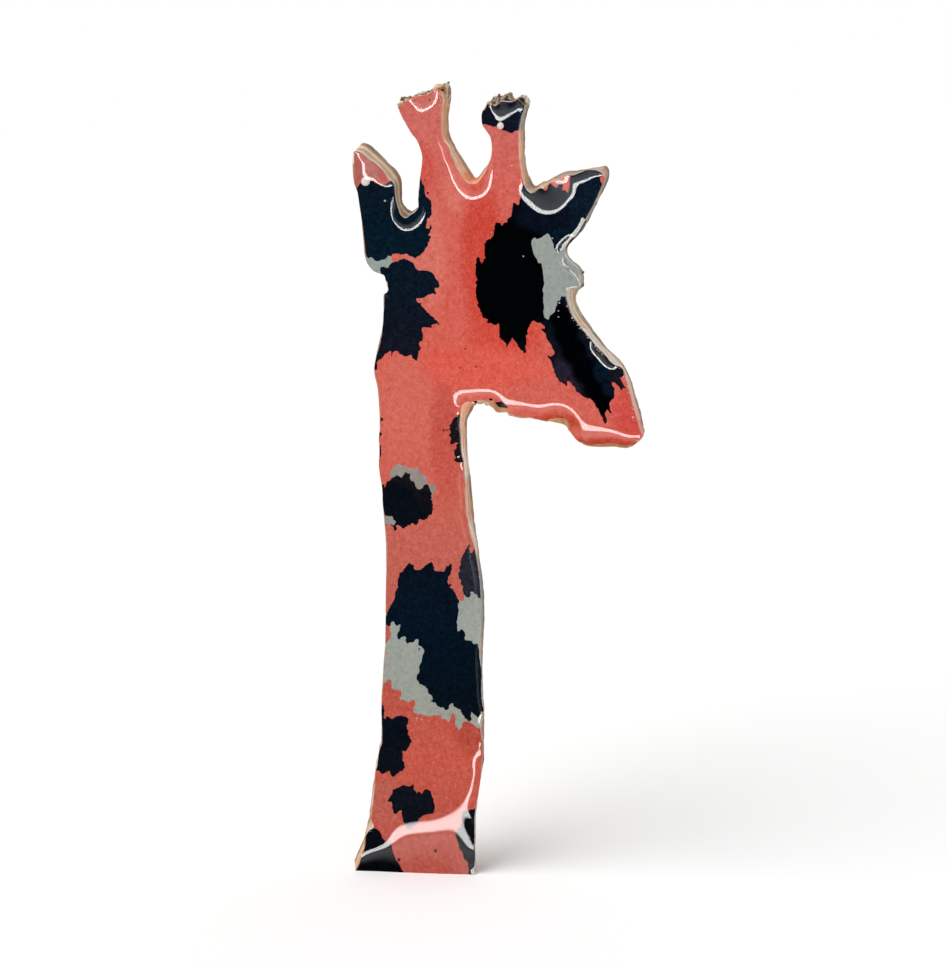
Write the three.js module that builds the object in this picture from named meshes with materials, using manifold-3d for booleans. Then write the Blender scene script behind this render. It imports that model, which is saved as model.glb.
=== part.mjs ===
// Giraffe head brooch.
//
// A flat giraffe head and neck, sawn by hand from 3 mm plywood, faced with a
// sheet of patterned paper and coated with a thick, domed pour of clear resin.
// A bar pin with a rotating safety catch is bonded upright to the back.
//
// Units are millimetres. +X is to the right as a viewer sees the front, +Y is
// towards the back (the wearer), +Z is up. The front faces -Y. The origin is
// below the middle of the object, level with the sawn end of the neck, and the
// back face of the wood lies on the plane y = 0.

import * as THREE from 'three';
import { mergeVertices } from 'three/addons/utils/BufferGeometryUtils.js';
import Module from 'manifold-3d';

// ---------------------------------------------------------------- dimensions

const PLY = 1.0; // thickness of one veneer of the plywood
const WOOD = 3 * PLY; // whole board
const PAPER = 0.15; // printed paper with its glue

const RESIN_CROWN = 1.45; // resin over the paper, well inside the edge
const RESIN_RIM = 0.3; // resin left at the very edge
const RESIN_LENGTH = 1.9; // distance over which the meniscus levels out
const RESIN_CELL = 1.5; // spacing of the resin surface's facets

// bar pin: centred on BAR_X, from BAR_BOTTOM to BAR_TOP
const BAR_X = -6.3;
const BAR_BOTTOM = 38.0;
const BAR_TOP = 70.0;
const BAR_WIDTH = 5.0;
const BAR_THICK = 0.7;
const GLUE = 0.2; // film of adhesive under the bar
const GLUE_BORDER = 0.7; // fillet that squeezes out round it
const BAR_HOLE_R = 0.95;
const BAR_HOLES_Z = [47.0, 54.0, 61.0];
const GLUE_PLUG_R = 0.8;
const GLUE_CAP_R = 1.35;
const GLUE_CAP_H = 0.28;

// hinge end
const AXIS_Y = 3.1; // stem and hinge height over the wood's back
const HINGE_Z = 67.6;
const EAR_WIDTH = 3.0;
const EAR_THICK = 0.6;
const EAR_GAP = 1.7;
const RIVET_R = 0.42;
const RIVET_HOLE_R = 0.5;
const RIVET_HEAD_R = 0.85;
const RIVET_HEAD_H = 0.35;

// pin stem
const STEM_R = 0.4;
const EYE_R = 1.1;
const EYE_HOLE_R = 0.5;
const EYE_WIDTH = 1.2;
const STEM_TIP_Z = 39.1;
const STEM_TAPER = 4.5;

// safety catch
const CATCH_Z = 41.3;
const HOUSING_R = 1.62;
const HOUSING_BORE_R = 1.24;
const HOUSING_LENGTH = 2.0;
const MOUTH = 1.3; // width of the mouth that the stem drops through
const POST_WIDTH = 1.7;
const FOOT_THICK = 0.45;
const FOOT_TOP_Z = 45.0;
const FOOT_WIDTH = 3.0;
const CATCH_RIVET_Z = 43.8;
const CATCH_RIVET_R = 0.5;
const CATCH_RIVET_HOLE_R = 0.58;
const ROTOR_R = 1.16;
const ROTOR_BORE_R = 0.62;
const ROTOR_FLANGE_R = 1.46;
const ROTOR_FLANGE = 0.5;
const ROTOR_PLAY = 0.08; // end play of the rotor in its housing
const ROTOR_SLOT = 1.1;
const TAB_REACH = 2.5;
const TAB_THICK = 0.55;
const TAB_ANGLE = 20; // degrees from +X towards +Y, catch open

// Outlines as [x, z] points, counter-clockwise with x to the right and z up.
// The saw leaned a little, so each veneer's outline differs from the next.

const PAPER_OUTLINE = [
  [-2.51, 6.87], [-1.69, 11.79], [-1.68, 12.8], [-1.5, 13.94], [-1.42, 16.15], [-1.5, 17.42], [-1.16, 18.97],
  [-1.23, 25.32], [-0.98, 31.11], [-1.07, 34.65], [-1.49, 38.1], [-2.07, 40.49], [-2.22, 41.59],
  [-2.25, 46.51], [-2.49, 48.1], [-2.59, 51.01], [-2.36, 53.12], [-2.04, 53.49], [-1.45, 53.76],
  [-1.21, 53.72], [-0.78, 53.45], [-0.46, 53.69], [-0.23, 53.75], [0.62, 53.29], [0.86, 53.37],
  [1.12, 53.69], [1.58, 53.5], [1.91, 53.12], [2.78, 52.98], [2.96, 52.42], [4.02, 51.93], [6.01, 51.8],
  [6.95, 51.55], [8.42, 51.72], [8.91, 51.66], [9.13, 51.56], [9.32, 51.31], [9.56, 50.28], [10.03, 49.58],
  [10.6, 49.15], [11.35, 48.91], [12.2, 48.86], [14.38, 48.94], [15.94, 48.68], [16.41, 48.83],
  [16.94, 49.16], [17.34, 49.53], [17.57, 49.93], [17.29, 50.43], [16.58, 52.74], [15.56, 56.9],
  [15.24, 57.26], [14.68, 57.44], [14.43, 57.65], [13.42, 58.84], [12.64, 59.59], [12.07, 60.43],
  [11.31, 61.34], [10.12, 63.1], [9.64, 64.76], [9.64, 65.36], [9.8, 65.66], [10.07, 65.86], [10.79, 65.87],
  [11, 65.94], [11.17, 66.25], [11.23, 66.73], [11.14, 67.34], [10.94, 67.78], [10.16, 68.68], [9.7, 69.42],
  [9.61, 69.71], [9.65, 70.02], [10.29, 70.95], [11.01, 71.5], [12.57, 74.01], [14.1, 77.11], [14.17, 77.33],
  [14.12, 77.53], [13.65, 77.95], [13.33, 78.12], [12.72, 78.22], [12.12, 78.18], [10.93, 77.73],
  [9.97, 77.71], [9.24, 77.35], [8.26, 77.12], [7.69, 76.6], [7.48, 76.52], [7.16, 76.59], [6.96, 76.53],
  [6.37, 75.96], [5.95, 76.17], [5.64, 76.55], [5.37, 77.48], [5.01, 79.94], [5.13, 82.63], [5.44, 84.03],
  [5.72, 85.29], [5.48, 85.39], [5.11, 85.86], [4.39, 85.63], [3.22, 85.78], [2.88, 85.39], [2.51, 85.25],
  [2.24, 85.47], [2.04, 85.4], [1.72, 85.63], [1.57, 85.47], [1.12, 84.64], [1.04, 83.65], [1.16, 83.2],
  [1.94, 81.88], [2.05, 80.82], [1.96, 80.12], [1.31, 78.49], [0.58, 77.39], [0.32, 77.2], [0.08, 77.14],
  [-0.6, 77.23], [-0.95, 77.54], [-1.56, 78.5], [-1.74, 78.94], [-1.89, 79.65], [-2.31, 80.31],
  [-2.45, 81.02], [-2.95, 81.71], [-3.15, 82.14], [-3.25, 82.95], [-3.05, 86.28], [-3.2, 86.73],
  [-3.57, 86.97], [-4.08, 86.89], [-4.8, 86.5], [-6.83, 86.25], [-7.71, 85.37], [-7.74, 84.9],
  [-7.65, 84.49], [-6.63, 82.6], [-6.12, 81.96], [-5.75, 80.96], [-5.64, 80.26], [-5.75, 79.04],
  [-6.24, 76.18], [-6.29, 75], [-6.71, 74.4], [-7.41, 73.81], [-7.74, 73.76], [-8.18, 74.16], [-8.61, 75.6],
  [-8.69, 77.04], [-8.77, 77.38], [-8.94, 77.66], [-9.42, 78.02], [-10.07, 79.1], [-10.59, 79.62],
  [-11.53, 80.26], [-12.18, 80.82], [-12.55, 80.94], [-13.15, 80.94], [-13.22, 80.73], [-13.3, 77.97],
  [-13.24, 77.52], [-12.89, 76.34], [-12.62, 73.32], [-12.47, 70.23], [-12.35, 69.5], [-12.1, 68.82],
  [-11.66, 68.27], [-11.31, 67.99], [-10.62, 67.74], [-10.29, 67.45], [-10.2, 67.03], [-9.99, 66.87],
  [-9.97, 66.1], [-10.11, 65.81], [-10.56, 65.37], [-10.8, 62.08], [-11.85, 58.25], [-11.95, 57.64],
  [-11.9, 56.6], [-11.66, 55.06], [-11.55, 52.3], [-11.61, 51], [-11.82, 49.68], [-11.79, 48.29],
  [-11.94, 46.63], [-11.66, 44.11], [-11.72, 42.43], [-11.56, 40.5], [-11.49, 37.58], [-12.14, 26.97],
  [-12.85, 20.22], [-13.09, 15.77], [-13.24, 15.02], [-13.67, 13.82], [-13.72, 12.8], [-14.01, 11.73],
  [-14.24, 9.34], [-14.69, 6.96], [-14.71, 6.18], [-14.41, 5.38], [-14.62, 5.03], [-15.06, 4.78],
  [-15.27, 4.48], [-15.64, 2.9], [-16.3, 1.55], [-16.81, 0], [-2.82, 0],
];

const FRONT_PLY_OUTLINE = [
  [-2.62, 6.87], [-1.79, 11.79], [-1.57, 13.94], [-1.49, 16.23], [-1.55, 17.42], [-1.25, 18.97],
  [-1.31, 25.06], [-1.02, 30.85], [-1.12, 34.54], [-1.52, 37.99], [-2.06, 40.49], [-2.21, 41.71],
  [-2.28, 46.51], [-2.5, 48.1], [-2.57, 51.01], [-2.24, 53.06], [-1.94, 53.39], [-1.41, 53.64],
  [-0.77, 53.38], [-0.27, 53.62], [0.06, 53.51], [0.52, 53.15], [0.67, 53.3], [1.58, 52.49], [2.62, 52.46],
  [2.89, 52.1], [4.14, 51.81], [6.11, 51.64], [6.93, 51.41], [7.58, 51.41], [8.75, 51.14], [9.22, 50.8],
  [9.57, 50.14], [10.29, 49.31], [10.98, 48.89], [11.79, 48.67], [15.96, 48.52], [16.44, 48.72],
  [16.97, 49.09], [17.43, 49.61], [17.56, 49.92], [17.27, 50.43], [16.6, 52.74], [15.53, 56.88],
  [15.22, 57.26], [14.7, 57.46], [14.46, 57.68], [12.67, 59.62], [11.35, 61.38], [10.13, 63.25],
  [9.74, 64.71], [9.74, 65.21], [9.85, 65.52], [10.16, 65.79], [10.62, 65.82], [11.02, 65.97],
  [11.16, 66.29], [11.21, 66.77], [11.11, 67.36], [10.91, 67.79], [10.12, 68.67], [9.76, 69.22],
  [9.6, 69.68], [9.62, 69.98], [10.34, 70.99], [11.04, 71.55], [12.46, 73.87], [13.88, 76.64], [14.15, 77.3],
  [14.13, 77.61], [13.45, 78.16], [12.87, 78.26], [12.14, 78.22], [10.82, 77.78], [10.23, 77.82],
  [9.86, 77.75], [9.25, 77.45], [8.26, 77.21], [7.97, 76.9], [7.58, 76.67], [6.97, 76.62], [6.37, 76.08],
  [5.97, 76.27], [5.67, 76.63], [5.38, 77.55], [5.02, 80.01], [5.13, 82.71], [5.81, 85.29], [5.49, 85.46],
  [5.13, 85.95], [4.28, 85.7], [3.33, 85.91], [3.11, 85.84], [2.88, 85.55], [2.65, 85.43], [2.25, 85.63],
  [2.03, 85.53], [1.73, 85.72], [1.17, 84.82], [1.06, 84.28], [1.1, 83.49], [1.96, 81.95], [2.06, 81.01],
  [2.01, 80.31], [1.26, 78.62], [0.51, 77.53], [0.04, 77.26], [-0.57, 77.33], [-0.91, 77.63], [-1.51, 78.58],
  [-1.88, 79.71], [-2.32, 80.38], [-2.48, 81.07], [-2.95, 81.77], [-3.14, 82.21], [-3.24, 83.02],
  [-3.01, 86.48], [-3.21, 86.91], [-3.68, 87.1], [-4.09, 87.03], [-4.82, 86.64], [-6.83, 86.35],
  [-7.74, 85.53], [-7.75, 85.14], [-7.63, 84.56], [-6.61, 82.67], [-6.1, 82.04], [-5.73, 81.03],
  [-5.62, 80.33], [-5.73, 79.11], [-6.22, 76.25], [-6.27, 75.06], [-6.54, 74.64], [-7.42, 73.91],
  [-7.63, 73.84], [-7.82, 73.91], [-8.21, 74.32], [-8.6, 75.54], [-8.76, 77.45], [-8.91, 77.74],
  [-9.31, 78.03], [-10.04, 79.18], [-10.57, 79.7], [-12.13, 80.93], [-12.5, 81.07], [-12.93, 81.08],
  [-13.13, 81.03], [-13.2, 80.81], [-13.28, 78.04], [-12.87, 76.41], [-12.33, 69.55], [-12.08, 68.87],
  [-11.64, 68.31], [-11.29, 68.03], [-10.6, 67.78], [-10.28, 67.49], [-10.18, 67.07], [-9.97, 66.91],
  [-9.95, 66.14], [-10.09, 65.84], [-10.54, 65.4], [-10.78, 62.1], [-11.93, 57.66], [-11.88, 56.6],
  [-11.64, 55.06], [-11.54, 52.3], [-11.6, 51], [-11.82, 49.68], [-11.79, 48.29], [-11.96, 46.63],
  [-11.68, 44.11], [-11.75, 42.43], [-11.59, 40.5], [-11.54, 37.69], [-12.22, 26.97], [-12.95, 20.22],
  [-13.2, 15.77], [-13.35, 15.02], [-13.78, 13.82], [-13.83, 12.8], [-14.13, 11.73], [-14.39, 9.34],
  [-14.83, 6.97], [-14.88, 6.19], [-14.64, 5.39], [-14.83, 5.04], [-15.36, 4.59], [-15.8, 2.9],
  [-16.45, 1.55], [-16.96, 0], [-2.94, 0],
];

const CORE_PLY_OUTLINE = [
  [-2.83, 6.98], [-1.88, 12.43], [-1.71, 13.82], [-1.65, 17.43], [-1.43, 19.1], [-1.46, 24.8],
  [-1.12, 30.47], [-1.21, 34.18], [-1.61, 37.87], [-2.14, 41.35], [-2.35, 46.76], [-2.51, 48.11],
  [-2.5, 51.13], [-2, 52.92], [-1.83, 53.14], [-1.32, 53.42], [-0.76, 53.26], [-0.4, 53.43], [0.05, 53.4],
  [0.49, 53.14], [0.63, 53.34], [1.17, 52.95], [1.6, 52.49], [2.64, 52.46], [2.91, 52.1], [4.16, 51.81],
  [6.13, 51.64], [6.95, 51.41], [7.59, 51.41], [8.76, 51.14], [9.23, 50.8], [9.58, 50.14], [10.29, 49.31],
  [10.98, 48.89], [11.79, 48.67], [15.95, 48.52], [16.44, 48.72], [16.97, 49.09], [17.43, 49.61],
  [17.55, 49.92], [17.24, 50.42], [15.99, 55.3], [15.47, 56.85], [15.19, 57.25], [14.68, 57.57],
  [12.81, 59.58], [11.44, 61.46], [10.23, 63.35], [9.94, 64.6], [10.08, 65.42], [10.35, 65.66],
  [10.75, 65.76], [11.06, 66.02], [11.17, 66.84], [10.91, 67.71], [10.04, 68.64], [9.71, 69.13],
  [9.56, 69.57], [9.58, 70.01], [10.58, 71.23], [10.95, 71.48], [11.72, 72.62], [13.86, 76.57],
  [14.18, 77.45], [14.16, 77.76], [13.83, 78.13], [13.49, 78.32], [12.06, 78.29], [10.85, 77.93],
  [10.27, 77.96], [9.68, 77.84], [8.18, 77.36], [7.97, 77.11], [7.47, 76.85], [7.08, 76.86], [6.38, 76.32],
  [6, 76.46], [5.72, 76.79], [5.36, 77.81], [5.04, 80.06], [5.16, 82.98], [5.82, 85.43], [5.53, 85.61],
  [5.16, 86.11], [4.31, 85.85], [3.22, 86.14], [2.68, 85.77], [2.26, 85.93], [2.03, 85.79], [1.75, 85.9],
  [1.21, 84.96], [1.1, 84.43], [1.13, 83.64], [2, 82.1], [2.1, 81.16], [2.04, 80.45], [1.71, 79.59],
  [0.31, 77.73], [-0.12, 77.49], [-0.52, 77.52], [-0.82, 77.81], [-1.49, 78.87], [-1.87, 79.84],
  [-2.32, 80.51], [-2.52, 81.18], [-3.1, 82.24], [-3.22, 83.17], [-3.09, 85], [-2.91, 86.11], [-2.92, 86.75],
  [-3.17, 87.19], [-3.47, 87.35], [-3.81, 87.38], [-4.24, 87.27], [-4.87, 86.91], [-6.82, 86.55],
  [-7.79, 85.85], [-7.6, 84.71], [-6.58, 82.82], [-6.07, 82.18], [-5.69, 81.18], [-5.59, 80.48],
  [-5.69, 79.26], [-6.18, 76.39], [-6.24, 75.19], [-6.45, 74.85], [-7.42, 74.11], [-7.69, 74.06],
  [-8.05, 74.29], [-8.46, 74.95], [-8.66, 75.79], [-8.68, 77.25], [-8.77, 77.7], [-9.71, 78.99],
  [-10.43, 79.77], [-12.03, 81.16], [-12.72, 81.33], [-13.16, 81.03], [-13.24, 78.18], [-12.83, 76.54],
  [-12.3, 69.64], [-12.04, 68.96], [-11.61, 68.4], [-11.25, 68.11], [-10.56, 67.87], [-10.24, 67.57],
  [-10.15, 67.15], [-9.93, 66.99], [-9.91, 66.21], [-10.05, 65.91], [-10.5, 65.47], [-10.74, 62.15],
  [-11.9, 57.68], [-11.84, 56.62], [-11.6, 55.07], [-11.52, 52.3], [-11.59, 51], [-11.82, 49.68],
  [-11.8, 48.29], [-11.98, 46.63], [-11.72, 44.11], [-11.81, 42.43], [-11.67, 40.5], [-11.63, 37.69],
  [-12.4, 26.84], [-13.15, 20.22], [-13.42, 15.77], [-13.57, 15.02], [-14.01, 13.82], [-14.07, 12.8],
  [-14.39, 11.6], [-15.2, 6.44], [-15.1, 5.41], [-15.26, 5.06], [-15.65, 4.6], [-16.1, 2.91], [-16.74, 1.55],
  [-17.27, 0], [-3.17, 0],
];

const BACK_PLY_OUTLINE = [
  [-3.03, 7.12], [-2.47, 10.48], [-1.98, 12.55], [-1.86, 13.69], [-1.74, 17.56], [-1.61, 19.1],
  [-1.65, 24.28], [-1.2, 30.6], [-1.31, 33.93], [-2.1, 41.24], [-2.52, 48.11], [-2.47, 50.77],
  [-2.28, 51.66], [-1.73, 52.85], [-1.49, 53.05], [-1.14, 53.21], [-0.74, 53.13], [0.15, 53.32],
  [0.52, 53.14], [0.66, 53.34], [1.2, 52.95], [1.63, 52.49], [2.67, 52.46], [2.93, 52.1], [4.18, 51.81],
  [6.15, 51.64], [6.97, 51.41], [7.61, 51.41], [8.78, 51.14], [9.24, 50.8], [9.59, 50.14], [10.29, 49.31],
  [10.97, 48.89], [11.66, 48.68], [15.95, 48.52], [16.43, 48.72], [16.96, 49.09], [17.43, 49.61],
  [17.54, 49.91], [17.21, 50.41], [15.99, 55.3], [15.41, 56.81], [15.11, 57.3], [13.91, 58.47],
  [12.8, 59.73], [11.46, 61.63], [10.29, 63.55], [10.1, 64.71], [10.27, 65.27], [10.88, 65.71],
  [11.06, 65.96], [11.11, 67.02], [11.01, 67.44], [10.79, 67.81], [9.68, 68.98], [9.46, 69.67],
  [9.62, 70.23], [10.95, 71.51], [11.96, 73.04], [13.97, 76.8], [14.22, 77.7], [14.14, 78.01],
  [13.79, 78.38], [13.43, 78.48], [11.99, 78.36], [10.89, 78.09], [9.71, 78.01], [8.2, 77.55], [7.97, 77.32],
  [7.47, 77.07], [7.1, 77.04], [6.39, 76.56], [5.96, 76.72], [5.72, 77.04], [5.34, 78.07], [5.14, 79.02],
  [5.06, 80.07], [5.17, 83.13], [5.76, 85.07], [5.83, 85.57], [5.56, 85.76], [5.2, 86.28], [4.33, 85.99],
  [3.22, 86.38], [2.71, 86.12], [2.27, 86.24], [2.02, 86.06], [1.77, 86.08], [1.24, 85.11], [1.14, 84.57],
  [1.17, 83.78], [2.03, 82.24], [2.13, 81.3], [2.08, 80.6], [1.67, 79.64], [1.03, 79.1], [0.04, 77.86],
  [-0.48, 77.71], [-1.14, 78.61], [-1.86, 79.96], [-2.33, 80.63], [-3.02, 82.13], [-3.2, 83.2],
  [-3.05, 85.02], [-2.83, 86.25], [-2.81, 87.01], [-2.93, 87.27], [-3.21, 87.51], [-3.8, 87.67],
  [-4.27, 87.57], [-4.91, 87.19], [-5.89, 87.03], [-6.81, 86.74], [-7.05, 86.54], [-7.66, 86.34],
  [-7.85, 86.16], [-7.52, 84.77], [-6.54, 82.96], [-6.03, 82.33], [-5.57, 80.87], [-5.62, 79.65],
  [-6.15, 76.53], [-6.18, 75.41], [-6.43, 74.99], [-7.58, 74.25], [-8.16, 74.57], [-8.5, 75.04],
  [-8.66, 75.55], [-8.67, 77.39], [-8.77, 77.96], [-9.41, 78.91], [-11.93, 81.4], [-12.32, 81.57],
  [-12.65, 81.57], [-12.97, 81.46], [-13.11, 81.25], [-13.21, 78.33], [-12.8, 76.68], [-12.29, 69.86],
  [-12.06, 69.16], [-11.65, 68.56], [-11.21, 68.2], [-10.53, 67.95], [-10.2, 67.65], [-10.11, 67.23],
  [-9.89, 67.07], [-9.87, 66.29], [-10.02, 65.99], [-10.47, 65.54], [-10.71, 62.2], [-11.86, 57.7],
  [-11.8, 56.64], [-11.57, 55.07], [-11.5, 52.42], [-11.56, 51.12], [-11.82, 49.68], [-11.81, 48.29],
  [-12, 46.63], [-11.77, 44.11], [-11.86, 42.43], [-11.74, 40.5], [-11.73, 37.69], [-12.58, 26.72],
  [-13.35, 20.22], [-13.64, 15.77], [-13.79, 15.02], [-14.24, 13.82], [-14.3, 12.8], [-14.61, 11.73],
  [-15.56, 6.22], [-15.59, 5.31], [-15.92, 4.7], [-16.36, 3.05], [-17.35, 0.79], [-17.57, 0], [-3.41, 0],
];


// ------------------------------------------------------------------- helpers

const wasm = await Module();
wasm.setup();

function solid(geometry) {
  const g = (geometry.index ? geometry.toNonIndexed() : geometry.clone());
  g.deleteAttribute('normal');
  g.deleteAttribute('uv');
  const m = mergeVertices(g, 1e-4);
  return new wasm.Manifold(new wasm.Mesh({
    numProp: 3,
    vertProperties: new Float32Array(m.attributes.position.array),
    triVerts: new Uint32Array(m.index.array),
  }));
}

function geometryOf(manifold) {
  const mesh = manifold.getMesh();
  const n = mesh.numProp;
  const position = new Float32Array((mesh.vertProperties.length / n) * 3);
  for (let i = 0; i < position.length / 3; i++) {
    for (let k = 0; k < 3; k++) position[3 * i + k] = mesh.vertProperties[n * i + k];
  }
  const g = new THREE.BufferGeometry();
  g.setAttribute('position', new THREE.BufferAttribute(position, 3));
  g.setIndex(new THREE.BufferAttribute(new Uint32Array(mesh.triVerts), 1));
  g.computeVertexNormals();
  return g;
}

// a flat plate cut to an [x, z] outline, from y0 (front) to y1 (back)
function plate(outline, y0, y1, holes = []) {
  const shape = new THREE.Shape(outline.map(([x, z]) => new THREE.Vector2(x, z)));
  for (const [hx, hz, r, n] of holes) {
    const path = new THREE.Path();
    path.absarc(hx, hz, r, 0, Math.PI * 2, true);
    shape.holes.push(new THREE.Path(path.getSpacedPoints(n).slice(0, n)));
  }
  const g = new THREE.ExtrudeGeometry(shape, { depth: y1 - y0, bevelEnabled: false });
  g.rotateX(Math.PI / 2); // shape x stays x, shape y becomes z, depth runs to -y
  g.translate(0, y1, 0);
  return g;
}

// a round bar along X, Y or Z between two stations
function rod(axis, r, a, b, at, segments = 24) {
  const g = new THREE.CylinderGeometry(r, r, b - a, segments);
  if (axis === 'x') g.rotateZ(-Math.PI / 2);
  if (axis === 'z') g.rotateX(Math.PI / 2);
  const mid = (a + b) / 2;
  if (axis === 'x') g.translate(mid, at[0], at[1]);
  if (axis === 'y') g.translate(at[0], mid, at[1]);
  if (axis === 'z') g.translate(at[0], at[1], mid);
  return g;
}

function box(x0, x1, y0, y1, z0, z1) {
  const g = new THREE.BoxGeometry(x1 - x0, y1 - y0, z1 - z0);
  g.translate((x0 + x1) / 2, (y0 + y1) / 2, (z0 + z1) / 2);
  return g;
}

function roundedBar(halfWidth, z0, z1, corner, steps = 5) {
  const pts = [];
  const centres = [[halfWidth - corner, z0 + corner, -90], [halfWidth - corner, z1 - corner, 0],
    [-halfWidth + corner, z1 - corner, 90], [-halfWidth + corner, z0 + corner, 180]];
  for (const [cx, cz, start] of centres) {
    for (let i = 0; i <= steps; i++) {
      const a = THREE.MathUtils.degToRad(start + (90 * i) / steps);
      pts.push([BAR_X + cx + corner * Math.cos(a), cz + corner * Math.sin(a)]);
    }
  }
  return pts;
}

const group = new THREE.Group();

function add(name, geometry, colour, roughness, metalness, extra = {}) {
  const material = new THREE.MeshStandardMaterial({ color: colour, roughness, metalness, ...extra });
  const mesh = new THREE.Mesh(geometry, material);
  mesh.name = name;
  group.add(mesh);
  return mesh;
}

// --------------------------------------------------------------- the plywood

add('back_ply', plate(BACK_PLY_OUTLINE, -PLY, 0), 0xb98d62, 0.75, 0);
add('core_ply', plate(CORE_PLY_OUTLINE, -2 * PLY, -PLY), 0xa97c52, 0.8, 0);
add('front_ply', plate(FRONT_PLY_OUTLINE, -WOOD, -2 * PLY), 0xbb9065, 0.75, 0);

// ----------------------------------------------------------- the faced front

const PAPER_FRONT = -WOOD - PAPER;
add('printed_paper', plate(PAPER_OUTLINE, PAPER_FRONT, -WOOD), 0xd65f50, 0.6, 0);

// Resin: surface tension pins the pour at the edge and domes it inwards. The
// dome is a faceted block whose front face follows the meniscus, trimmed to
// the paper's outline.
function distanceInside(x, z) {
  let best = Infinity;
  let inside = false;
  const n = PAPER_OUTLINE.length;
  for (let i = 0, j = n - 1; i < n; j = i++) {
    const [ax, az] = PAPER_OUTLINE[j];
    const [bx, bz] = PAPER_OUTLINE[i];
    const t = THREE.MathUtils.clamp(((x - ax) * (bx - ax) + (z - az) * (bz - az))
      / ((bx - ax) ** 2 + (bz - az) ** 2), 0, 1);
    best = Math.min(best, Math.hypot(x - ax - t * (bx - ax), z - az - t * (bz - az)));
    if ((az > z) !== (bz > z) && x < ax + ((bx - ax) * (z - az)) / (bz - az)) inside = !inside;
  }
  return inside ? best : 0;
}

const xs = PAPER_OUTLINE.map((p) => p[0]);
const zs = PAPER_OUTLINE.map((p) => p[1]);
const resinBox = {
  x0: Math.min(...xs) - 1.03, x1: Math.max(...xs) + 1.07,
  z0: Math.min(...zs) - 1.03, z1: Math.max(...zs) + 1.07,
};
const resinBlock = new THREE.BoxGeometry(
  resinBox.x1 - resinBox.x0, RESIN_CROWN, resinBox.z1 - resinBox.z0,
  Math.round((resinBox.x1 - resinBox.x0) / RESIN_CELL), 1,
  Math.round((resinBox.z1 - resinBox.z0) / RESIN_CELL),
);
resinBlock.translate((resinBox.x0 + resinBox.x1) / 2, PAPER_FRONT - RESIN_CROWN / 2,
  (resinBox.z0 + resinBox.z1) / 2);
{
  const p = resinBlock.attributes.position;
  for (let i = 0; i < p.count; i++) {
    if (p.getY(i) > PAPER_FRONT - RESIN_CROWN / 2) continue;
    const d = distanceInside(p.getX(i), p.getZ(i));
    const h = RESIN_RIM + (RESIN_CROWN - RESIN_RIM) * (1 - Math.exp(-d / RESIN_LENGTH));
    p.setY(i, PAPER_FRONT - h);
  }
}
const resin = solid(resinBlock).intersect(
  solid(plate(PAPER_OUTLINE, PAPER_FRONT - 2 * RESIN_CROWN, PAPER_FRONT)),
);
add('resin_dome', geometryOf(resin), 0xf2f4f4, 0.05, 0, { transparent: true, opacity: 0.35 });

// --------------------------------------------------------------- the bar pin

const METAL = [0xb9bcc0, 0.3, 1];
const BAR_BACK = GLUE + BAR_THICK; // y of the bar's outer face

// adhesive: a film, squeezed out round the bar and up through its holes
let glue = solid(plate(roundedBar(BAR_WIDTH / 2 + GLUE_BORDER, BAR_BOTTOM - GLUE_BORDER,
  BAR_TOP + GLUE_BORDER, 1.6), 0, GLUE));
for (const z of BAR_HOLES_Z) {
  glue = glue.add(solid(rod('y', GLUE_PLUG_R, GLUE / 2, BAR_BACK + 0.1, [BAR_X, z], 18)));
  glue = glue.add(solid(rod('y', GLUE_CAP_R, BAR_BACK + 0.02, BAR_BACK + 0.02 + GLUE_CAP_H, [BAR_X, z], 18)));
}
add('adhesive_bond', geometryOf(glue), 0xd8cfae, 0.35, 0, { transparent: true, opacity: 0.6 });

// base bar: a stamped strip with three glue holes and two ears folded up
let bar = solid(plate(roundedBar(BAR_WIDTH / 2, BAR_BOTTOM, BAR_TOP, 1.2), GLUE, BAR_BACK,
  BAR_HOLES_Z.map((z) => [BAR_X, z, BAR_HOLE_R, 18])));
for (const side of [-1, 1]) {
  const inner = BAR_X + side * (EAR_GAP / 2);
  const outer = BAR_X + side * (EAR_GAP / 2 + EAR_THICK);
  const x0 = Math.min(inner, outer);
  const x1 = Math.max(inner, outer);
  const ear = solid(box(x0, x1, GLUE + 0.1, AXIS_Y, HINGE_Z - EAR_WIDTH / 2, HINGE_Z + EAR_WIDTH / 2))
    .add(solid(rod('x', EAR_WIDTH / 2, x0, x1, [AXIS_Y, HINGE_Z], 32)));
  bar = bar.add(ear);
}
bar = bar.subtract(solid(rod('x', RIVET_HOLE_R, BAR_X - 4, BAR_X + 4, [AXIS_Y, HINGE_Z], 20)));
bar = bar.subtract(solid(rod('y', CATCH_RIVET_HOLE_R, -1, 2, [BAR_X, CATCH_RIVET_Z], 18)));
add('base_bar', geometryOf(bar), ...METAL);

// hinge rivet: shank through both ears and the stem's eye, a head each side
const earOut = EAR_GAP / 2 + EAR_THICK;
const rivet = solid(rod('x', RIVET_R, BAR_X - earOut - 0.1, BAR_X + earOut + 0.1, [AXIS_Y, HINGE_Z], 20))
  .add(solid(rod('x', RIVET_HEAD_R, BAR_X - earOut - 0.03 - RIVET_HEAD_H, BAR_X - earOut - 0.03, [AXIS_Y, HINGE_Z], 20)))
  .add(solid(rod('x', RIVET_HEAD_R, BAR_X + earOut + 0.03, BAR_X + earOut + 0.03 + RIVET_HEAD_H, [AXIS_Y, HINGE_Z], 20)));
add('hinge_rivet', geometryOf(rivet), ...METAL);

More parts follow.
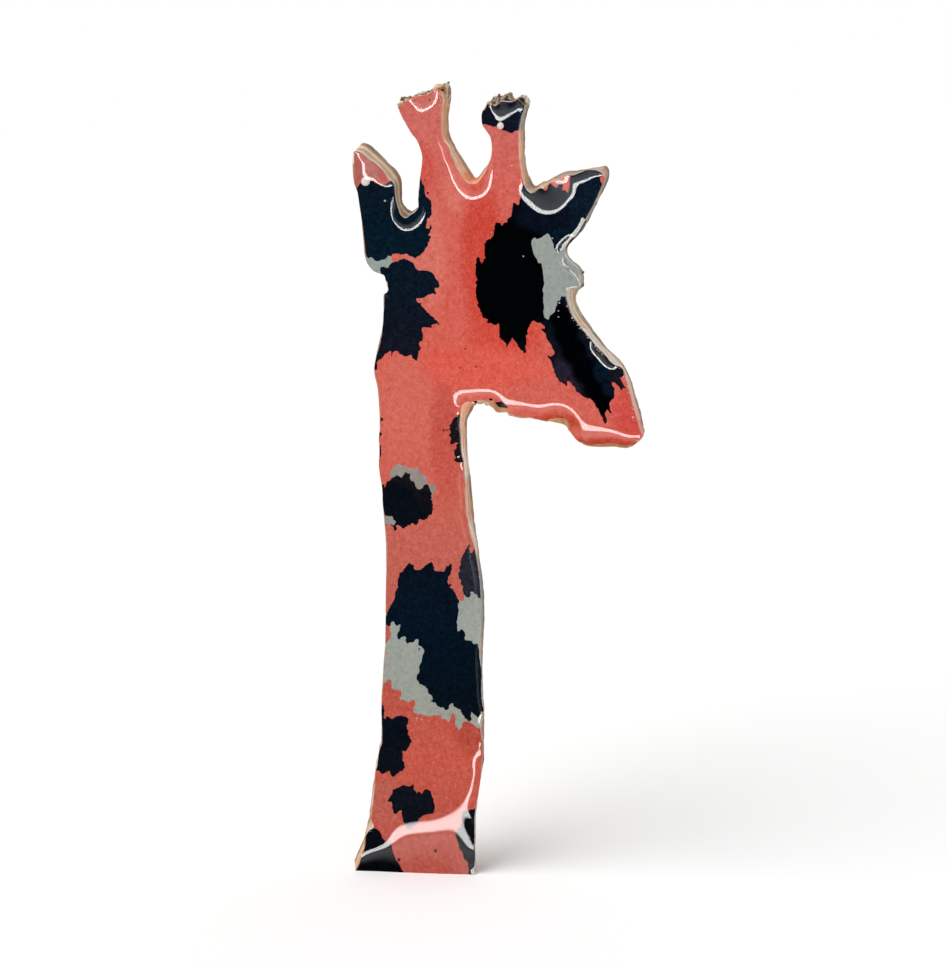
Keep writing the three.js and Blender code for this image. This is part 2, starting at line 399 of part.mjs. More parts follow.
// pin stem: an eye on the rivet, a straight wire and a ground point
const stemProfile = [[0, STEM_TIP_Z], [0.09, STEM_TIP_Z + 0.15], [0.26, STEM_TIP_Z + STEM_TAPER * 0.5],
  [STEM_R, STEM_TIP_Z + STEM_TAPER], [STEM_R, HINGE_Z - EYE_HOLE_R - 0.15], [0, HINGE_Z - EYE_HOLE_R - 0.15]];
const stemWire = new THREE.LatheGeometry(stemProfile.map(([r, z]) => new THREE.Vector2(r, z)), 20);
stemWire.rotateX(Math.PI / 2);
stemWire.translate(BAR_X, AXIS_Y, 0);
const stem = solid(rod('x', EYE_R, BAR_X - EYE_WIDTH / 2, BAR_X + EYE_WIDTH / 2, [AXIS_Y, HINGE_Z], 28))
  .add(solid(stemWire))
  .subtract(solid(rod('x', EYE_HOLE_R, BAR_X - 2, BAR_X + 2, [AXIS_Y, HINGE_Z], 20)));
add('pin_stem', geometryOf(stem), 0xc6c9cc, 0.22, 1);

// catch housing: a split ring on a post, with a foot riveted to the bar
const cz0 = CATCH_Z - HOUSING_LENGTH / 2;
const cz1 = CATCH_Z + HOUSING_LENGTH / 2;
const footBack = BAR_BACK + FOOT_THICK;
const housing = solid(rod('z', HOUSING_R, cz0, cz1, [BAR_X, AXIS_Y], 32))
  .add(solid(box(BAR_X - POST_WIDTH / 2, BAR_X + POST_WIDTH / 2, BAR_BACK, AXIS_Y, cz0, cz1)))
  .add(solid(box(BAR_X - FOOT_WIDTH / 2, BAR_X + FOOT_WIDTH / 2, BAR_BACK, footBack, cz0, FOOT_TOP_Z)))
  .subtract(solid(rod('z', HOUSING_BORE_R, cz0 - 1, cz1 + 1, [BAR_X, AXIS_Y], 32)))
  .subtract(solid(box(BAR_X - MOUTH / 2, BAR_X + MOUTH / 2, AXIS_Y, AXIS_Y + 4, cz0 - 1, cz1 + 1)))
  .subtract(solid(rod('y', CATCH_RIVET_HOLE_R, 0, 3, [BAR_X, CATCH_RIVET_Z], 18)));
add('catch_housing', geometryOf(housing), ...METAL);

const catchRivet = solid(rod('y', CATCH_RIVET_R, GLUE + 0.02, footBack + 0.1, [BAR_X, CATCH_RIVET_Z], 18))
  .add(solid(rod('y', 0.95, footBack + 0.02, footBack + 0.4, [BAR_X, CATCH_RIVET_Z], 18)));
add('catch_rivet', geometryOf(catchRivet), ...METAL);

// catch rotor: a slotted barrel with a flange at each end and a thumb tab
const rz0 = cz0 - ROTOR_PLAY - ROTOR_FLANGE;
const rz1 = cz1 + ROTOR_PLAY + ROTOR_FLANGE;
const tab = box(ROTOR_R * 0.9, TAB_REACH, -TAB_THICK / 2, TAB_THICK / 2, rz0, rz0 + ROTOR_FLANGE);
tab.rotateZ(THREE.MathUtils.degToRad(TAB_ANGLE));
tab.translate(BAR_X, AXIS_Y, 0);
const rotor = solid(rod('z', ROTOR_R, rz0 + 0.1, rz1 - 0.1, [BAR_X, AXIS_Y], 28))
  .add(solid(rod('z', ROTOR_FLANGE_R, rz0, rz0 + ROTOR_FLANGE, [BAR_X, AXIS_Y], 28)))
  .add(solid(rod('z', ROTOR_FLANGE_R, rz1 - ROTOR_FLANGE, rz1, [BAR_X, AXIS_Y], 28)))
  .add(solid(tab))
  .subtract(solid(rod('z', ROTOR_BORE_R, rz0 - 1, rz1 + 1, [BAR_X, AXIS_Y], 24)))
  .subtract(solid(box(BAR_X - ROTOR_SLOT / 2, BAR_X + ROTOR_SLOT / 2, AXIS_Y, AXIS_Y + 4, rz0 - 1, rz1 + 1)));
add('catch_rotor', geometryOf(rotor), ...METAL);

export default group;
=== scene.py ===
import math
import bpy
import numpy as np
from mathutils import Matrix, Vector
from mathutils.geometry import delaunay_2d_cdt


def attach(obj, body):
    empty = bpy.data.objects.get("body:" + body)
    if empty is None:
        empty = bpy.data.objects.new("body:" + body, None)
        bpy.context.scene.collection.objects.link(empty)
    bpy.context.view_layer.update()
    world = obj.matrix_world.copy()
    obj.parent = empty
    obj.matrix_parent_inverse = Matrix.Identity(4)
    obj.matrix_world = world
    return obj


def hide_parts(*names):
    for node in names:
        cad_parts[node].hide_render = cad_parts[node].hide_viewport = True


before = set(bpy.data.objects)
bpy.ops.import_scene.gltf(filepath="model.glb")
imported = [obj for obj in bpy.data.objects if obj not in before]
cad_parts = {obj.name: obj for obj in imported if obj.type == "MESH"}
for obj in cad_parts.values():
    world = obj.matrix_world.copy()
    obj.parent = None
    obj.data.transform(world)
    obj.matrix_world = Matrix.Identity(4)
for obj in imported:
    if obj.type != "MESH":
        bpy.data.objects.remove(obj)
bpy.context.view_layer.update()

MM = 0.001
rng = np.random.default_rng(11)

# ------------------------------------------------------------------ the data
# Every number is in millimetres in the object's own frame: x to the right,
# z up. LOOP runs round the object from the bottom right corner; each row is
# the edge of the paper, the front edge of the wood and its back edge.
LOOP = [
    (-2.82, 0, -2.82, 0, -3.53, 0), (-16.81, 0, -16.81, 0, -17.72, 0),
    (-16.6571, 0.38, -16.6571, 0.38, -17.6371, 0.39), (-16.4787, 0.7654, -16.4787, 0.7654, -17.4687, 0.7854),
    (-16.392, 1, -16.392, 1, -17.352, 1.02), (-16.215, 1.55, -16.215, 1.55, -17.105, 1.55),
    (-15.555, 2.9, -15.555, 2.9, -16.475, 2.92), (-15.5152, 3.0401, -15.5152, 3.0401, -16.4252, 3.0501),
    (-15.3873, 3.8229, -15.3873, 3.8229, -16.1973, 3.8229), (-15.3319, 4.0845, -15.3319, 4.0845, -16.1219, 4.0845),
    (-15.162, 4.4694, -15.162, 4.4694, -16.002, 4.4694), (-15.0251, 4.6529, -15.0251, 4.6529, -15.9451, 4.6729),
    (-14.963, 4.7612, -14.963, 4.7612, -15.943, 4.7812), (-14.5407, 5.03, -14.5407, 5.03, -15.8207, 5.1),
    (-14.3707, 5.25, -14.3707, 5.25, -15.7307, 5.32), (-14.3279, 5.38, -14.3279, 5.38, -15.6979, 5.45),
    (-14.375, 5.57, -14.375, 5.57, -15.685, 5.64), (-14.545, 5.92, -14.545, 5.92, -15.675, 5.98),
    (-14.595, 6.05, -14.595, 6.05, -15.665, 6.1), (-14.6344, 6.1795, -14.6344, 6.1795, -15.6544, 6.2295),
    (-14.6389, 6.5502, -14.6389, 6.5502, -15.5689, 6.5802), (-14.5779, 6.9561, -14.5779, 6.9561, -15.4579, 6.9661),
    (-14.4609, 7.6341, -14.4609, 7.6341, -15.3409, 7.6441), (-14.271, 8.5575, -14.271, 8.5575, -15.191, 8.5675),
    (-14.1441, 9.3381, -14.1441, 9.3381, -15.0641, 9.3581), (-14.0554, 9.7242, -14.0554, 9.7242, -14.9554, 9.7442),
    (-13.9933, 9.9929, -13.9933, 9.9929, -14.8633, 10.0029),
    (-13.977, 10.6748, -13.977, 10.6748, -14.737, 10.6748),
    (-13.9801, 11.0672, -13.9801, 11.0672, -14.7101, 11.0672),
    (-13.9021, 11.7257, -13.9021, 11.7257, -14.6121, 11.7257),
    (-13.8021, 12.125, -13.8021, 12.125, -14.5121, 12.125),
    (-13.5681, 12.7844, -13.5681, 12.7844, -14.2681, 12.7844),
    (-13.4571, 13.7896, -13.4571, 13.7896, -14.1371, 13.7896),
    (-13.015, 14.9903, -13.015, 14.9903, -13.685, 14.9903),
    (-12.9692, 15.3931, -12.9692, 15.3931, -13.6392, 15.3931),
    (-12.9564, 15.7661, -12.9564, 15.7661, -13.6164, 15.7661),
    (-12.8461, 17.3777, -12.8461, 17.3777, -13.4761, 17.3777),
    (-12.8147, 19.0186, -12.8147, 19.0186, -13.4247, 19.0186),
    (-12.7499, 20.2188, -12.7499, 20.2188, -13.3499, 20.2188),
    (-12.5538, 21.8079, -12.5538, 21.8079, -13.1238, 21.8079),
    (-12.3337, 24.1177, -12.3337, 24.1177, -12.8737, 24.1177),
    (-12.1356, 25.556, -12.1356, 25.556, -12.6556, 25.556),
    (-11.9982, 26.7142, -11.9982, 26.7142, -12.4982, 26.7142),
    (-11.9782, 26.965, -11.9782, 26.965, -12.4782, 26.965),
    (-11.7373, 31.7375, -11.7373, 31.7375, -12.1673, 31.7375),
    (-11.7398, 31.979, -11.7398, 31.979, -12.1698, 31.979),
    (-11.5168, 34.9595, -11.5168, 34.9595, -11.8668, 34.9595),
    (-11.5132, 35.0899, -11.5132, 35.0899, -11.8632, 35.0899), (-11.4094, 37.58, -11.4094, 37.58, -11.6994, 37.58),
    (-11.4016, 37.6901, -11.4016, 37.6901, -11.6916, 37.6901),
    (-11.4566, 40.5005, -11.4566, 40.5005, -11.6766, 40.5005),
    (-11.5928, 42.4319, -11.5928, 42.4319, -11.7628, 42.4319),
    (-11.5139, 44.1138, -11.5139, 44.1138, -11.6439, 44.1138),
    (-11.7142, 45.3717, -11.7142, 45.3717, -11.8142, 45.3717),
    (-11.8258, 46.6309, -11.8258, 46.6309, -11.9058, 46.6309),
    (-11.7889, 47.1098, -11.7889, 47.1098, -11.8489, 47.1098),
    (-11.6504, 48.2859, -11.6504, 48.2859, -11.6804, 48.2859),
    (-11.6976, 49.6769, -11.6976, 49.6769, -11.6976, 49.6769),
    (-11.5059, 50.9989, -11.5059, 50.9989, -11.4659, 50.9989),
    (-11.4952, 51.119, -11.4952, 51.119, -11.4552, 51.119), (-11.465, 52.3, -11.465, 52.3, -11.395, 52.3),
    (-11.4463, 52.4205, -11.4463, 52.4205, -11.3763, 52.4205),
    (-11.5275, 55.0639, -11.5275, 55.0639, -11.4175, 55.0839),
    (-11.5924, 55.6327, -11.5924, 55.6327, -11.4924, 55.6627),
    (-11.8086, 56.6007, -11.8086, 56.6007, -11.6986, 56.6407),
    (-11.8557, 57.1705, -11.8557, 57.1705, -11.7457, 57.2205),
    (-11.8452, 57.6368, -11.8452, 57.6368, -11.7352, 57.7068),
    (-11.7366, 58.2433, -11.7366, 58.2433, -11.6266, 58.3133),
    (-11.2094, 60.1508, -11.2094, 60.1508, -11.1094, 60.2608),
    (-10.8661, 61.2402, -10.8661, 61.2402, -10.7561, 61.3702),
    (-10.6705, 62.0734, -10.6705, 62.0734, -10.5605, 62.2234),
    (-10.5585, 62.8036, -10.5585, 62.8036, -10.4485, 62.9636),
    (-10.4167, 65.3632, -10.4167, 65.3632, -10.3067, 65.5632),
    (-10.3857, 65.5243, -10.3857, 65.5243, -10.2757, 65.7343),
    (-10.3178, 65.6099, -10.3178, 65.6099, -10.2078, 65.8199),
    (-10.101, 65.7329, -10.101, 65.7329, -9.991, 65.9429), (-10.0279, 65.81, -10.0279, 65.81, -9.9179, 66.02),
    (-9.8858, 66.1, -9.8858, 66.1, -9.7758, 66.32), (-9.9682, 66.5375, -9.9682, 66.5375, -9.8582, 66.7675),
    (-9.9776, 66.8521, -9.9776, 66.8521, -9.8676, 67.0921),
    (-10.1478, 67.0183, -10.1478, 67.0183, -10.0378, 67.2583),
    (-10.1855, 67.4757, -10.1855, 67.4757, -10.0855, 67.7257),
    (-10.3332, 67.6539, -10.3332, 67.6539, -10.2232, 67.9039),
    (-10.5528, 67.7687, -10.5528, 67.7687, -10.4428, 68.0187),
    (-11.2595, 67.9944, -11.2595, 67.9944, -11.1495, 68.2444),
    (-11.6056, 68.2738, -11.6056, 68.2738, -11.4956, 68.5338),
    (-11.6693, 68.3584, -11.6693, 68.3584, -11.5593, 68.6184),
    (-11.8156, 68.521, -11.8156, 68.521, -11.7056, 68.791), (-11.8818, 68.617, -11.8818, 68.617, -11.7818, 68.887),
    (-12.0167, 68.8191, -12.0167, 68.8191, -11.9067, 69.0891),
    (-12.0613, 68.9316, -12.0613, 68.9316, -11.9613, 69.2116),
    (-12.1487, 69.1656, -12.1487, 69.1656, -12.0387, 69.4356),
    (-12.2335, 69.5078, -12.2335, 69.5078, -12.1235, 69.7978),
    (-12.2674, 69.6331, -12.2674, 69.6331, -12.1574, 69.9131),
    (-12.3627, 70.2316, -12.3627, 70.2316, -12.2527, 70.5316),
    (-12.3656, 71.3125, -12.3656, 71.3125, -12.2556, 71.6325),
    (-12.4823, 73.3236, -12.4823, 73.3236, -12.3723, 73.6736),
    (-12.4898, 73.6957, -12.4898, 73.6957, -12.3798, 74.0557),
    (-12.7177, 76.3529, -12.7177, 76.3529, -12.6077, 76.7629),
    (-12.7998, 76.8031, -12.7998, 76.8031, -12.6898, 77.2231),
    (-13.0952, 77.5283, -13.0952, 77.5283, -12.9852, 77.9583),
    (-13.1701, 77.9755, -13.1701, 77.9755, -13.0601, 78.4055),
    (-13.1851, 79.3498, -13.1851, 79.3498, -13.0845, 79.8238),
    (-13.1676, 79.4987, -13.1676, 79.4987, -13.0702, 79.9838),
    (-13.066, 80.7244, -13.066, 80.7244, -13.0026, 81.3419),
    (-13.0508, 80.8398, -13.0508, 80.8398, -12.999, 81.5033),
    (-13.0455, 80.8919, -13.0455, 80.8919, -12.9848, 81.6092),
    (-13.0275, 80.927, -13.0275, 80.927, -12.9573, 81.7063), (-12.9366, 80.97, -12.9366, 80.97, -12.8365, 81.8314),
    (-12.81, 80.97, -12.81, 80.97, -12.671, 81.8536), (-12.55, 80.94, -12.55, 80.94, -12.342, 81.7579),
    (-12.18, 80.82, -12.18, 80.82, -11.9652, 81.495), (-11.98, 80.68, -11.98, 80.68, -11.7608, 81.3285),
    (-11.89, 80.61, -11.89, 80.61, -11.6566, 81.2638), (-11.53, 80.26, -11.53, 80.26, -11.2753, 80.8495),
    (-10.59, 79.62, -10.59, 79.62, -10.4893, 80.0581), (-10.07, 79.1, -10.07, 79.1, -9.9486, 79.5613),
    (-9.68, 78.54, -9.68, 78.54, -9.4485, 79.0911), (-9.57, 78.33, -9.57, 78.33, -9.2868, 78.9021),
    (-9.42, 78.02, -9.42, 78.02, -9.0851, 78.6025), (-9.26, 77.86, -9.26, 77.86, -8.9576, 78.4104),
    (-8.94, 77.66, -8.94, 77.66, -8.7913, 78.1316), (-8.77, 77.38, -8.77, 77.38, -8.7354, 77.8006),
    (-8.69, 77.04, -8.69, 77.04, -8.6611, 77.4714), (-8.69, 76.32, -8.69, 76.32, -8.6529, 76.7242),
    (-8.63, 75.72, -8.63, 75.72, -8.6691, 76.1146), (-8.61, 75.6, -8.61, 75.6, -8.6949, 75.9843),
    (-8.53, 75.26, -8.53, 75.26, -8.7075, 75.6055), (-8.47, 75.04, -8.47, 75.04, -8.689, 75.3328),
    (-8.4, 74.82, -8.4, 74.82, -8.5894, 75.0679), (-8.22, 74.26, -8.22, 74.26, -8.1765, 74.6135),
    (-8.18, 74.16, -8.18, 74.16, -8.0756, 74.5602), (-7.95, 73.89, -7.95, 73.89, -7.8237, 74.3929),
    (-7.7346, 73.76, -7.7346, 73.76, -7.6527, 74.3089), (-7.6203, 73.7212, -7.6203, 73.7212, -7.5503, 74.3312),
    (-7.3811, 73.81, -7.3811, 73.81, -7.4011, 74.42), (-6.9231, 74.1219, -6.9231, 74.1219, -7.0631, 74.6619),
    (-6.7827, 74.1675, -6.7827, 74.1675, -6.9327, 74.6875), (-6.5597, 74.322, -6.5597, 74.322, -6.6497, 74.772),
    (-6.2999, 74.5684, -6.2999, 74.5684, -6.2399, 74.9584), (-6.215, 74.6429, -6.215, 74.6429, -6.135, 75.0329),
    (-6.149, 74.7557, -6.149, 74.7557, -6.049, 75.1357), (-6.0888, 74.9855, -6.0888, 74.9855, -5.9788, 75.3755),
    (-6.1, 75.069, -6.1, 75.069, -5.99, 75.459), (-6.0888, 76.1712, -6.0888, 76.1712, -5.9788, 76.5812),
    (-5.7783, 78.0598, -5.7783, 78.0598, -5.6683, 78.4998), (-5.5809, 79.0263, -5.5809, 79.0263, -5.4709, 79.4663),
    (-5.5425, 79.2773, -5.5425, 79.2773, -5.4325, 79.7173), (-5.4687, 79.7913, -5.4687, 79.7913, -5.3687, 80.2213),
    (-5.4511, 80.0157, -5.4511, 80.0157, -5.3411, 80.4557), (-5.4638, 80.2679, -5.4638, 80.2679, -5.3538, 80.7079),
    (-5.4961, 80.5104, -5.4961, 80.5104, -5.3861, 80.9504), (-5.5902, 80.9801, -5.5902, 80.9801, -5.4802, 81.4201),
    (-5.6256, 81.1019, -5.6256, 81.1019, -5.5156, 81.5319), (-5.9231, 81.8844, -5.9231, 81.8844, -5.8231, 82.3244),
    (-5.9797, 81.9909, -5.9797, 81.9909, -5.8697, 82.4309), (-6.0959, 82.174, -6.0959, 82.174, -5.9859, 82.614),
    (-6.5252, 82.6121, -6.5252, 82.6121, -6.4152, 83.0521), (-7.4747, 84.3294, -7.4747, 84.3294, -7.3951, 84.7739),
    (-7.5095, 84.435, -7.5095, 84.435, -7.4543, 84.8716), (-7.6507, 84.7915, -7.6507, 84.7915, -7.6774, 85.2292),
    (-7.775, 85.2153, -7.775, 85.2153, -8.039, 85.8248), (-7.8231, 85.3485, -7.8231, 85.3485, -8.2075, 86.0741),
    (-7.8529, 85.4897, -7.8529, 85.4897, -8.3348, 86.3052), (-7.8339, 85.6261, -7.8339, 85.6261, -8.3743, 86.4827),
    (-7.7333, 85.7399, -7.7333, 85.7399, -8.2894, 86.5948), (-7.5581, 85.731, -7.5581, 85.731, -8.0655, 86.5578),
    (-6.9586, 86.013, -6.9586, 86.013, -7.0434, 86.4832), (-6.8585, 86.1722, -6.8585, 86.1722, -6.8335, 86.4686),
    (-6.8542, 86.2008, -6.8542, 86.2008, -6.8855, 86.5009), (-6.8012, 86.2282, -6.8012, 86.2282, -6.8551, 86.6305),
    (-6.16, 86.53, -6.16, 86.53, -6.1788, 86.9945), (-5.92, 86.58, -5.92, 86.58, -5.8917, 87.175),
    (-5.3, 86.68, -5.3, 86.68, -5.2692, 87.2337), (-4.9134, 86.6765, -4.9134, 86.6765, -5.0134, 87.2865),
    (-4.6764, 86.7029, -4.6764, 86.7029, -4.8364, 87.3529), (-4.1693, 86.9905, -4.1693, 86.9905, -4.2488, 87.7068),
    (-4.042, 87.048, -4.042, 87.048, -4.0839, 87.7731), (-3.9111, 87.0522, -3.9111, 87.0522, -3.9016, 87.806),
    (-3.8167, 87.1715, -3.8167, 87.1715, -3.7303, 87.7954), (-3.6882, 87.1716, -3.6882, 87.1716, -3.5286, 87.8727),
    (-3.5549, 87.1464, -3.5549, 87.1464, -3.2939, 87.9222), (-3.4424, 87.0947, -3.4424, 87.0947, -3.078, 87.8533),
    (-3.2501, 86.9323, -3.2501, 86.9323, -2.8146, 87.6134), (-3.113, 86.7008, -3.113, 86.7008, -2.7331, 87.3157),
    (-3.0421, 86.3103, -3.0421, 86.3103, -2.7629, 86.8196), (-3.0283, 85.9114, -3.0283, 85.9114, -2.7802, 86.3458),
    (-3.039, 85.8022, -3.039, 85.8022, -2.7638, 86.2224), (-3.14, 85.165, -3.14, 85.165, -2.9224, 85.5379),
    (-3.18, 84.41, -3.18, 84.41, -3.0486, 84.8493), (-3.25, 82.95, -3.25, 82.95, -3.1653, 83.3896),
    (-3.23, 82.52, -3.23, 82.52, -3.1776, 82.96), (-3.21, 82.38, -3.21, 82.38, -3.1939, 82.815),
    (-3.15, 82.14, -3.15, 82.14, -3.1524, 82.5588), (-3.01, 81.8, -3.01, 81.8, -3.0637, 82.1759),
    (-2.95, 81.71, -2.95, 81.71, -3.0429, 82.0507), (-2.57, 81.22, -2.57, 81.22, -2.7858, 81.4898),
    (-2.45, 81.02, -2.45, 81.02, -2.675, 81.2912), (-2.42, 80.91, -2.42, 80.91, -2.6114, 81.1891),
    (-2.31, 80.31, -2.31, 80.31, -2.3795, 80.6831), (-1.89, 79.65, -1.89, 79.65, -1.8869, 80.0107),
    (-1.74, 78.94, -1.74, 78.94, -1.5592, 79.4262), (-1.7, 78.82, -1.7, 78.82, -1.4973, 79.3173),
    (-1.56, 78.5, -1.56, 78.5, -1.3071, 79.0103), (-1.31, 78.06, -1.31, 78.06, -1.058, 78.5825),
    (-0.95, 77.54, -0.95, 77.54, -0.7336, 78.047), (-0.79, 77.36, -0.79, 77.36, -0.6264, 77.8362),
    (-0.6, 77.23, -0.6, 77.23, -0.49, 77.7067), (-0.27, 77.14, -0.27, 77.14, -0.3237, 77.6701),
    (0.0841, 77.14, 0.0841, 77.14, -0.1496, 77.7604), (0.2211, 77.16, 0.2211, 77.16, -0.0565, 77.8454),
    (0.3693, 77.1746, 0.3693, 77.1746, 0.0293, 77.9746), (0.4851, 77.25, 0.4851, 77.25, 0.1151, 78.08),
    (0.6521, 77.39, 0.6521, 77.39, 0.2521, 78.24), (1.345, 78.39, 1.345, 78.39, 0.985, 79.15),
    (1.399, 78.4878, 1.399, 78.4878, 1.069, 79.2178), (1.4614, 78.5937, 1.4614, 78.5937, 1.1614, 79.2837),
    (1.605, 79.0375, 1.605, 79.0375, 1.605, 79.5375), (1.7296, 79.2524, 1.7296, 79.2524, 1.8096, 79.7024),
    (1.9016, 79.5702, 1.9016, 79.5702, 2.0116, 80.0102), (2.0708, 80.1107, 2.0708, 80.1107, 2.1808, 80.5507),
    (2.0878, 80.2271, 2.0878, 80.2271, 2.1978, 80.6671), (2.1421, 80.4574, 2.1421, 80.4574, 2.2521, 80.8974),
    (2.1773, 80.8197, 2.1773, 80.8197, 2.2773, 81.2497), (2.1706, 80.9429, 2.1706, 80.9429, 2.2806, 81.3729),
    (2.1342, 81.5386, 2.1342, 81.5386, 2.2442, 81.9786), (2.0794, 81.8917, 2.0794, 81.8917, 2.1894, 82.3217),
    (1.9429, 82.2138, 1.9429, 82.2138, 2.0529, 82.6538), (1.8688, 82.31, 1.8688, 82.31, 1.9788, 82.75),
    (1.3253, 83.1121, 1.3253, 83.1121, 1.4253, 83.5421), (1.2642, 83.21, 1.2642, 83.21, 1.3742, 83.65),
    (1.1913, 83.4243, 1.1913, 83.4243, 1.3013, 83.8543), (1.1592, 83.651, 1.1592, 83.651, 1.2692, 84.081),
    (1.1753, 84.2073, 1.1753, 84.2073, 1.2853, 84.6473), (1.2765, 84.6304, 1.2765, 84.6304, 1.3765, 85.0704),
    (1.3168, 84.7067, 1.3168, 84.7067, 1.4268, 85.1467), (1.3805, 84.7906, 1.3805, 84.7906, 1.4905, 85.2306),
    (1.7536, 85.4026, 1.7536, 85.4026, 1.8536, 85.8626), (1.7695, 85.5214, 1.7695, 85.5214, 1.8595, 86.0114),
    (1.754, 85.63, 1.754, 85.63, 1.8124, 86.161), (1.837, 85.58, 1.837, 85.58, 1.8697, 86.2136),
    (2.04, 85.4, 2.04, 85.4, 2.0098, 86.1633), (2.24, 85.47, 2.24, 85.47, 2.2435, 86.3451),
    (2.3302, 85.41, 2.3302, 85.41, 2.3846, 86.312), (2.5208, 85.25, 2.5208, 85.25, 2.634, 86.2244),
    (2.6568, 85.2407, 2.6568, 85.2407, 2.7568, 86.2707), (2.8997, 85.39, 2.8997, 85.39, 2.9097, 86.34),
    (3.1397, 85.71, 3.1397, 85.71, 3.1097, 86.48), (3.2385, 85.7837, 3.2385, 85.7837, 3.2385, 86.5037),
    (3.4389, 85.8, 3.4389, 85.8, 3.5464, 86.3586), (4.03, 85.68, 4.03, 85.68, 4.1193, 85.9692),
    (4.15, 85.65, 4.15, 85.65, 4.216, 85.8798), (4.26, 85.63, 4.26, 85.63, 4.3378, 85.8681),
    (4.39, 85.63, 4.39, 85.63, 4.466, 85.936), (4.5137, 85.604, 4.5137, 85.604, 4.5837, 86.074),
    (4.6446, 85.6243, 4.6446, 85.6243, 4.6946, 86.1243), (5.0256, 85.7394, 5.0256, 85.7394, 5.1156, 86.2494),
    (5.11, 85.86, 5.11, 85.86, 5.2272, 86.2445), (5.19, 85.81, 5.19, 85.81, 5.2247, 86.201),
    (5.27, 85.71, 5.27, 85.71, 5.2894, 86.0724), (5.48, 85.39, 5.48, 85.39, 5.4705, 85.7254),
    (5.72, 85.29, 5.72, 85.29, 5.6721, 85.6155), (5.81, 85.22, 5.81, 85.22, 5.725, 85.6035),
    (5.82, 85.14, 5.82, 85.14, 5.7912, 85.5708), (5.72, 84.7, 5.72, 84.7, 5.7833, 85.1462),
    (5.44, 84.03, 5.44, 84.03, 5.5291, 84.4746), (5.35, 83.59, 5.35, 83.59, 5.3894, 84.0473),
    (5.15, 82.75, 5.15, 82.75, 5.217, 83.1961), (5.13, 82.63, 5.13, 82.63, 5.2269, 83.0756),
    (5.01, 79.94, 5.01, 79.94, 5.1275, 80.3803), (5.04, 79.59, 5.04, 79.59, 5.1162, 80.0208),
    (5.17, 78.56, 5.17, 78.56, 5.1772, 78.9723), (5.2, 78.32, 5.2, 78.32, 5.2091, 78.7314),
    (5.31, 77.72, 5.31, 77.72, 5.3637, 78.1354), (5.37, 77.48, 5.37, 77.48, 5.4272, 77.9018),
    (5.6, 76.66, 5.6, 76.66, 5.7058, 77.1087), (5.64, 76.55, 5.64, 76.55, 5.7364, 76.9953),
    (5.76, 76.36, 5.76, 76.36, 5.8339, 76.8157), (5.84, 76.27, 5.84, 76.27, 5.8969, 76.7342),
    (5.95, 76.17, 5.95, 76.17, 5.9847, 76.6573), (6.06, 76.09, 6.06, 76.09, 6.0922, 76.6071),
    (6.1782, 76.02, 6.1782, 76.02, 6.2127, 76.6083), (6.3994, 75.9332, 6.3994, 75.9332, 6.4194, 76.6532),
    (6.4942, 76, 6.4942, 76, 6.5142, 76.72), (6.7242, 76.28, 6.7242, 76.28, 6.7542, 76.9),
    (7.01, 76.5117, 7.01, 76.5117, 7.06, 77.0617), (7.1138, 76.4908, 7.1138, 76.4908, 7.1638, 77.0408),
    (7.1763, 76.59, 7.1763, 76.59, 7.2174, 77.0362), (7.505, 76.4761, 7.505, 76.4761, 7.495, 77.1361),
    (7.7121, 76.6, 7.7121, 76.6, 7.6821, 77.28), (8.0123, 76.7666, 8.0123, 76.7666, 8.0123, 77.4066),
    (8.2282, 77.0092, 8.2282, 77.0092, 8.2682, 77.5692), (8.3126, 77.0487, 8.3126, 77.0487, 8.3626, 77.6087),
    (8.6576, 77.157, 8.6576, 77.157, 8.6976, 77.747), (9.2423, 77.35, 9.2423, 77.35, 9.2923, 77.97),
    (9.63, 77.59, 9.63, 77.59, 9.72, 78.1), (9.9772, 77.6793, 9.9772, 77.6793, 10.0872, 78.0993),
    (10.21, 77.75, 10.21, 77.75, 10.3285, 78.0794), (10.69, 77.69, 10.69, 77.69, 10.7918, 78.0725),
    (10.8058, 77.6726, 10.8058, 77.6726, 10.9058, 78.1426), (10.9399, 77.7029, 10.9399, 77.7029, 11.0399, 78.1729),
    (11.7077, 77.9839, 11.7077, 77.9839, 11.8277, 78.2939), (11.9145, 78.0407, 11.9145, 78.0407, 12.0345, 78.3207),
    (12.12, 78.18, 12.12, 78.18, 12.2432, 78.3413), (12.72, 78.22, 12.72, 78.22, 12.8466, 78.3847),
    (13.33, 78.12, 13.33, 78.12, 13.4383, 78.4465), (13.43, 78.08, 13.43, 78.08, 13.5391, 78.4781),
    (13.54, 78.02, 13.54, 78.02, 13.6908, 78.5148), (13.65, 77.95, 13.65, 77.95, 13.854, 78.5153),
    (13.74, 77.87, 13.74, 77.87, 13.968, 78.435), (14.03, 77.63, 14.03, 77.63, 14.1453, 78.0653),
    (14.12, 77.53, 14.12, 77.53, 14.162, 77.9418), (14.17, 77.43, 14.17, 77.43, 14.1819, 77.8635),
    (14.17, 77.33, 14.17, 77.33, 14.1881, 77.7796), (14.1, 77.11, 14.1, 77.11, 14.1822, 77.5491),
    (13.8, 76.47, 13.8, 76.47, 14.0589, 76.8335), (13.56, 75.98, 13.56, 75.98, 13.8276, 76.313),
    (13.19, 75.15, 13.19, 75.15, 13.3241, 75.538), (12.87, 74.53, 12.87, 74.53, 12.9386, 74.9353),
    (12.57, 74.01, 12.57, 74.01, 12.666, 74.4065), (11.81, 72.77, 11.81, 72.77, 12.0233, 73.07),
    (11.57, 72.36, 11.57, 72.36, 11.7826, 72.6435), (11.51, 72.26, 11.51, 72.26, 11.708, 72.5513),
    (11.01, 71.5, 11.01, 71.5, 11.1575, 71.7935), (10.82, 71.29, 10.82, 71.29, 10.9725, 71.567),
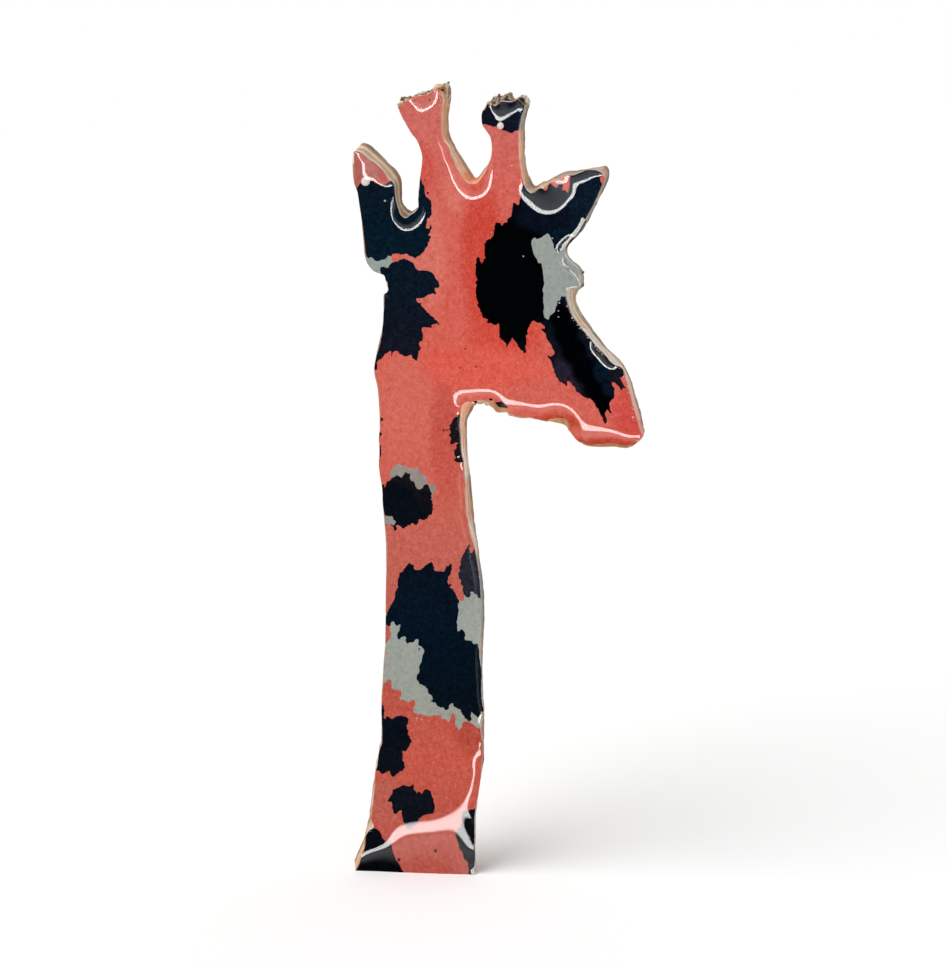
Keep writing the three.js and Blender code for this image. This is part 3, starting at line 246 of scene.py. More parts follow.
    (10.6, 71.24, 10.6, 71.24, 10.7962, 71.4745), (10.29, 70.95, 10.29, 70.95, 10.5496, 71.1396),
    (10.11, 70.74, 10.11, 70.74, 10.3616, 70.9231), (9.87, 70.41, 9.87, 70.41, 10.0547, 70.6349),
    (9.65, 70.02, 9.65, 70.02, 9.7338, 70.3436), (9.6, 69.82, 9.6, 69.82, 9.6069, 70.1884),
    (9.61, 69.71, 9.61, 69.71, 9.5467, 70.1031), (9.65, 69.52, 9.65, 69.52, 9.4348, 69.8814),
    (9.7, 69.42, 9.7, 69.42, 9.3949, 69.7091), (9.75, 69.31, 9.75, 69.31, 9.3764, 69.5095),
    (9.88, 69.09, 9.88, 69.09, 9.4659, 69.1139), (10.02, 68.87, 10.02, 68.87, 9.6688, 68.7883),
    (10.16, 68.68, 10.16, 68.68, 9.8849, 68.5705), (10.24, 68.59, 10.24, 68.59, 9.9797, 68.4731),
    (10.73, 68.08, 10.73, 68.08, 10.51, 68.0154), (10.8, 67.99, 10.8, 67.99, 10.5733, 67.9429),
    (10.94, 67.78, 10.94, 67.78, 10.7095, 67.792), (11.05, 67.57, 11.05, 67.57, 10.8274, 67.6247),
    (11.14, 67.34, 11.14, 67.34, 10.916, 67.4405), (11.17, 67.22, 11.17, 67.22, 10.9593, 67.357),
    (11.22, 66.86, 11.22, 66.86, 11.0561, 67.0491), (11.23, 66.73, 11.23, 66.73, 11.0844, 66.9421),
    (11.17, 66.25, 11.17, 66.25, 11.083, 66.4812), (11.07, 66.02, 11.07, 66.02, 11.0629, 66.2392),
    (11, 65.94, 11, 65.94, 11.0972, 66.1322), (10.79, 65.87, 10.79, 65.87, 11.0626, 65.8536),
    (10.43, 65.85, 10.43, 65.85, 10.9018, 65.5067), (10.07, 65.86, 10.07, 65.86, 10.6727, 65.3505),
    (9.8, 65.66, 9.8, 65.66, 10.5346, 65.2158), (9.67, 65.47, 9.67, 65.47, 10.5008, 65.1867),
    (9.64, 65.36, 9.64, 65.36, 10.4534, 65.1569), (9.64, 64.76, 9.64, 64.76, 10.3117, 64.8106),
    (9.67, 64.63, 9.67, 64.63, 10.2394, 64.7391), (9.87, 63.93, 9.87, 63.93, 10.1943, 64.1512),
    (9.99, 63.45, 9.99, 63.45, 10.2863, 63.706), (10.03, 63.33, 10.03, 63.33, 10.332, 63.5835),
    (10.12, 63.1, 10.12, 63.1, 10.4239, 63.3637), (10.24, 62.9, 10.24, 62.9, 10.529, 63.1682),
    (11.31, 61.34, 11.31, 61.34, 11.5401, 61.5585), (12.07, 60.43, 12.07, 60.43, 12.2258, 60.591),
    (12.64, 59.59, 12.64, 59.59, 12.8193, 59.7409), (13.42, 58.84, 13.42, 58.84, 13.5375, 58.9349),
    (13.58, 58.66, 13.58, 58.66, 13.6989, 58.7579), (14.43, 57.65, 14.43, 57.65, 14.62, 57.81),
    (14.68, 57.44, 14.68, 57.44, 14.8234, 57.5522), (15.14, 57.31, 15.14, 57.31, 15.0868, 57.2763),
    (15.24, 57.26, 15.24, 57.26, 15.1232, 57.1863), (15.42, 57.1, 15.42, 57.1, 15.1951, 56.9975),
    (15.56, 56.9, 15.56, 56.9, 15.3211, 56.777), (15.79, 56.01, 15.79, 56.01, 15.7337, 55.9817),
    (16, 55.31, 16, 55.31, 15.9702, 55.2852), (16.02, 55.2, 16.02, 55.2, 16.0025, 55.1758),
    (16.34, 53.68, 16.34, 53.68, 16.389, 53.6797), (16.58, 52.74, 16.58, 52.74, 16.656, 52.7415),
    (16.8571, 51.8532, 16.8571, 51.8532, 16.9051, 51.8679), (17.1971, 50.4532, 17.1971, 50.4532, 17.0918, 50.4847),
    (17.2214, 50.3646, 17.2214, 50.3646, 17.1178, 50.394), (17.256, 50.276, 17.256, 50.276, 17.0943, 50.3129),
    (17.4154, 50.0587, 17.4154, 50.0487, 17.2256, 50.0689), (17.4528, 49.9593, 17.4528, 49.9493, 17.2627, 49.9634),
    (17.4309, 49.8598, 17.4309, 49.8498, 17.2638, 49.8848), (17.37, 49.76, 17.38, 49.75, 17.2356, 49.7725),
    (17.3007, 49.6598, 17.3107, 49.6398, 17.1886, 49.657), (17.2231, 49.5592, 17.2331, 49.5392, 17.157, 49.5286),
    (17.1564, 49.4884, 17.1764, 49.4484, 17.1235, 49.4016), (17.0906, 49.4074, 17.1106, 49.3674, 17.0945, 49.2815),
    (16.8502, 49.1824, 16.8802, 49.1124, 16.8968, 48.9735), (16.7676, 49.1106, 16.7976, 49.0406, 16.8215, 48.8863),
    (16.362, 48.842, 16.402, 48.732, 16.4169, 48.5735), (16.2596, 48.7901, 16.2896, 48.6701, 16.2953, 48.5411),
    (15.9175, 48.6856, 15.9375, 48.5256, 15.9118, 48.4441), (15.8014, 48.6746, 15.8214, 48.5046, 15.7855, 48.4651),
    (15.6862, 48.6382, 15.7062, 48.4482, 15.668, 48.4521), (15.5882, 48.6603, 15.5982, 48.4503, 15.563, 48.4536),
    (14.8342, 48.8654, 14.8242, 48.5354, 14.8009, 48.5361), (14.5, 48.94, 14.48, 48.57, 14.46, 48.57),
    (14.38, 48.94, 14.36, 48.58, 14.34, 48.58), (12.94, 48.88, 12.92, 48.59, 12.9, 48.59),
    (12.81, 48.87, 12.79, 48.6, 12.77, 48.6), (12.2, 48.86, 12.18, 48.63, 12.16, 48.63),
    (11.82, 48.86, 11.8, 48.67, 11.78, 48.67), (11.71, 48.87, 11.68, 48.68, 11.659, 48.6708),
    (11.3497, 48.9027, 11.3197, 48.7627, 11.2997, 48.7627), (11.035, 49.0174, 11.005, 48.9174, 10.985, 48.9174),
    (10.9538, 49.0598, 10.9138, 48.9798, 10.9038, 48.9798), (10.6421, 49.1683, 10.6221, 49.1283, 10.6121, 49.1283),
    (10.3649, 49.3401, 10.3549, 49.3201, 10.3449, 49.3201), (10.1081, 49.5952, 10.1081, 49.5852, 10.1081, 49.5852),
    (10.0528, 49.7027, 10.0428, 49.6927, 10.0428, 49.6927), (9.9055, 49.9017, 9.8955, 49.8917, 9.9055, 49.8917),
    (9.7112, 50.189, 9.6712, 50.149, 9.6912, 50.149), (9.6404, 50.2779, 9.5904, 50.2279, 9.6104, 50.2279),
    (9.5488, 50.4845, 9.4588, 50.3845, 9.4888, 50.3845), (9.5129, 50.6041, 9.4129, 50.4741, 9.4429, 50.4741),
    (9.5124, 50.9873, 9.3324, 50.7273, 9.3724, 50.7273), (9.495, 51.1, 9.295, 50.8, 9.335, 50.8),
    (9.4007, 51.31, 9.1607, 50.93, 9.2007, 50.93), (9.2737, 51.49, 8.9937, 51.04, 9.0337, 51.04),
    (9.1767, 51.56, 8.8967, 51.09, 8.9367, 51.09), (9.0597, 51.62, 8.7697, 51.14, 8.8097, 51.14),
    (8.9227, 51.66, 8.6327, 51.17, 8.6827, 51.17), (8.42, 51.72, 8.19, 51.28, 8.23, 51.28),
    (7.66, 51.67, 7.57, 51.41, 7.62, 51.41), (7.42, 51.64, 7.36, 51.44, 7.41, 51.44),
    (7.31, 51.63, 7.26, 51.45, 7.31, 51.45), (6.95, 51.55, 6.92, 51.41, 6.97, 51.41),
    (6.47, 51.71, 6.45, 51.57, 6.4989, 51.5615), (6.3356, 51.7334, 6.3156, 51.5934, 6.3656, 51.5934),
    (6.12, 51.79, 6.1, 51.64, 6.1588, 51.6315), (6.01, 51.8, 5.99, 51.66, 6.04, 51.66),
    (5.4, 51.86, 5.39, 51.73, 5.44, 51.73), (5.28, 51.86, 5.26, 51.74, 5.32, 51.74),
    (4.3607, 51.87, 4.3507, 51.79, 4.4009, 51.7952), (4.1457, 51.908, 4.1357, 51.818, 4.1957, 51.818),
    (4.0304, 51.9297, 4.0104, 51.8297, 4.0704, 51.8297), (3.1815, 52.288, 3.1115, 52.038, 3.1815, 52.038),
    (2.9946, 52.4037, 2.9146, 52.0837, 2.9746, 52.0837), (2.9529, 52.4859, 2.8529, 52.1259, 2.9129, 52.1259),
    (2.9159, 52.61, 2.7959, 52.21, 2.8659, 52.21), (2.8895, 52.88, 2.7395, 52.4, 2.8095, 52.4),
    (2.8225, 52.98, 2.6525, 52.46, 2.7225, 52.46), (2.5982, 53.05, 2.3882, 52.46, 2.4582, 52.46),
    (2.1706, 53.07, 1.8706, 52.43, 1.9506, 52.43), (1.9339, 53.12, 1.5839, 52.49, 1.6639, 52.49),
    (1.8433, 53.21, 1.4733, 52.58, 1.5433, 52.58), (1.6133, 53.5, 1.1633, 52.95, 1.2533, 52.95),
    (1.3906, 53.62, 0.9106, 53.14, 1.0006, 53.14), (1.2612, 53.66, 0.7812, 53.23, 0.8712, 53.23),
    (1.1294, 53.69, 0.6694, 53.3, 0.7594, 53.3), (1.03, 53.68, 0.58, 53.34, 0.68, 53.34),
    (0.96, 53.6, 0.54, 53.3, 0.63, 53.3), (0.86, 53.37, 0.51, 53.15, 0.6, 53.15),
    (0.751, 53.32, 0.441, 53.14, 0.541, 53.14), (0.6294, 53.29, 0.3694, 53.14, 0.4616, 53.1564),
    (0.5268, 53.3472, 0.3168, 53.2272, 0.4068, 53.2172), (0.3607, 53.4858, 0.2307, 53.4058, 0.2907, 53.3158),
    (0.2554, 53.5384, 0.1554, 53.4784, 0.1854, 53.2984), (0.1368, 53.5828, 0.0668, 53.5328, 0.0468, 53.2228),
    (-0.2247, 53.7255, -0.2447, 53.7055, -0.3447, 53.0855), (-0.3468, 53.75, -0.3568, 53.73, -0.4347, 53.1044),
    (-0.46, 53.69, -0.47, 53.68, -0.5027, 53.0979), (-0.6691, 53.5, -0.6691, 53.49, -0.6235, 53.0398),
    (-0.7761, 53.45, -0.7761, 53.45, -0.7391, 52.996), (-0.904, 53.4106, -0.904, 53.4106, -0.844, 53.0006),
    (-1.2189, 53.6923, -1.2189, 53.6923, -1.0589, 53.0723), (-1.32, 53.7486, -1.32, 53.7486, -1.11, 53.0886),
    (-1.447, 53.76, -1.447, 53.76, -1.173, 53.039), (-1.58, 53.72, -1.58, 53.72, -1.2182, 52.9742),
    (-1.71, 53.67, -1.71, 53.67, -1.2719, 52.9164), (-1.92, 53.56, -1.92, 53.56, -1.3466, 52.8535),
    (-2.04, 53.49, -2.04, 53.49, -1.384, 52.8201), (-2.14, 53.41, -2.14, 53.41, -1.4288, 52.7868),
    (-2.24, 53.32, -2.24, 53.32, -1.4661, 52.7488), (-2.31, 53.22, -2.31, 53.22, -1.5044, 52.7252),
    (-2.36, 53.12, -2.36, 53.12, -1.5426, 52.6974), (-2.41, 52.89, -2.41, 52.89, -1.6521, 52.5497),
    (-2.43, 52.5, -2.43, 52.5, -1.8339, 52.2241), (-2.44, 52.36, -2.44, 52.36, -1.9154, 52.1072),
    (-2.55, 51.63, -2.55, 51.63, -2.2807, 51.5501), (-2.58, 51.38, -2.58, 51.38, -2.3608, 51.3412),
    (-2.59, 51.14, -2.59, 51.14, -2.4169, 51.1203), (-2.59, 51.01, -2.59, 51.01, -2.4182, 51.0101),
    (-2.57, 50.65, -2.57, 50.65, -2.4154, 50.6516), (-2.51, 50.03, -2.51, 50.03, -2.4369, 50.0224),
    (-2.51, 48.93, -2.51, 48.93, -2.4959, 48.9315), (-2.44, 47.71, -2.44, 47.71, -2.4573, 47.7202),
    (-2.44, 47.69, -2.44, 47.69, -2.4666, 47.6916), (-2.49, 48.1, -2.49, 48.1, -2.5172, 48.112),
    (-2.3, 47.14, -2.3, 47.14, -2.4181, 47.1511), (-2.25, 46.51, -2.25, 46.51, -2.3974, 46.5012),
    (-2.22, 41.59, -2.22, 41.59, -2.1256, 41.6189), (-2.07, 40.49, -2.07, 40.49, -2.0413, 40.5184),
    (-1.7, 38.87, -1.7, 38.87, -1.9144, 38.877), (-1.67, 38.76, -1.67, 38.76, -1.9281, 38.7517),
    (-1.49, 38.1, -1.49, 38.1, -1.8341, 38.0845), (-1.42, 37.49, -1.42, 37.49, -1.7141, 37.4924),
    (-1.37, 36.84, -1.37, 36.84, -1.664, 36.8432), (-1.23, 35.84, -1.23, 35.84, -1.595, 35.8317),
    (-1.07, 34.65, -1.07, 34.65, -1.4317, 34.6621), (-1, 33.8, -1, 33.8, -1.3499, 33.8006),
    (-1, 33.67, -1, 33.67, -1.3522, 33.6699), (-0.98, 31.75, -0.98, 31.75, -1.262, 31.76),
    (-0.98, 31.11, -0.98, 31.11, -1.2458, 31.11), (-0.99, 30.47, -0.99, 30.47, -1.2382, 30.4696),
    (-1.01, 29.83, -1.01, 29.83, -1.2614, 29.8296), (-1.1, 28.16, -1.1, 28.16, -1.3529, 28.1497),
    (-1.23, 25.58, -1.23, 25.58, -1.5976, 25.5687), (-1.23, 25.32, -1.23, 25.32, -1.6291, 25.3094),
    (-1.24, 24.15, -1.24, 24.15, -1.7447, 24.1498), (-1.23, 21.56, -1.23, 21.56, -1.8009, 21.5595),
    (-1.15, 19.1, -1.15, 19.1, -1.7256, 19.0998), (-1.16, 18.97, -1.16, 18.97, -1.7262, 18.971),
    (-1.2, 18.58, -1.2, 18.58, -1.737, 18.5815), (-1.46, 17.67, -1.46, 17.67, -1.7633, 17.6861),
    (-1.5, 17.42, -1.5, 17.42, -1.7481, 17.4351), (-1.5, 16.63, -1.5, 16.63, -1.7687, 16.6411),
    (-1.42, 16.23, -1.42, 16.23, -1.7944, 16.22), (-1.42, 16.15, -1.42, 16.15, -1.8331, 16.15),
    (-1.5, 15.11, -1.5, 15.11, -1.9206, 15.122), (-1.5, 13.94, -1.5, 13.94, -1.9616, 13.954),
    (-1.55, 13.55, -1.55, 13.55, -1.9683, 13.5628), (-1.68, 12.8, -1.68, 12.8, -2.0061, 12.8005),
    (-1.68, 12.68, -1.68, 12.68, -1.9666, 12.6766), (-1.68, 11.92, -1.68, 11.92, -2.1373, 11.9071),
    (-1.69, 11.79, -1.69, 11.79, -2.1784, 11.7756), (-1.93, 10.61, -1.93, 10.61, -2.5156, 10.6041),
    (-1.98, 10.35, -1.98, 10.35, -2.6163, 10.3528), (-2.42, 7.6, -2.42, 7.6, -3.1234, 7.6083),
    (-2.49, 7.12, -2.49, 7.12, -3.2323, 7.1294), (-2.51, 6.87, -2.51, 6.87, -3.3823, 6.8842),
    (-2.73, 2.95, -2.73, 2.95, -3.8434, 2.9696), (-2.74, 2.81, -2.74, 2.81, -3.6249, 3.2156),
]
DARK_PATCHES = [
    [
        (5.06, 86.1), (5.16, 86.11), (5.58, 85.61), (5.83, 85.46), (6.08, 85.17), (6, 84.66), (5.72, 84.01),
        (5.41, 82.56), (4.78, 82.57), (4.43, 82.42), (4.3, 82.43), (3.78, 82.56), (3.42, 82.8), (2.8, 83.05),
        (2.38, 83.04), (1.7, 83.41), (0.81, 83.43), (0.76, 83.88), (0.83, 84.66), (1.41, 85.61), (1.69, 85.87),
        (2.04, 85.68), (2.26, 85.73), (2.55, 85.54), (2.77, 85.62), (3.21, 86.03), (3.78, 86), (4.42, 85.9),
        (4.61, 85.93),
    ],
    [
        (12.5, 78.45), (12.89, 78.45), (13.45, 78.35), (13.93, 77.96), (13.94, 77.91), (13.8, 77.78),
        (13.67, 77.53), (13.65, 77.06), (13.76, 76.53), (14.01, 76.31), (13.55, 75.3), (12.82, 73.96),
        (11.74, 72.17), (11.1, 71.28), (10.84, 71.04), (10.68, 70.98), (10.51, 70.78), (10.27, 70.83),
        (10.08, 70.66), (10.04, 70.86), (9.98, 70.87), (9.22, 70.47), (8.95, 70.06), (8.58, 70.09), (8.43, 70.57),
        (8.27, 71.43), (8.06, 71.68), (7.79, 71.69), (7.4, 71.34), (7.06, 71.28), (6.73, 70.68), (6.72, 70.09),
        (6.61, 70.15), (6.59, 70.04), (6.78, 69.53), (6.79, 69.27), (6.88, 69.18), (6.89, 68.94), (6.97, 68.86),
        (6.99, 68.73), (7.08, 68.62), (7.25, 67.82), (7.24, 66.83), (7.29, 66.67), (7.16, 65.47), (7.15, 64.3),
        (7.22, 63.97), (7.13, 63.68), (7.16, 63.52), (7.12, 63.31), (7.2, 62.82), (7.62, 62.4), (7.85, 62.94),
        (8.35, 63.28), (8.48, 63.78), (8.64, 63.96), (8.66, 64.39), (8.77, 64.5), (8.9, 64.49), (9.05, 64.91),
        (9.28, 64.98), (9.54, 64.9), (9.92, 64.88), (9.93, 64.67), (10.37, 63.21), (10.91, 62.32), (11.59, 61.36),
        (12.38, 60.4), (12.85, 59.69), (13.68, 58.86), (14.23, 58.2), (14.73, 57.7), (15.26, 57.52),
        (15.87, 56.85), (15.93, 56.47), (15.66, 56.41), (15.21, 56.07), (15.4, 55.56), (15.8, 54.98),
        (15.77, 54.9), (15.66, 54.9), (15.53, 54.97), (15.42, 54.89), (15.37, 54.73), (15.31, 54.72),
        (15.2, 54.84), (15.15, 55), (14.8, 55.38), (14.73, 55.55), (14.49, 55.67), (14.27, 55.64), (14.26, 55.29),
        (14.54, 54.96), (14.51, 54.02), (14.01, 53.52), (13.97, 53.42), (13.96, 53.25), (14.06, 53.04),
        (14.05, 52.71), (14.15, 52.52), (14.14, 52.39), (14.08, 52.38), (13.77, 52.68), (13.66, 52.67),
        (13.52, 52.48), (13.49, 51.94), (13.59, 51.75), (13.57, 51.23), (13.53, 51.18), (13.4, 51.3),
        (13.35, 51.46), (13.19, 51.64), (13.16, 51.89), (12.99, 52.08), (12.96, 52.32), (12.79, 52.52),
        (12.75, 52.76), (12.56, 52.98), (12.45, 53.3), (12.26, 53.51), (12.22, 53.66), (11.93, 53.96), (11.86, 54),
        (11.46, 54.01), (11.35, 54.1), (11, 54.25), (10.77, 54.5), (10.74, 54.63), (10.61, 54.67), (10.46, 54.81),
        (10.41, 54.97), (10.05, 55.36), (10, 55.52), (9.75, 55.77), (9.54, 55.85), (9.49, 55.77), (9.48, 55.39),
        (9.41, 55.33), (9.32, 55.34), (9.02, 55.64), (8.88, 55.68), (8.57, 56), (8.51, 56.17), (8.32, 56.38),
        (8.32, 56.6), (8.12, 56.82), (8.13, 57.22), (8.03, 57.36), (8.02, 57.57), (7.93, 57.68), (7.92, 57.9),
        (7.54, 58.31), (7.41, 58.58), (7.48, 58.69), (7.69, 58.51), (7.8, 58.51), (8.05, 58.62), (8.17, 58.75),
        (8.18, 59.05), (7.99, 59.4), (7.97, 59.62), (7.89, 59.73), (7.87, 59.83), (7.59, 60.13), (7.56, 60.27),
        (7.47, 60.38), (7.46, 60.59), (7.37, 60.7), (7.26, 61.03), (6.88, 61.44), (6.89, 61.49), (7.11, 61.5),
        (7.27, 61.56), (7.28, 61.78), (7.17, 61.91), (6.83, 62.14), (6.48, 62.19), (6.16, 62.37), (5.94, 62.37),
        (5.69, 62.14), (5.66, 62.02), (5.57, 61.92), (5.54, 61.7), (5.33, 61.39), (5.31, 60.98), (5.2, 60.82),
        (5.16, 59.91), (5.05, 59.69), (5.04, 59.37), (5.14, 59.15), (4.98, 58.99), (4.84, 59.1), (4.81, 59.24),
        (4.7, 59.36), (4.53, 59.43), (4.31, 59.65), (4.18, 60.01), (3.99, 60.22), (3.97, 60.33), (3.78, 60.54),
        (3.73, 60.69), (3.56, 60.55), (3.53, 60.34), (3.44, 60.23), (3.18, 59.7), (3.01, 59.67), (2.97, 59.73),
        (2.97, 60.02), (2.47, 60.56), (2.45, 60.68), (2.36, 60.79), (2.35, 61.01), (2.26, 61.12), (2.29, 62.19),
        (2.23, 62.22), (2.03, 62.06), (1.92, 62.05), (1.49, 62.24), (1.13, 62.29), (1.1, 62.35), (1.1, 62.65),
        (1.01, 62.74), (0.96, 62.79), (0.58, 62.86), (0.47, 63.12), (0.47, 63.41), (0.27, 63.63), (0.26, 63.85),
        (0.07, 64.17), (0.08, 64.47), (-0.03, 64.63), (-0.02, 64.9), (-0.12, 65.06), (-0.07, 66.19), (0.04, 66.38),
        (-0.06, 66.59), (-0.05, 66.76), (0.06, 66.91), (0.06, 67.07), (-0.04, 67.24), (0.02, 68.55), (0.13, 68.73),
        (0.13, 68.89), (0.06, 69.03), (0.18, 69.24), (0.33, 69.35), (0.47, 69.21), (0.47, 68.89), (0.6, 68.64),
        (0.9, 68.88), (0.92, 69.09), (1.03, 69.22), (1.09, 70.79), (1.19, 70.9), (1.25, 71.15), (1.39, 71.18),
        (1.5, 71.27), (1.72, 71.28), (2.09, 71.62), (2.12, 72.12), (2.23, 72.28), (2.28, 72.92), (2.35, 72.95),
        (2.62, 72.94), (2.73, 72.85), (2.89, 72.79), (2.91, 72.65), (3.02, 72.62), (3.1, 72.64), (3.41, 72.92),
        (3.63, 72.93), (3.68, 73.28), (3.94, 73.52), (4.1, 73.57), (4.13, 73.79), (4.21, 73.9), (4.13, 74.06),
        (4.24, 74.24), (4.27, 74.85), (4.35, 74.91), (4.51, 74.9), (4.83, 74.69), (4.94, 74.77), (5.1, 75.45),
        (5.06, 76.11), (5.32, 76.71), (5.83, 76.87), (6, 76.49), (6.37, 76.24), (7.04, 76.82), (7.39, 76.81),
        (7.47, 76.66), (7.49, 76.48), (7.6, 76.22), (7.76, 76.1), (7.9, 76.09), (8.08, 76.62), (8.08, 76.99),
        (7.95, 77.12), (8.16, 77.33), (8.25, 77.3), (8.37, 76.9), (8.65, 76.57), (8.89, 76.4), (9.13, 76.52),
        (9.28, 77.29), (9.15, 77.38), (9.1, 77.48), (9.11, 77.59), (9.2, 77.61), (9.36, 77.42), (9.38, 76.9),
        (9.77, 76.76), (9.71, 76.42), (9.55, 76.19), (9.8, 76.08), (10.26, 75.8), (10.44, 76.51), (10.49, 77.96),
        (10.92, 78), (11.9, 78.4),
    ],
    [
        (-5.81, 78.05), (-5.69, 78.05), (-5.63, 77.99), (-5.55, 77.4), (-5.31, 77.13), (-5.33, 76.55),
        (-5.14, 76.04), (-5.07, 75.9), (-4.58, 75.38), (-4.64, 73.95), (-4.74, 73.84), (-4.77, 73.7),
        (-5.02, 73.53), (-5.22, 73.13), (-5.24, 72.58), (-5.2, 72.52), (-4.95, 72.51), (-4.77, 72.86),
        (-4.71, 72.89), (-4.68, 72.83), (-4.68, 72.56), (-4.8, 72.43), (-4.82, 72.11), (-5.04, 71.9),
        (-5.03, 71.79), (-4.83, 71.69), (-4.83, 71.5), (-4.94, 71.39), (-4.96, 71.26), (-5.05, 71.18),
        (-5.08, 71.05), (-5.17, 70.97), (-5.2, 70.73), (-5.3, 70.65), (-5.32, 70.52), (-5.41, 70.44),
        (-5.56, 70.09), (-6.04, 69.65), (-6.42, 69.52), (-6.62, 69.34), (-6.86, 69.54), (-7.2, 69.68),
        (-7.43, 69.88), (-7.71, 69.88), (-7.85, 69.79), (-8.19, 69.79), (-8.3, 69.8), (-8.44, 69.91),
        (-9.02, 69.92), (-9.11, 69.88), (-9.14, 69.72), (-9.24, 69.66), (-9.63, 69.71), (-9.81, 69.52),
        (-10.04, 69.41), (-10.7, 69.3), (-10.9, 69.2), (-11.17, 69.22), (-11.37, 69.63), (-11.48, 69.63),
        (-11.84, 69.49), (-12.08, 69.66), (-12.19, 69.94), (-12.46, 70.03), (-12.7, 70.05), (-12.99, 74.32),
        (-13.27, 76.88), (-12.92, 77.02), (-12.58, 77.33), (-11.89, 77.82), (-11.46, 77.76), (-11.29, 77.8),
        (-10.57, 77.42), (-10.3, 77.37), (-10.17, 77.29), (-9.82, 77.24), (-9.35, 77.58), (-8.98, 77.66),
        (-8.89, 77.82), (-8.83, 77.83), (-8.64, 77.62), (-8.41, 77.14), (-8.39, 76.25), (-8.31, 75.61),
        (-8.04, 74.59), (-7.89, 74.2), (-7.62, 74.03), (-7.08, 74.36), (-6.72, 74.74), (-6.6, 74.97),
        (-6.53, 76.25), (-6.37, 77.02), (-6.27, 77.82), (-6.23, 77.86), (-5.93, 77.86),
    ],
    [
        (-7.97, 69.34), (-7.88, 69.35), (-7.74, 69.25), (-7.55, 69.23), (-7.44, 69.14), (-6.87, 68.87),
        (-6.62, 68.29), (-6.48, 68.15), (-5.84, 68.13), (-5.68, 68.02), (-5.4, 68.01), (-5.24, 67.9),
        (-4.92, 67.88), (-4.66, 67.61), (-4.44, 67.05), (-4.14, 66.73), (-4.13, 66.63), (-4.04, 66.49),
        (-4.05, 66.3), (-4.31, 66.17), (-4.53, 66.15), (-4.6, 66.1), (-4.61, 65.77), (-4.42, 65.66),
        (-4.55, 65.53), (-4.67, 65.52), (-4.78, 65.59), (-4.92, 65.59), (-5.12, 65.43), (-5.32, 65.41),
        (-5.57, 65.31), (-5.83, 65.11), (-6.62, 65.08), (-6.66, 65.03), (-6.67, 64.78), (-6.52, 64.59),
        (-6.14, 64.53), (-6.24, 64.37), (-6.21, 64.26), (-5.05, 63.07), (-4.78, 62.9), (-4.73, 62.74),
        (-4.54, 62.64), (-4.52, 62.52), (-4.23, 62.19), (-4.39, 62.17), (-4.58, 62.34), (-4.72, 62.27),
        (-5.06, 62.24), (-5.2, 62.1), (-5.11, 61.97), (-5.16, 61.85), (-5.3, 61.86), (-5.41, 61.93),
        (-6.16, 61.93), (-6.23, 61.8), (-6.25, 61.5), (-6.15, 61.36), (-6.14, 61.14), (-6.06, 61.03),
        (-6.16, 60.9), (-6.18, 60.52), (-6.22, 60.46), (-6.39, 60.4), (-6.63, 60.17), (-6.64, 60.06),
        (-6.55, 59.95), (-6.44, 59.65), (-6.67, 59.3), (-6.7, 59.08), (-6.8, 58.95), (-6.83, 58.54),
        (-6.98, 58.29), (-7.26, 58.52), (-7.37, 58.65), (-7.39, 58.77), (-7.52, 58.91), (-7.75, 58.92),
        (-7.95, 58.81), (-8.32, 58.82), (-8.53, 59.03), (-8.7, 59.07), (-9, 59.36), (-9.23, 59.36), (-9.49, 59.23),
        (-9.62, 59.11), (-9.64, 58.84), (-9.71, 58.75), (-9.75, 58.81), (-9.74, 59.33), (-9.89, 59.37),
        (-10.24, 59.08), (-10.4, 59.03), (-10.47, 58.87), (-10.97, 58.42), (-11.23, 58.38), (-11.39, 58.24),
        (-11.51, 58.02), (-11.42, 57.88), (-11.44, 57.39), (-11.64, 57.21), (-11.9, 57.33), (-11.93, 57.44),
        (-12.21, 57.47), (-12.23, 57.8), (-11.65, 60.04), (-11.29, 61.21), (-11.03, 62.41), (-10.91, 64.5),
        (-10.78, 65.51), (-10.37, 65.88), (-10.25, 66.09), (-10.31, 66.5), (-10.28, 66.8), (-10.47, 67.02),
        (-10.56, 67.38), (-10.73, 67.51), (-10.65, 67.73), (-10.68, 67.81), (-10.51, 68.55), (-10.41, 68.64),
        (-10.21, 68.64), (-9.91, 68.45), (-9.66, 68.45), (-9.44, 68.67), (-9.4, 68.83), (-9.13, 69.1),
        (-8.48, 69.08),
    ],
    [
        (0.86, 54.12), (1.28, 54.14), (1.36, 53.97), (1.2, 53.89), (0.96, 53.91), (0.83, 53.98),
    ],
    [
        (1.99, 53.81), (2.38, 53.76), (2.67, 53.5), (2.87, 53.22), (2.89, 52.97), (2.84, 52.8), (2.59, 52.72),
        (1.9, 52.83), (1.53, 53.23), (1.4, 53.28), (1.61, 53.76), (1.81, 53.7),
    ],
    [
        (-0.91, 53.8), (-0.5, 53.78), (-0.34, 53.71), (-0.31, 53.46), (-0.75, 53.18), (-0.83, 53.19),
        (-0.89, 53.28), (-0.75, 53.52), (-0.89, 53.66),
    ],
    [
        (-0.18, 53.65), (-0.14, 53.65), (-0.14, 53.57), (-0.24, 53.42), (-0.28, 53.46),
    ],
    [
        (-2.67, 52.23), (-2.51, 52.2), (-2.49, 51.95), (-2.24, 51.93), (-2.2, 51.89), (-2.29, 51.01),
        (-2.22, 50.1), (-2.16, 47.92), (-2.21, 47.86), (-2.43, 47.82), (-2.45, 47.68), (-2.39, 47.61),
        (-2.11, 47.61), (-2.11, 47.53), (-2.28, 47.46), (-2.32, 47.4), (-2.07, 47.4), (-2.04, 47.31),
        (-2.09, 47.27), (-2.4, 47.26), (-2.43, 47.21), (-2.37, 47.07), (-2.62, 46.88), (-2.68, 46.92),
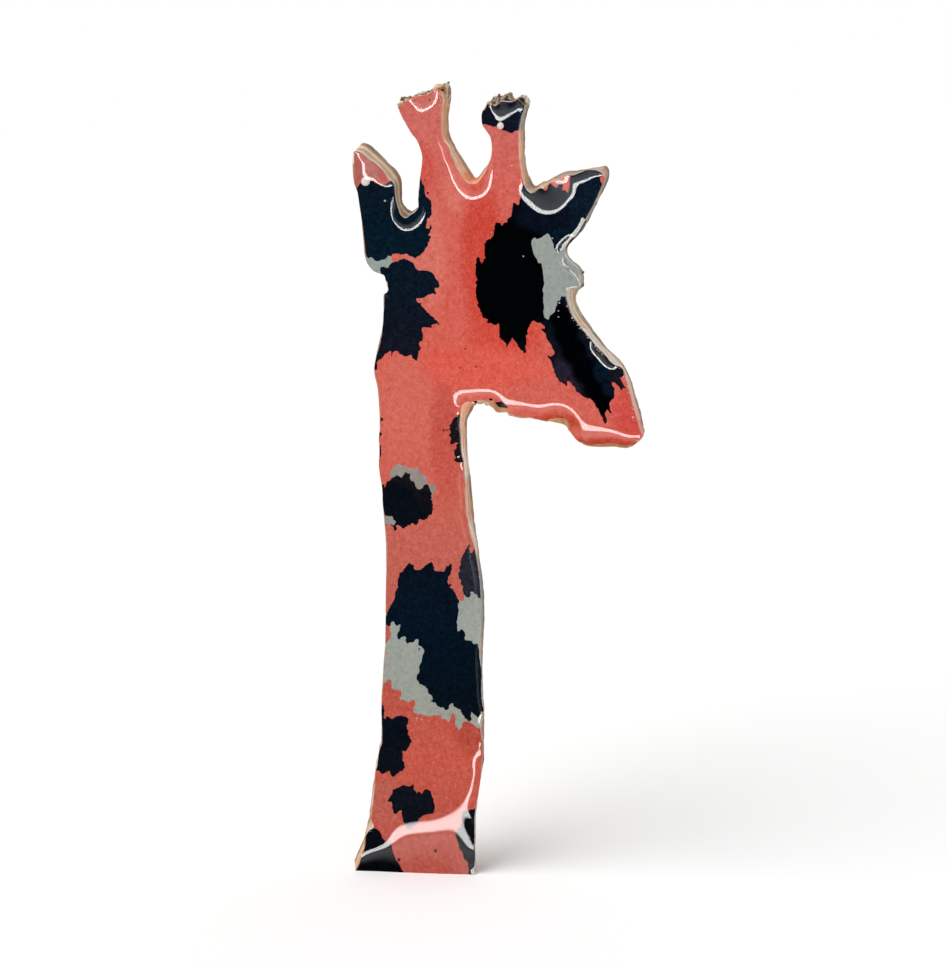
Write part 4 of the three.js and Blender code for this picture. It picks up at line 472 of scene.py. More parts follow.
        (-2.72, 47.06), (-3.15, 47.09), (-3.26, 47.19), (-3.4, 47.24), (-3.31, 47.49), (-3.21, 47.59),
        (-3.2, 47.76), (-3.39, 48.04), (-3.3, 48.15), (-3.28, 48.37), (-3.06, 48.69), (-3.04, 49.02),
        (-2.84, 49.13), (-2.89, 49.21), (-3.08, 49.28), (-3.43, 49.08), (-3.68, 49.12), (-3.67, 49.37),
        (-3.48, 49.7), (-3.74, 50.03), (-3.55, 50.25), (-3.53, 50.36), (-3.53, 50.58), (-3.72, 50.69),
        (-3.54, 50.91), (-3.7, 51.13), (-3.5, 51.35), (-3.34, 51.7), (-3.11, 51.91), (-2.97, 51.95),
    ],
    [
        (-11.36, 52.06), (-11.32, 52.08), (-11.2, 52), (-11.05, 51.98), (-11.02, 51.87), (-11.26, 51.51),
        (-11.29, 51.17), (-11.49, 50.91), (-11.6, 51.06), (-11.86, 51.07), (-11.9, 51.11), (-11.86, 51.92),
        (-11.81, 51.98), (-11.47, 51.99),
    ],
    [
        (-11.92, 50.75), (-11.64, 50.76), (-11.58, 50.7), (-11.73, 50.66), (-11.89, 50.7),
    ],
    [
        (-11.97, 50.42), (-11.63, 50.43), (-11.51, 50.34), (-11.27, 50.32), (-11.21, 50.26), (-11.22, 50.18),
        (-11.44, 49.96), (-11.47, 49.85), (-11.57, 49.73), (-11.6, 49.34), (-11.68, 49.24), (-11.8, 49.32),
        (-12.05, 49.33), (-12.09, 49.37), (-12.1, 49.76),
    ],
    [
        (-11.58, 48.98), (-11.45, 48.99), (-11.39, 48.93), (-11.4, 48.62), (-11.33, 48.51), (-11.41, 48.37),
        (-11.43, 47.98), (-11.67, 47.62), (-11.71, 47.28), (-11.9, 47.11), (-12.1, 47.1), (-12.19, 47.17),
        (-12.17, 47.31), (-11.88, 47.34), (-11.82, 47.39), (-11.8, 47.56), (-11.84, 47.67), (-12.1, 47.69),
        (-12.14, 47.73), (-12.08, 48.37), (-12.01, 48.43), (-11.75, 48.44), (-11.66, 48.5),
    ],
    [
        (-8.84, 45.99), (-8.58, 45.91), (-8.47, 45.82), (-8.22, 45.77), (-8.3, 45.57), (-8.25, 45.1),
        (-7.78, 44.99), (-7.71, 44.41), (-7.63, 44.31), (-7.6, 44.18), (-7.49, 44.09), (-7.15, 44.08),
        (-6.91, 44.3), (-6.83, 44.46), (-6.7, 44.49), (-6.6, 44.58), (-6.37, 44.58), (-6.24, 44.46), (-6.2, 44.29),
        (-6.11, 44.18), (-6.1, 43.96), (-6.01, 43.87), (-6, 43.73), (-5.93, 43.6), (-6.02, 43.43), (-5.98, 43.18),
        (-6.03, 43.09), (-6.04, 42.87), (-5.89, 42.76), (-5.94, 42.62), (-5.89, 42.51), (-5.9, 42.31),
        (-5.96, 42.09), (-5.86, 41.95), (-5.87, 41.76), (-5.97, 41.65), (-6.03, 41.26), (-6.3, 41.23),
        (-6.38, 41.17), (-6.41, 41.04), (-6.55, 40.99), (-6.62, 40.81), (-6.76, 40.79), (-6.85, 40.69),
        (-7.16, 40.69), (-7.33, 40.76), (-7.42, 40.73), (-7.49, 40.64), (-7.51, 40.3), (-7.58, 40.25),
        (-7.7, 40.3), (-7.78, 40.13), (-8.04, 40.13), (-8.09, 40.28), (-8.17, 40.34), (-8.29, 40.33),
        (-8.53, 40.14), (-8.72, 40.2), (-8.82, 40.01), (-8.97, 39.98), (-9.06, 39.78), (-9.18, 39.67),
        (-9.27, 39.66), (-9.36, 39.7), (-9.4, 39.96), (-9.86, 40.11), (-10.04, 39.94), (-10.01, 39.87),
        (-9.9, 39.84), (-9.97, 39.68), (-10.12, 39.54), (-10.23, 39.52), (-10.3, 39.56), (-10.3, 39.79),
        (-10.42, 39.95), (-10.62, 39.97), (-10.74, 40.09), (-10.67, 40.2), (-10.58, 40.22), (-10.29, 40.1),
        (-10.04, 40.33), (-10.04, 40.47), (-10.18, 40.67), (-10.3, 40.74), (-10.48, 41.06), (-11.34, 41.06),
        (-11.84, 40.95), (-11.88, 40.98), (-11.98, 41.94), (-11.71, 42.08), (-11.62, 42.28), (-11.69, 42.37),
        (-12, 42.39), (-12.01, 42.5), (-11.97, 42.54), (-11.68, 42.55), (-11.62, 42.61), (-11.55, 43.09),
        (-11.68, 43.34), (-11.96, 43.37), (-11.94, 43.98), (-11.9, 44.02), (-11.52, 44.06), (-11.46, 44.13),
        (-11.56, 44.35), (-11.65, 44.41), (-11.97, 44.35), (-11.98, 44.46), (-11.73, 44.57), (-11.72, 44.66),
        (-11.76, 44.69), (-12.02, 44.63), (-12.05, 44.88), (-11.8, 44.98), (-11.64, 44.97), (-11.58, 44.88),
        (-11.58, 44.57), (-11.31, 44.53), (-11.26, 44.47), (-11.24, 44.31), (-11.18, 44.3), (-11.09, 44.36),
        (-10.93, 44.59), (-10.99, 44.73), (-10.98, 44.85), (-10.82, 44.98), (-10.71, 44.9), (-10.59, 44.95),
        (-10.33, 45.39), (-10.19, 45.35), (-10.01, 45.39), (-9.82, 45.51), (-9.74, 45.67), (-9.63, 45.59),
        (-9.45, 45.57), (-9.2, 45.45), (-8.86, 45.88),
    ],
    [
        (-11.51, 40.48), (-11.36, 40.46), (-11.32, 40.31), (-11.18, 40.2), (-11.18, 40.1), (-11.28, 39.95),
        (-11.52, 39.8), (-11.8, 39.72), (-11.85, 39.86), (-11.85, 40.39), (-11.78, 40.46),
    ],
    [
        (-2.1, 37.92), (-1.93, 37.74), (-1.94, 37.66), (-2.04, 37.55), (-2.05, 37.36), (-1.94, 36.96),
        (-1.75, 36.98), (-1.58, 37.34), (-1.45, 37.27), (-1.14, 37.26), (-1.08, 37.11), (-0.71, 34.22),
        (-0.73, 34.06), (-1.02, 33.94), (-1.03, 33.86), (-0.97, 33.76), (-0.72, 33.75), (-0.69, 33.38),
        (-0.71, 33.21), (-0.96, 33.2), (-1, 33.16), (-0.83, 33.1), (-1.01, 32.93), (-1.05, 31.92), (-1.1, 31.84),
        (-1.23, 31.9), (-1.36, 32.04), (-1.34, 32.3), (-1.51, 32.36), (-1.64, 32.36), (-1.85, 32.61),
        (-2.04, 32.58), (-2.1, 32.52), (-2.11, 32.43), (-2.03, 32.29), (-2.22, 32.04), (-2.48, 31.95),
        (-2.72, 32.02), (-2.89, 32.3), (-2.89, 32.53), (-2.95, 32.67), (-2.92, 33.2), (-3.18, 33.46),
        (-3.16, 33.66), (-3.08, 33.77), (-3.19, 34.02), (-3.34, 34.08), (-3.37, 34.14), (-3.35, 34.75),
        (-3.23, 34.95), (-3.24, 35.12), (-3.31, 35.23), (-3.11, 35.56), (-3.08, 36.01), (-2.98, 36.12),
        (-2.96, 36.32), (-2.86, 36.45), (-2.83, 36.68), (-2.73, 36.79), (-2.71, 36.91), (-2.51, 37.12),
        (-2.57, 37.26), (-2.38, 37.45), (-2.35, 37.68),
    ],
    [
        (-6.29, 36.05), (-6.23, 36.03), (-6.21, 35.91), (-6.12, 35.8), (-6.11, 35.58), (-6.02, 35.46),
        (-6.02, 35.01), (-5.76, 34.92), (-5.59, 34.97), (-4.95, 34.93), (-4.8, 35.13), (-4.62, 35.5),
        (-4.48, 35.54), (-4.25, 35.75), (-4.16, 35.75), (-4.1, 35.68), (-4.12, 35.15), (-4.23, 34.98),
        (-4.25, 34.68), (-4.47, 34.34), (-4.5, 34.03), (-4.6, 33.89), (-4.62, 33.69), (-4.48, 33.41),
        (-4.31, 33.51), (-4.19, 33.44), (-4.2, 33.33), (-4.3, 33.21), (-4.3, 33.07), (-4.04, 32.93),
        (-3.91, 32.51), (-3.77, 32.38), (-3.68, 32.2), (-3.63, 31.86), (-3.41, 31.63), (-3.54, 31.41),
        (-3.52, 30.39), (-3.73, 29.34), (-3.71, 28.21), (-3.6, 28.12), (-3.34, 28.33), (-3.07, 28.31),
        (-2.89, 28.09), (-2.86, 27.67), (-2.97, 27.44), (-2.9, 27.18), (-2.75, 27.06), (-2.26, 27.12),
        (-1.97, 26.65), (-1.77, 26.83), (-1.55, 26.76), (-1.47, 26.61), (-1.53, 26.33), (-1.39, 26.18),
        (-1.31, 25.78), (-1.25, 25.71), (-0.97, 25.71), (-0.93, 25.67), (-0.93, 21.82), (-0.86, 19.31),
        (-1.19, 19.23), (-1.21, 19.05), (-1.31, 18.87), (-1.39, 18.9), (-1.49, 19.03), (-1.59, 18.54),
        (-1.93, 18.31), (-2.54, 19.01), (-2.62, 19.03), (-2.7, 18.68), (-2.65, 18.39), (-2.53, 18.16),
        (-2.92, 17.87), (-3.32, 18.3), (-3.34, 18.43), (-3.56, 18.71), (-3.54, 18.89), (-3.69, 18.97),
        (-3.73, 19.2), (-4.09, 19.31), (-4.47, 19.66), (-4.51, 19.74), (-4.47, 19.92), (-4.54, 20.01),
        (-4.83, 19.92), (-5.05, 19.34), (-5.34, 19.15), (-5.52, 19.3), (-5.59, 19.48), (-5.93, 19.43),
        (-6.1, 19.5), (-6.42, 19.89), (-6.47, 20.04), (-7.06, 20.11), (-6.78, 20.41), (-6.79, 20.55),
        (-6.9, 20.69), (-6.87, 20.81), (-7.29, 20.99), (-7.3, 21.26), (-7.41, 21.61), (-7.65, 21.86),
        (-7.99, 22.08), (-8.2, 22.12), (-8.17, 22.38), (-8.35, 22.45), (-8.44, 22.63), (-8.42, 23.15),
        (-8.24, 23.41), (-8.17, 23.7), (-8.2, 24.01), (-8.07, 24.36), (-7.84, 24.68), (-7.81, 25.13),
        (-7.56, 25.76), (-7.59, 26.14), (-7.83, 26.4), (-8, 26.46), (-8.13, 26.58), (-8.08, 27.04), (-8.13, 27.18),
        (-8.23, 27.22), (-8.35, 27.18), (-8.65, 26.91), (-9.05, 26.9), (-9.32, 26.66), (-9.46, 26.89),
        (-9.46, 27.26), (-9.6, 27.52), (-9.93, 27.38), (-10.11, 27.2), (-10.35, 27.2), (-10.44, 27.34),
        (-10.48, 27.6), (-10.35, 28.06), (-10.04, 28.75), (-10.07, 28.92), (-10.24, 28.89), (-10.45, 28.78),
        (-10.57, 28.79), (-10.72, 28.93), (-10.79, 29.16), (-10.88, 29.18), (-11.17, 28.94), (-11.22, 28.71),
        (-11.38, 28.6), (-11.91, 28.79), (-12.3, 28.86), (-12.26, 29.49), (-11.97, 29.52), (-11.77, 29.7),
        (-11.61, 29.94), (-11.55, 30.17), (-11.45, 30.26), (-11.41, 30.52), (-11.2, 30.72), (-11.03, 31.1),
        (-10.81, 31.31), (-10.79, 31.54), (-10.54, 31.89), (-10.5, 32.37), (-10.4, 32.46), (-10.38, 32.6),
        (-10.27, 32.69), (-10.24, 32.94), (-10.13, 33.06), (-10.09, 34.05), (-9.97, 34.19), (-9.93, 34.76),
        (-9.63, 34.82), (-9.52, 34.91), (-9.4, 34.94), (-9.38, 35.08), (-9.23, 35.2), (-9.21, 35.34),
        (-9.11, 35.43), (-9.08, 35.57), (-8.98, 35.65), (-8.95, 35.8), (-8.69, 35.92), (-8.41, 35.67),
        (-8.29, 35.33), (-8.15, 35.19), (-7.89, 35.07), (-7.6, 35.07), (-7.51, 35.11), (-7.48, 35.25),
        (-7.07, 35.43), (-6.66, 35.83), (-6.49, 35.88),
    ],
    [
        (-8.13, 26.24), (-8.04, 26.25), (-7.98, 26.18), (-7.95, 26.1), (-7.99, 26.01), (-8.11, 26.04),
        (-8.17, 26.15),
    ],
    [
        (-1.47, 19.73), (-1.61, 19.58), (-1.63, 19.46), (-1.41, 19.19), (-1.31, 19.28), (-1.3, 19.51),
    ],
    [
        (-12.72, 19.47), (-12.47, 19.5), (-12.4, 19.41), (-12.45, 18.33), (-12.58, 18.15), (-12.45, 17.89),
        (-12.26, 17.94), (-12.17, 18.24), (-11.78, 18.27), (-11.61, 18.07), (-11.49, 18.01), (-11.33, 18.08),
        (-11.09, 18.3), (-10.79, 18.44), (-10.38, 18.45), (-10.24, 18.35), (-9.89, 18.35), (-9.63, 18.06),
        (-9.65, 17.54), (-9.77, 17.36), (-9.79, 16.93), (-9.68, 16.79), (-9.7, 16.21), (-9.6, 16.13),
        (-9.59, 15.87), (-9.39, 15.67), (-9.39, 15.36), (-9.63, 15.09), (-9.94, 14.46), (-10.09, 14.32),
        (-10.41, 14.29), (-10.48, 14.25), (-10.53, 13.21), (-10.32, 12.95), (-10.34, 12.4), (-10.45, 12.28),
        (-10.48, 12.15), (-10.63, 12), (-10.9, 11.94), (-11.54, 11.35), (-11.74, 11.35), (-11.89, 11.49),
        (-11.91, 11.62), (-12, 11.72), (-12.01, 11.95), (-12.07, 12), (-12.19, 11.91), (-12.43, 11.88),
        (-12.68, 11.65), (-13.01, 11.62), (-13.39, 11.93), (-13.98, 11.89), (-14.24, 12.02), (-14.01, 12.78),
        (-13.96, 13.8), (-13.53, 15.01), (-13.41, 15.56), (-13.28, 17.07), (-13.22, 19.07), (-13.18, 19.12),
        (-12.82, 19.16),
    ],
    [
        (-9.46, 10.49), (-9.41, 10.5), (-9.37, 10.4), (-9.36, 9.91), (-9.08, 9.52), (-8.84, 9.68), (-8.5, 9.45),
        (-8.22, 9.92), (-7.89, 10.09), (-7.47, 9.82), (-7.19, 8.86), (-7.1, 8.16), (-7.16, 7.55), (-7.2, 7.37),
        (-7.36, 7.1), (-7.97, 7.05), (-8.47, 6.87), (-8.62, 6.66), (-8.77, 6.63), (-8.92, 6.49), (-9.23, 5.88),
        (-10.17, 5.24), (-10.48, 5.53), (-10.6, 5.83), (-10.72, 5.94), (-10.71, 6.09), (-10.83, 6.17),
        (-10.84, 6.87), (-10.92, 7.02), (-10.92, 7.35), (-11, 7.41), (-11.21, 7.39), (-11.58, 7.04),
        (-11.72, 7.06), (-11.84, 7.18), (-11.85, 7.48), (-11.95, 7.67), (-11.88, 7.88), (-11.93, 8.23),
        (-12.2, 8.4), (-12.35, 8.41), (-12.38, 8.47), (-12.02, 9.07), (-11.69, 9.82), (-10.58, 10.38),
        (-10.38, 10.34), (-10.24, 10.22), (-9.86, 10.2),
    ],
    [
        (-2.56, 7.67), (-2.26, 7.65), (-2.12, 7.59), (-2.11, 7.53), (-2.24, 6.39), (-2.41, 3.55), (-2.52, 0.03),
        (-2.83, -0.3), (-3.58, -0.32), (-3.62, -0.25), (-3.56, 1.42), (-4.05, 1.93), (-4.21, 2.7), (-4.49, 3.05),
        (-4.59, 3.64), (-4.81, 4.16), (-4.93, 4.69), (-4.73, 5.39), (-4.2, 5.79), (-4.05, 5.98), (-4.2, 6.71),
        (-4.15, 7.32), (-3.79, 7.67), (-3.43, 7.54), (-3.07, 7.64),
    ],
    [
        (-14.89, 5.13), (-14.82, 5.11), (-14.71, 4.95), (-14.65, 4.96), (-14.62, 5.05), (-14.38, 5),
        (-14.07, 5.06), (-13.62, 4.87), (-13.32, 4.08), (-13.03, 3.66), (-12.67, 3.64), (-12.39, 3.76),
        (-12.16, 2.34), (-11.87, 1.5), (-11.49, 0.73), (-11.07, 0.03), (-11.15, -0.28), (-11.8, -0.31),
        (-16.78, -0.31), (-17.08, -0.04), (-17.1, 0.02), (-16.58, 1.55), (-15.95, 2.85), (-15.74, 3.92),
        (-15.53, 4.46), (-15.41, 4.7), (-15.15, 4.96),
    ],
    [
        (-7.29, 2.92), (-7.21, 2.94), (-7.13, 2.81), (-7.23, 2.61), (-7.35, 2.65), (-7.37, 2.83),
    ],
    [
        (-11.56, 1.81), (-11.49, 1.83), (-11.34, 1.67), (-11.39, 1.45), (-11.55, 1.33), (-11.67, 1.44),
        (-11.69, 1.62),
    ],
    [
        (7.9, 72.23), (8.76, 71.99), (9.26, 71.03), (9.45, 70.01), (8.74, 69.76), (8.32, 70.31), (7.98, 71.48),
    ],
]
GREY_PATCHES = [
    [
        (7.774, 71.699), (8.053, 71.65), (8.19, 71.211), (8.322, 70.624), (8.476, 70.047), (8.905, 69.952),
        (9.339, 70.016), (9.774, 70.111), (9.91, 69.7), (10.44, 68.7), (11.13, 67.92), (11.4, 67.33),
        (11.49, 66.53), (11.29, 65.97), (11.03, 65.7), (10.51, 65.58), (10.1, 65.58), (9.98, 65.49), (9.95, 64.56),
        (9.3, 64.55), (9.03, 64.22), (9, 63.95), (8.86, 63.77), (8.71, 63.27), (8.16, 62.77), (7.99, 62.37),
        (7.61, 62.03), (6.86, 62.78), (6.79, 62.97), (6.76, 63.66), (6.84, 63.98), (6.78, 64.3), (6.78, 65.35),
        (6.91, 66.65), (6.87, 67.83), (6.7, 68.6), (6.52, 68.96), (6.25, 70.197), (6.176, 70.571), (6.19, 70.996),
        (6.569, 71.284), (6.727, 71.142), (7.107, 71.185), (7.38, 71.232), (7.551, 71.493),
    ],
    [
        (-12.69, 70.4), (-12.43, 70.4), (-12.17, 70.31), (-11.76, 69.94), (-11.34, 70), (-10.88, 69.59),
        (-10.04, 69.79), (-9.6, 70.08), (-9.33, 70.05), (-9.13, 69.83), (-9.15, 69.72), (-9.29, 69.59),
        (-9.21, 69.21), (-9.1, 69.11), (-8.84, 69.06), (-8.83, 69.01), (-9.22, 68.45), (-9.62, 68.1),
        (-9.91, 68.07), (-10.16, 68.19), (-10.28, 67.64), (-10.51, 67.33), (-10.64, 67.46), (-11.33, 67.73),
        (-12.11, 68.46), (-12.5, 69.1), (-12.72, 70),
    ],
    [
        (-2.41, 48.2), (-2.22, 48.22), (-2.18, 48.17), (-1.98, 47.01), (-1.94, 45.16), (-1.96, 45.02),
        (-2.02, 44.98), (-2.24, 44.99), (-2.42, 45.25), (-2.4, 46.08), (-2.47, 46.25), (-2.39, 46.38),
        (-2.35, 47.01), (-2.43, 47.04), (-2.65, 46.9), (-2.79, 47.22), (-2.69, 47.47), (-2.81, 47.67),
        (-2.81, 47.82),
    ],
    [
        (-9.57, 46.87), (-9.45, 46.84), (-9.34, 46.88), (-9.02, 46.8), (-8.3, 46.48), (-7.87, 46.47),
        (-7.73, 46.37), (-7.39, 46.55), (-7.26, 46.44), (-7.24, 46.08), (-7, 45.72), (-6.8, 45.7), (-6.66, 45.77),
        (-6.41, 45.65), (-6.28, 44.74), (-5.81, 44.69), (-5.53, 44.48), (-5.55, 44.01), (-5.64, 43.87),
        (-5.61, 43.73), (-5.8, 43.62), (-5.91, 43.37), (-5.85, 43.18), (-6, 43.12), (-6.05, 42.93), (-6.14, 42.94),
        (-6.4, 43.26), (-6.33, 43.6), (-6.5, 44.16), (-6.59, 44.18), (-6.7, 44.11), (-7.14, 43.71), (-7.54, 43.73),
        (-7.99, 44.15), (-8.18, 44.66), (-8.63, 45.07), (-8.71, 45.48), (-9.22, 45.07), (-9.7, 45.21),
        (-10.12, 44.96), (-10.27, 44.97), (-10.41, 45.07), (-10.44, 45.16), (-10.35, 45.42), (-10.47, 45.72),
        (-10.44, 46.09), (-10.24, 46.39), (-10.02, 46.5), (-9.92, 46.67), (-9.66, 46.73),
    ],
    [
        (-11.92, 43.73), (-11.62, 43.71), (-11.28, 43.38), (-11.14, 43.08), (-11.16, 42.71), (-11.32, 42.49),
        (-11.21, 42.29), (-11.22, 42.18), (-11.68, 41.71), (-11.87, 41.62), (-11.96, 41.71), (-12.02, 42.39),
    ],
    [
        (-11.4, 41.44), (-10.46, 41.45), (-10.06, 41.06), (-9.65, 40.5), (-9.66, 40.28), (-10.25, 39.77),
        (-10.44, 39.95), (-10.74, 40.05), (-10.95, 40.02), (-11.15, 40.09), (-11.37, 39.94), (-11.55, 40.06),
        (-11.81, 40.08), (-11.91, 41.29),
    ],
    [
        (-0.84, 34.39), (-0.74, 34.37), (-0.7, 33.86), (-0.68, 30.54), (-0.94, 25.38), (-1.04, 25.31),
        (-1.29, 25.34), (-1.64, 25.74), (-1.85, 26.24), (-2.01, 26.28), (-2.41, 26.7), (-2.8, 26.67),
        (-3.26, 27.16), (-3.35, 27.44), (-3.25, 27.67), (-3.27, 27.87), (-3.36, 27.92), (-3.64, 27.74),
        (-4.06, 28.15), (-4.14, 28.89), (-4.12, 29.32), (-3.91, 30.42), (-3.94, 31.15), (-3.88, 31.52),
        (-3.59, 31.78), (-3.35, 31.62), (-2.93, 31.63), (-2.75, 31.99), (-2.82, 32.28), (-2.71, 32.38),
        (-2.5, 32.38), (-2.46, 32.55), (-2.03, 32.96), (-1.84, 33), (-1.57, 32.76), (-1.41, 32.78), (-1.34, 33.06),
        (-1.36, 33.2), (-1.13, 33.47), (-1.37, 33.79), (-1.4, 33.93), (-1.04, 34.31),
    ],
    [
        (-10.86, 29.58), (-10.4, 29.23), (-10.05, 29.32), (-9.64, 28.91), (-9.63, 28.76), (-9.99, 27.79),
        (-9.59, 27.91), (-8.98, 27.29), (-8.63, 27.31), (-8.33, 27.58), (-8.16, 27.6), (-7.73, 27.19),
        (-7.68, 26.67), (-7.19, 26.14), (-7.16, 25.74), (-7.41, 25.14), (-7.45, 24.66), (-7.66, 24.37),
        (-7.79, 24.02), (-7.77, 23.71), (-7.85, 23.42), (-8.01, 23.16), (-8.03, 22.7), (-7.72, 22.31),
        (-7.02, 21.63), (-6.9, 21.29), (-6.49, 20.85), (-6.37, 20.38), (-6.06, 20.04), (-6, 19.87), (-5.85, 19.83),
        (-5.57, 19.87), (-5.35, 19.71), (-5.2, 19.95), (-4.83, 20.31), (-4.53, 20.4), (-4.11, 19.98),
        (-4.08, 19.72), (-3.69, 19.59), (-3.36, 19.23), (-3.16, 18.89), (-3.14, 18.68), (-3.01, 19.03),
        (-2.58, 19.43), (-2.02, 18.86), (-1.94, 18.84), (-1.81, 19.15), (-2, 19.45), (-1.99, 19.59),
        (-1.58, 20.03), (-1.4, 20.12), (-0.88, 19.59), (-0.88, 18.71), (-1.18, 17.44), (-1.21, 17.09),
        (-1.58, 17.13), (-1.72, 17.06), (-1.99, 17.08), (-2.23, 17.34), (-2.3, 17.51), (-2.52, 17.63),
        (-2.66, 17.59), (-2.9, 17.79), (-3.2, 17.86), (-3.46, 17.74), (-3.65, 17.56), (-3.75, 17.24),
        (-3.99, 16.9), (-4.11, 16.87), (-4.1, 17.05), (-4.25, 17.13), (-4.38, 17.42), (-4.34, 18.48),
        (-4.51, 18.8), (-4.62, 18.79), (-4.75, 18.68), (-4.9, 18.39), (-4.93, 18.19), (-5.08, 17.93),
        (-5.17, 17.89), (-5.42, 18.1), (-5.81, 18.15), (-5.92, 18.29), (-5.93, 18.49), (-5.99, 18.56),
        (-6.85, 18.55), (-7.28, 18.43), (-7.48, 18.53), (-8.08, 18.53), (-8.28, 18.63), (-8.6, 18.64),
        (-9.06, 18.94), (-8.97, 19.37), (-8.74, 19.76), (-8.74, 20.19), (-9.02, 20.32), (-9.61, 20.03),
        (-9.84, 20.11), (-9.95, 20.31), (-10.44, 20.25), (-10.45, 20.45), (-10.33, 20.66), (-10.31, 21.39),
        (-10.39, 21.44), (-10.75, 21.43), (-10.96, 21.36), (-11.34, 21.45), (-11.42, 21.56), (-11.39, 21.7),
        (-11.45, 21.87), (-11.31, 22.34), (-11.44, 22.51), (-11.59, 22.53), (-11.86, 22.39), (-12.21, 22.08),
        (-12.49, 21.93), (-12.93, 21.93), (-12.46, 26.66), (-12.42, 26.72), (-12.27, 26.73), (-12.01, 26.66),
        (-11.78, 26.68), (-11.57, 26.98), (-11.3, 27.16), (-11.15, 27.54), (-11.14, 27.91), (-11.29, 28.56),
        (-11.59, 28.67), (-11.62, 28.83),
    ],
    [
        (-1.28, 16.34), (-1.16, 16.34), (-1.14, 16.09), (-1.42, 16.05), (-1.41, 16.25),
    ],
    [
        (-1.41, 15.85), (-1.17, 15.86), (-1.19, 15.63), (-1.41, 15.67),
    ],
    [
        (6.19, 71), (6.57, 71.28), (6.73, 71.14), (7.11, 71.19), (7.38, 71.23), (7.55, 71.49), (7.77, 71.7),
        (8.05, 71.65), (8.19, 71.21), (8.32, 70.62), (8.48, 70.05), (8.02, 69.25), (7.29, 68.63), (6.8, 68.64),
        (6.55, 69.28), (6.25, 70.2),
    ],
]
RIM_KNOTS = [
    (-2.82, 0, -0.14), (-5.02, 0, -0.006), (-9.42, 0, 0.031), (-11.62, 0, 0.024), (-13.82, 0, -0.14),
    (-16.02, 0, -0.14), (-16.36, 1.34, 0.189), (-15.54, 3.36, 0.343), (-14.51, 5.17, 0.156),
    (-12.84, 75.79, 0.209), (-13.29, 77.93, 0.191), (-13.26, 80.13, 0.312), (-11.87, 80.6, -0.14),
    (-10.18, 79.21, 0.085), (-8.85, 77.51, 0.185), (-8.55, 75.35, 0.145), (-7.4, 73.82, -0.053),
    (-6.26, 75.55, 0.101), (-5.99, 77.73, 0.084), (-5.65, 79.9, 0.092), (-6.15, 82.02, 0.15),
    (-7.32, 83.86, -0.082), (-7.29, 85.78, 0.406), (-5.32, 86.48, -0.14), (-3.27, 86.82, 0.337),
    (-3.16, 84.69, 0.741), (-3.23, 82.49, 0.281), (-2.35, 80.52, -0.034), (-1.56, 78.49, 0.123),
    (-0.02, 77.14, 0.03), (1.38, 78.69, -0.022), (1.41, 82.81, -0.073), (1.23, 84.89, 0.218), (2.83, 85.36, -0.14),
    (4.8, 85.75, 0.081), (5.58, 84.37, 0.649), (5.11, 82.24, 0.63), (5.01, 80.04, 0.275), (5.28, 77.86, 0.329),
    (6.25, 76, 0.631), (8.05, 76.91, -0.14), (10.03, 77.72, -0.14), (12.14, 78.18, 0.048), (14.12, 77.53, 0.253),
    (13.35, 75.52, 0.363), (12.31, 73.58, 0.654), (11.15, 71.71, 0.75), (9.71, 70.13, 0.75), (10.56, 68.26, 0.025),
    (11.17, 66.25, -0.008), (9.64, 65.14, 0.593), (10.17, 63.02, 0.517), (11.42, 61.21, 0.46),
    (12.76, 59.47, 0.082), (14.25, 57.86, 0.05), (15.69, 56.39, 0.133), (16.22, 54.26, 0.236),
    (16.78, 52.13, 0.361), (17.5, 50.07, 0.434), (16.03, 48.7, -0.14), (13.86, 48.92, -0.14),
    (11.66, 48.88, 0.029), (9.79, 49.88, -0.14), (8.81, 51.67, -0.07), (6.64, 51.65, 0.144), (4.46, 51.87, 0.023),
    (2.79, 52.96, 0.451), (0.92, 53.52, 0.165), (-0.91, 53.5, 0.287), (-2.42, 52.69, 0.179), (-2.56, 50.5, 0.735),
    (-2.47, 48.31, 0.517), (-1.44, 16.32, 0.119), (-1.5, 14.12, 0.02), (-1.68, 11.94, -0.14),
    (-2.07, 9.77, -0.058), (-2.42, 7.6, -0.119), (-2.59, 5.41, 0.087), (-2.72, 3.21, 0.085), (-2.79, 1.01, -0.14),
]
KNOT_STEP = 2.2
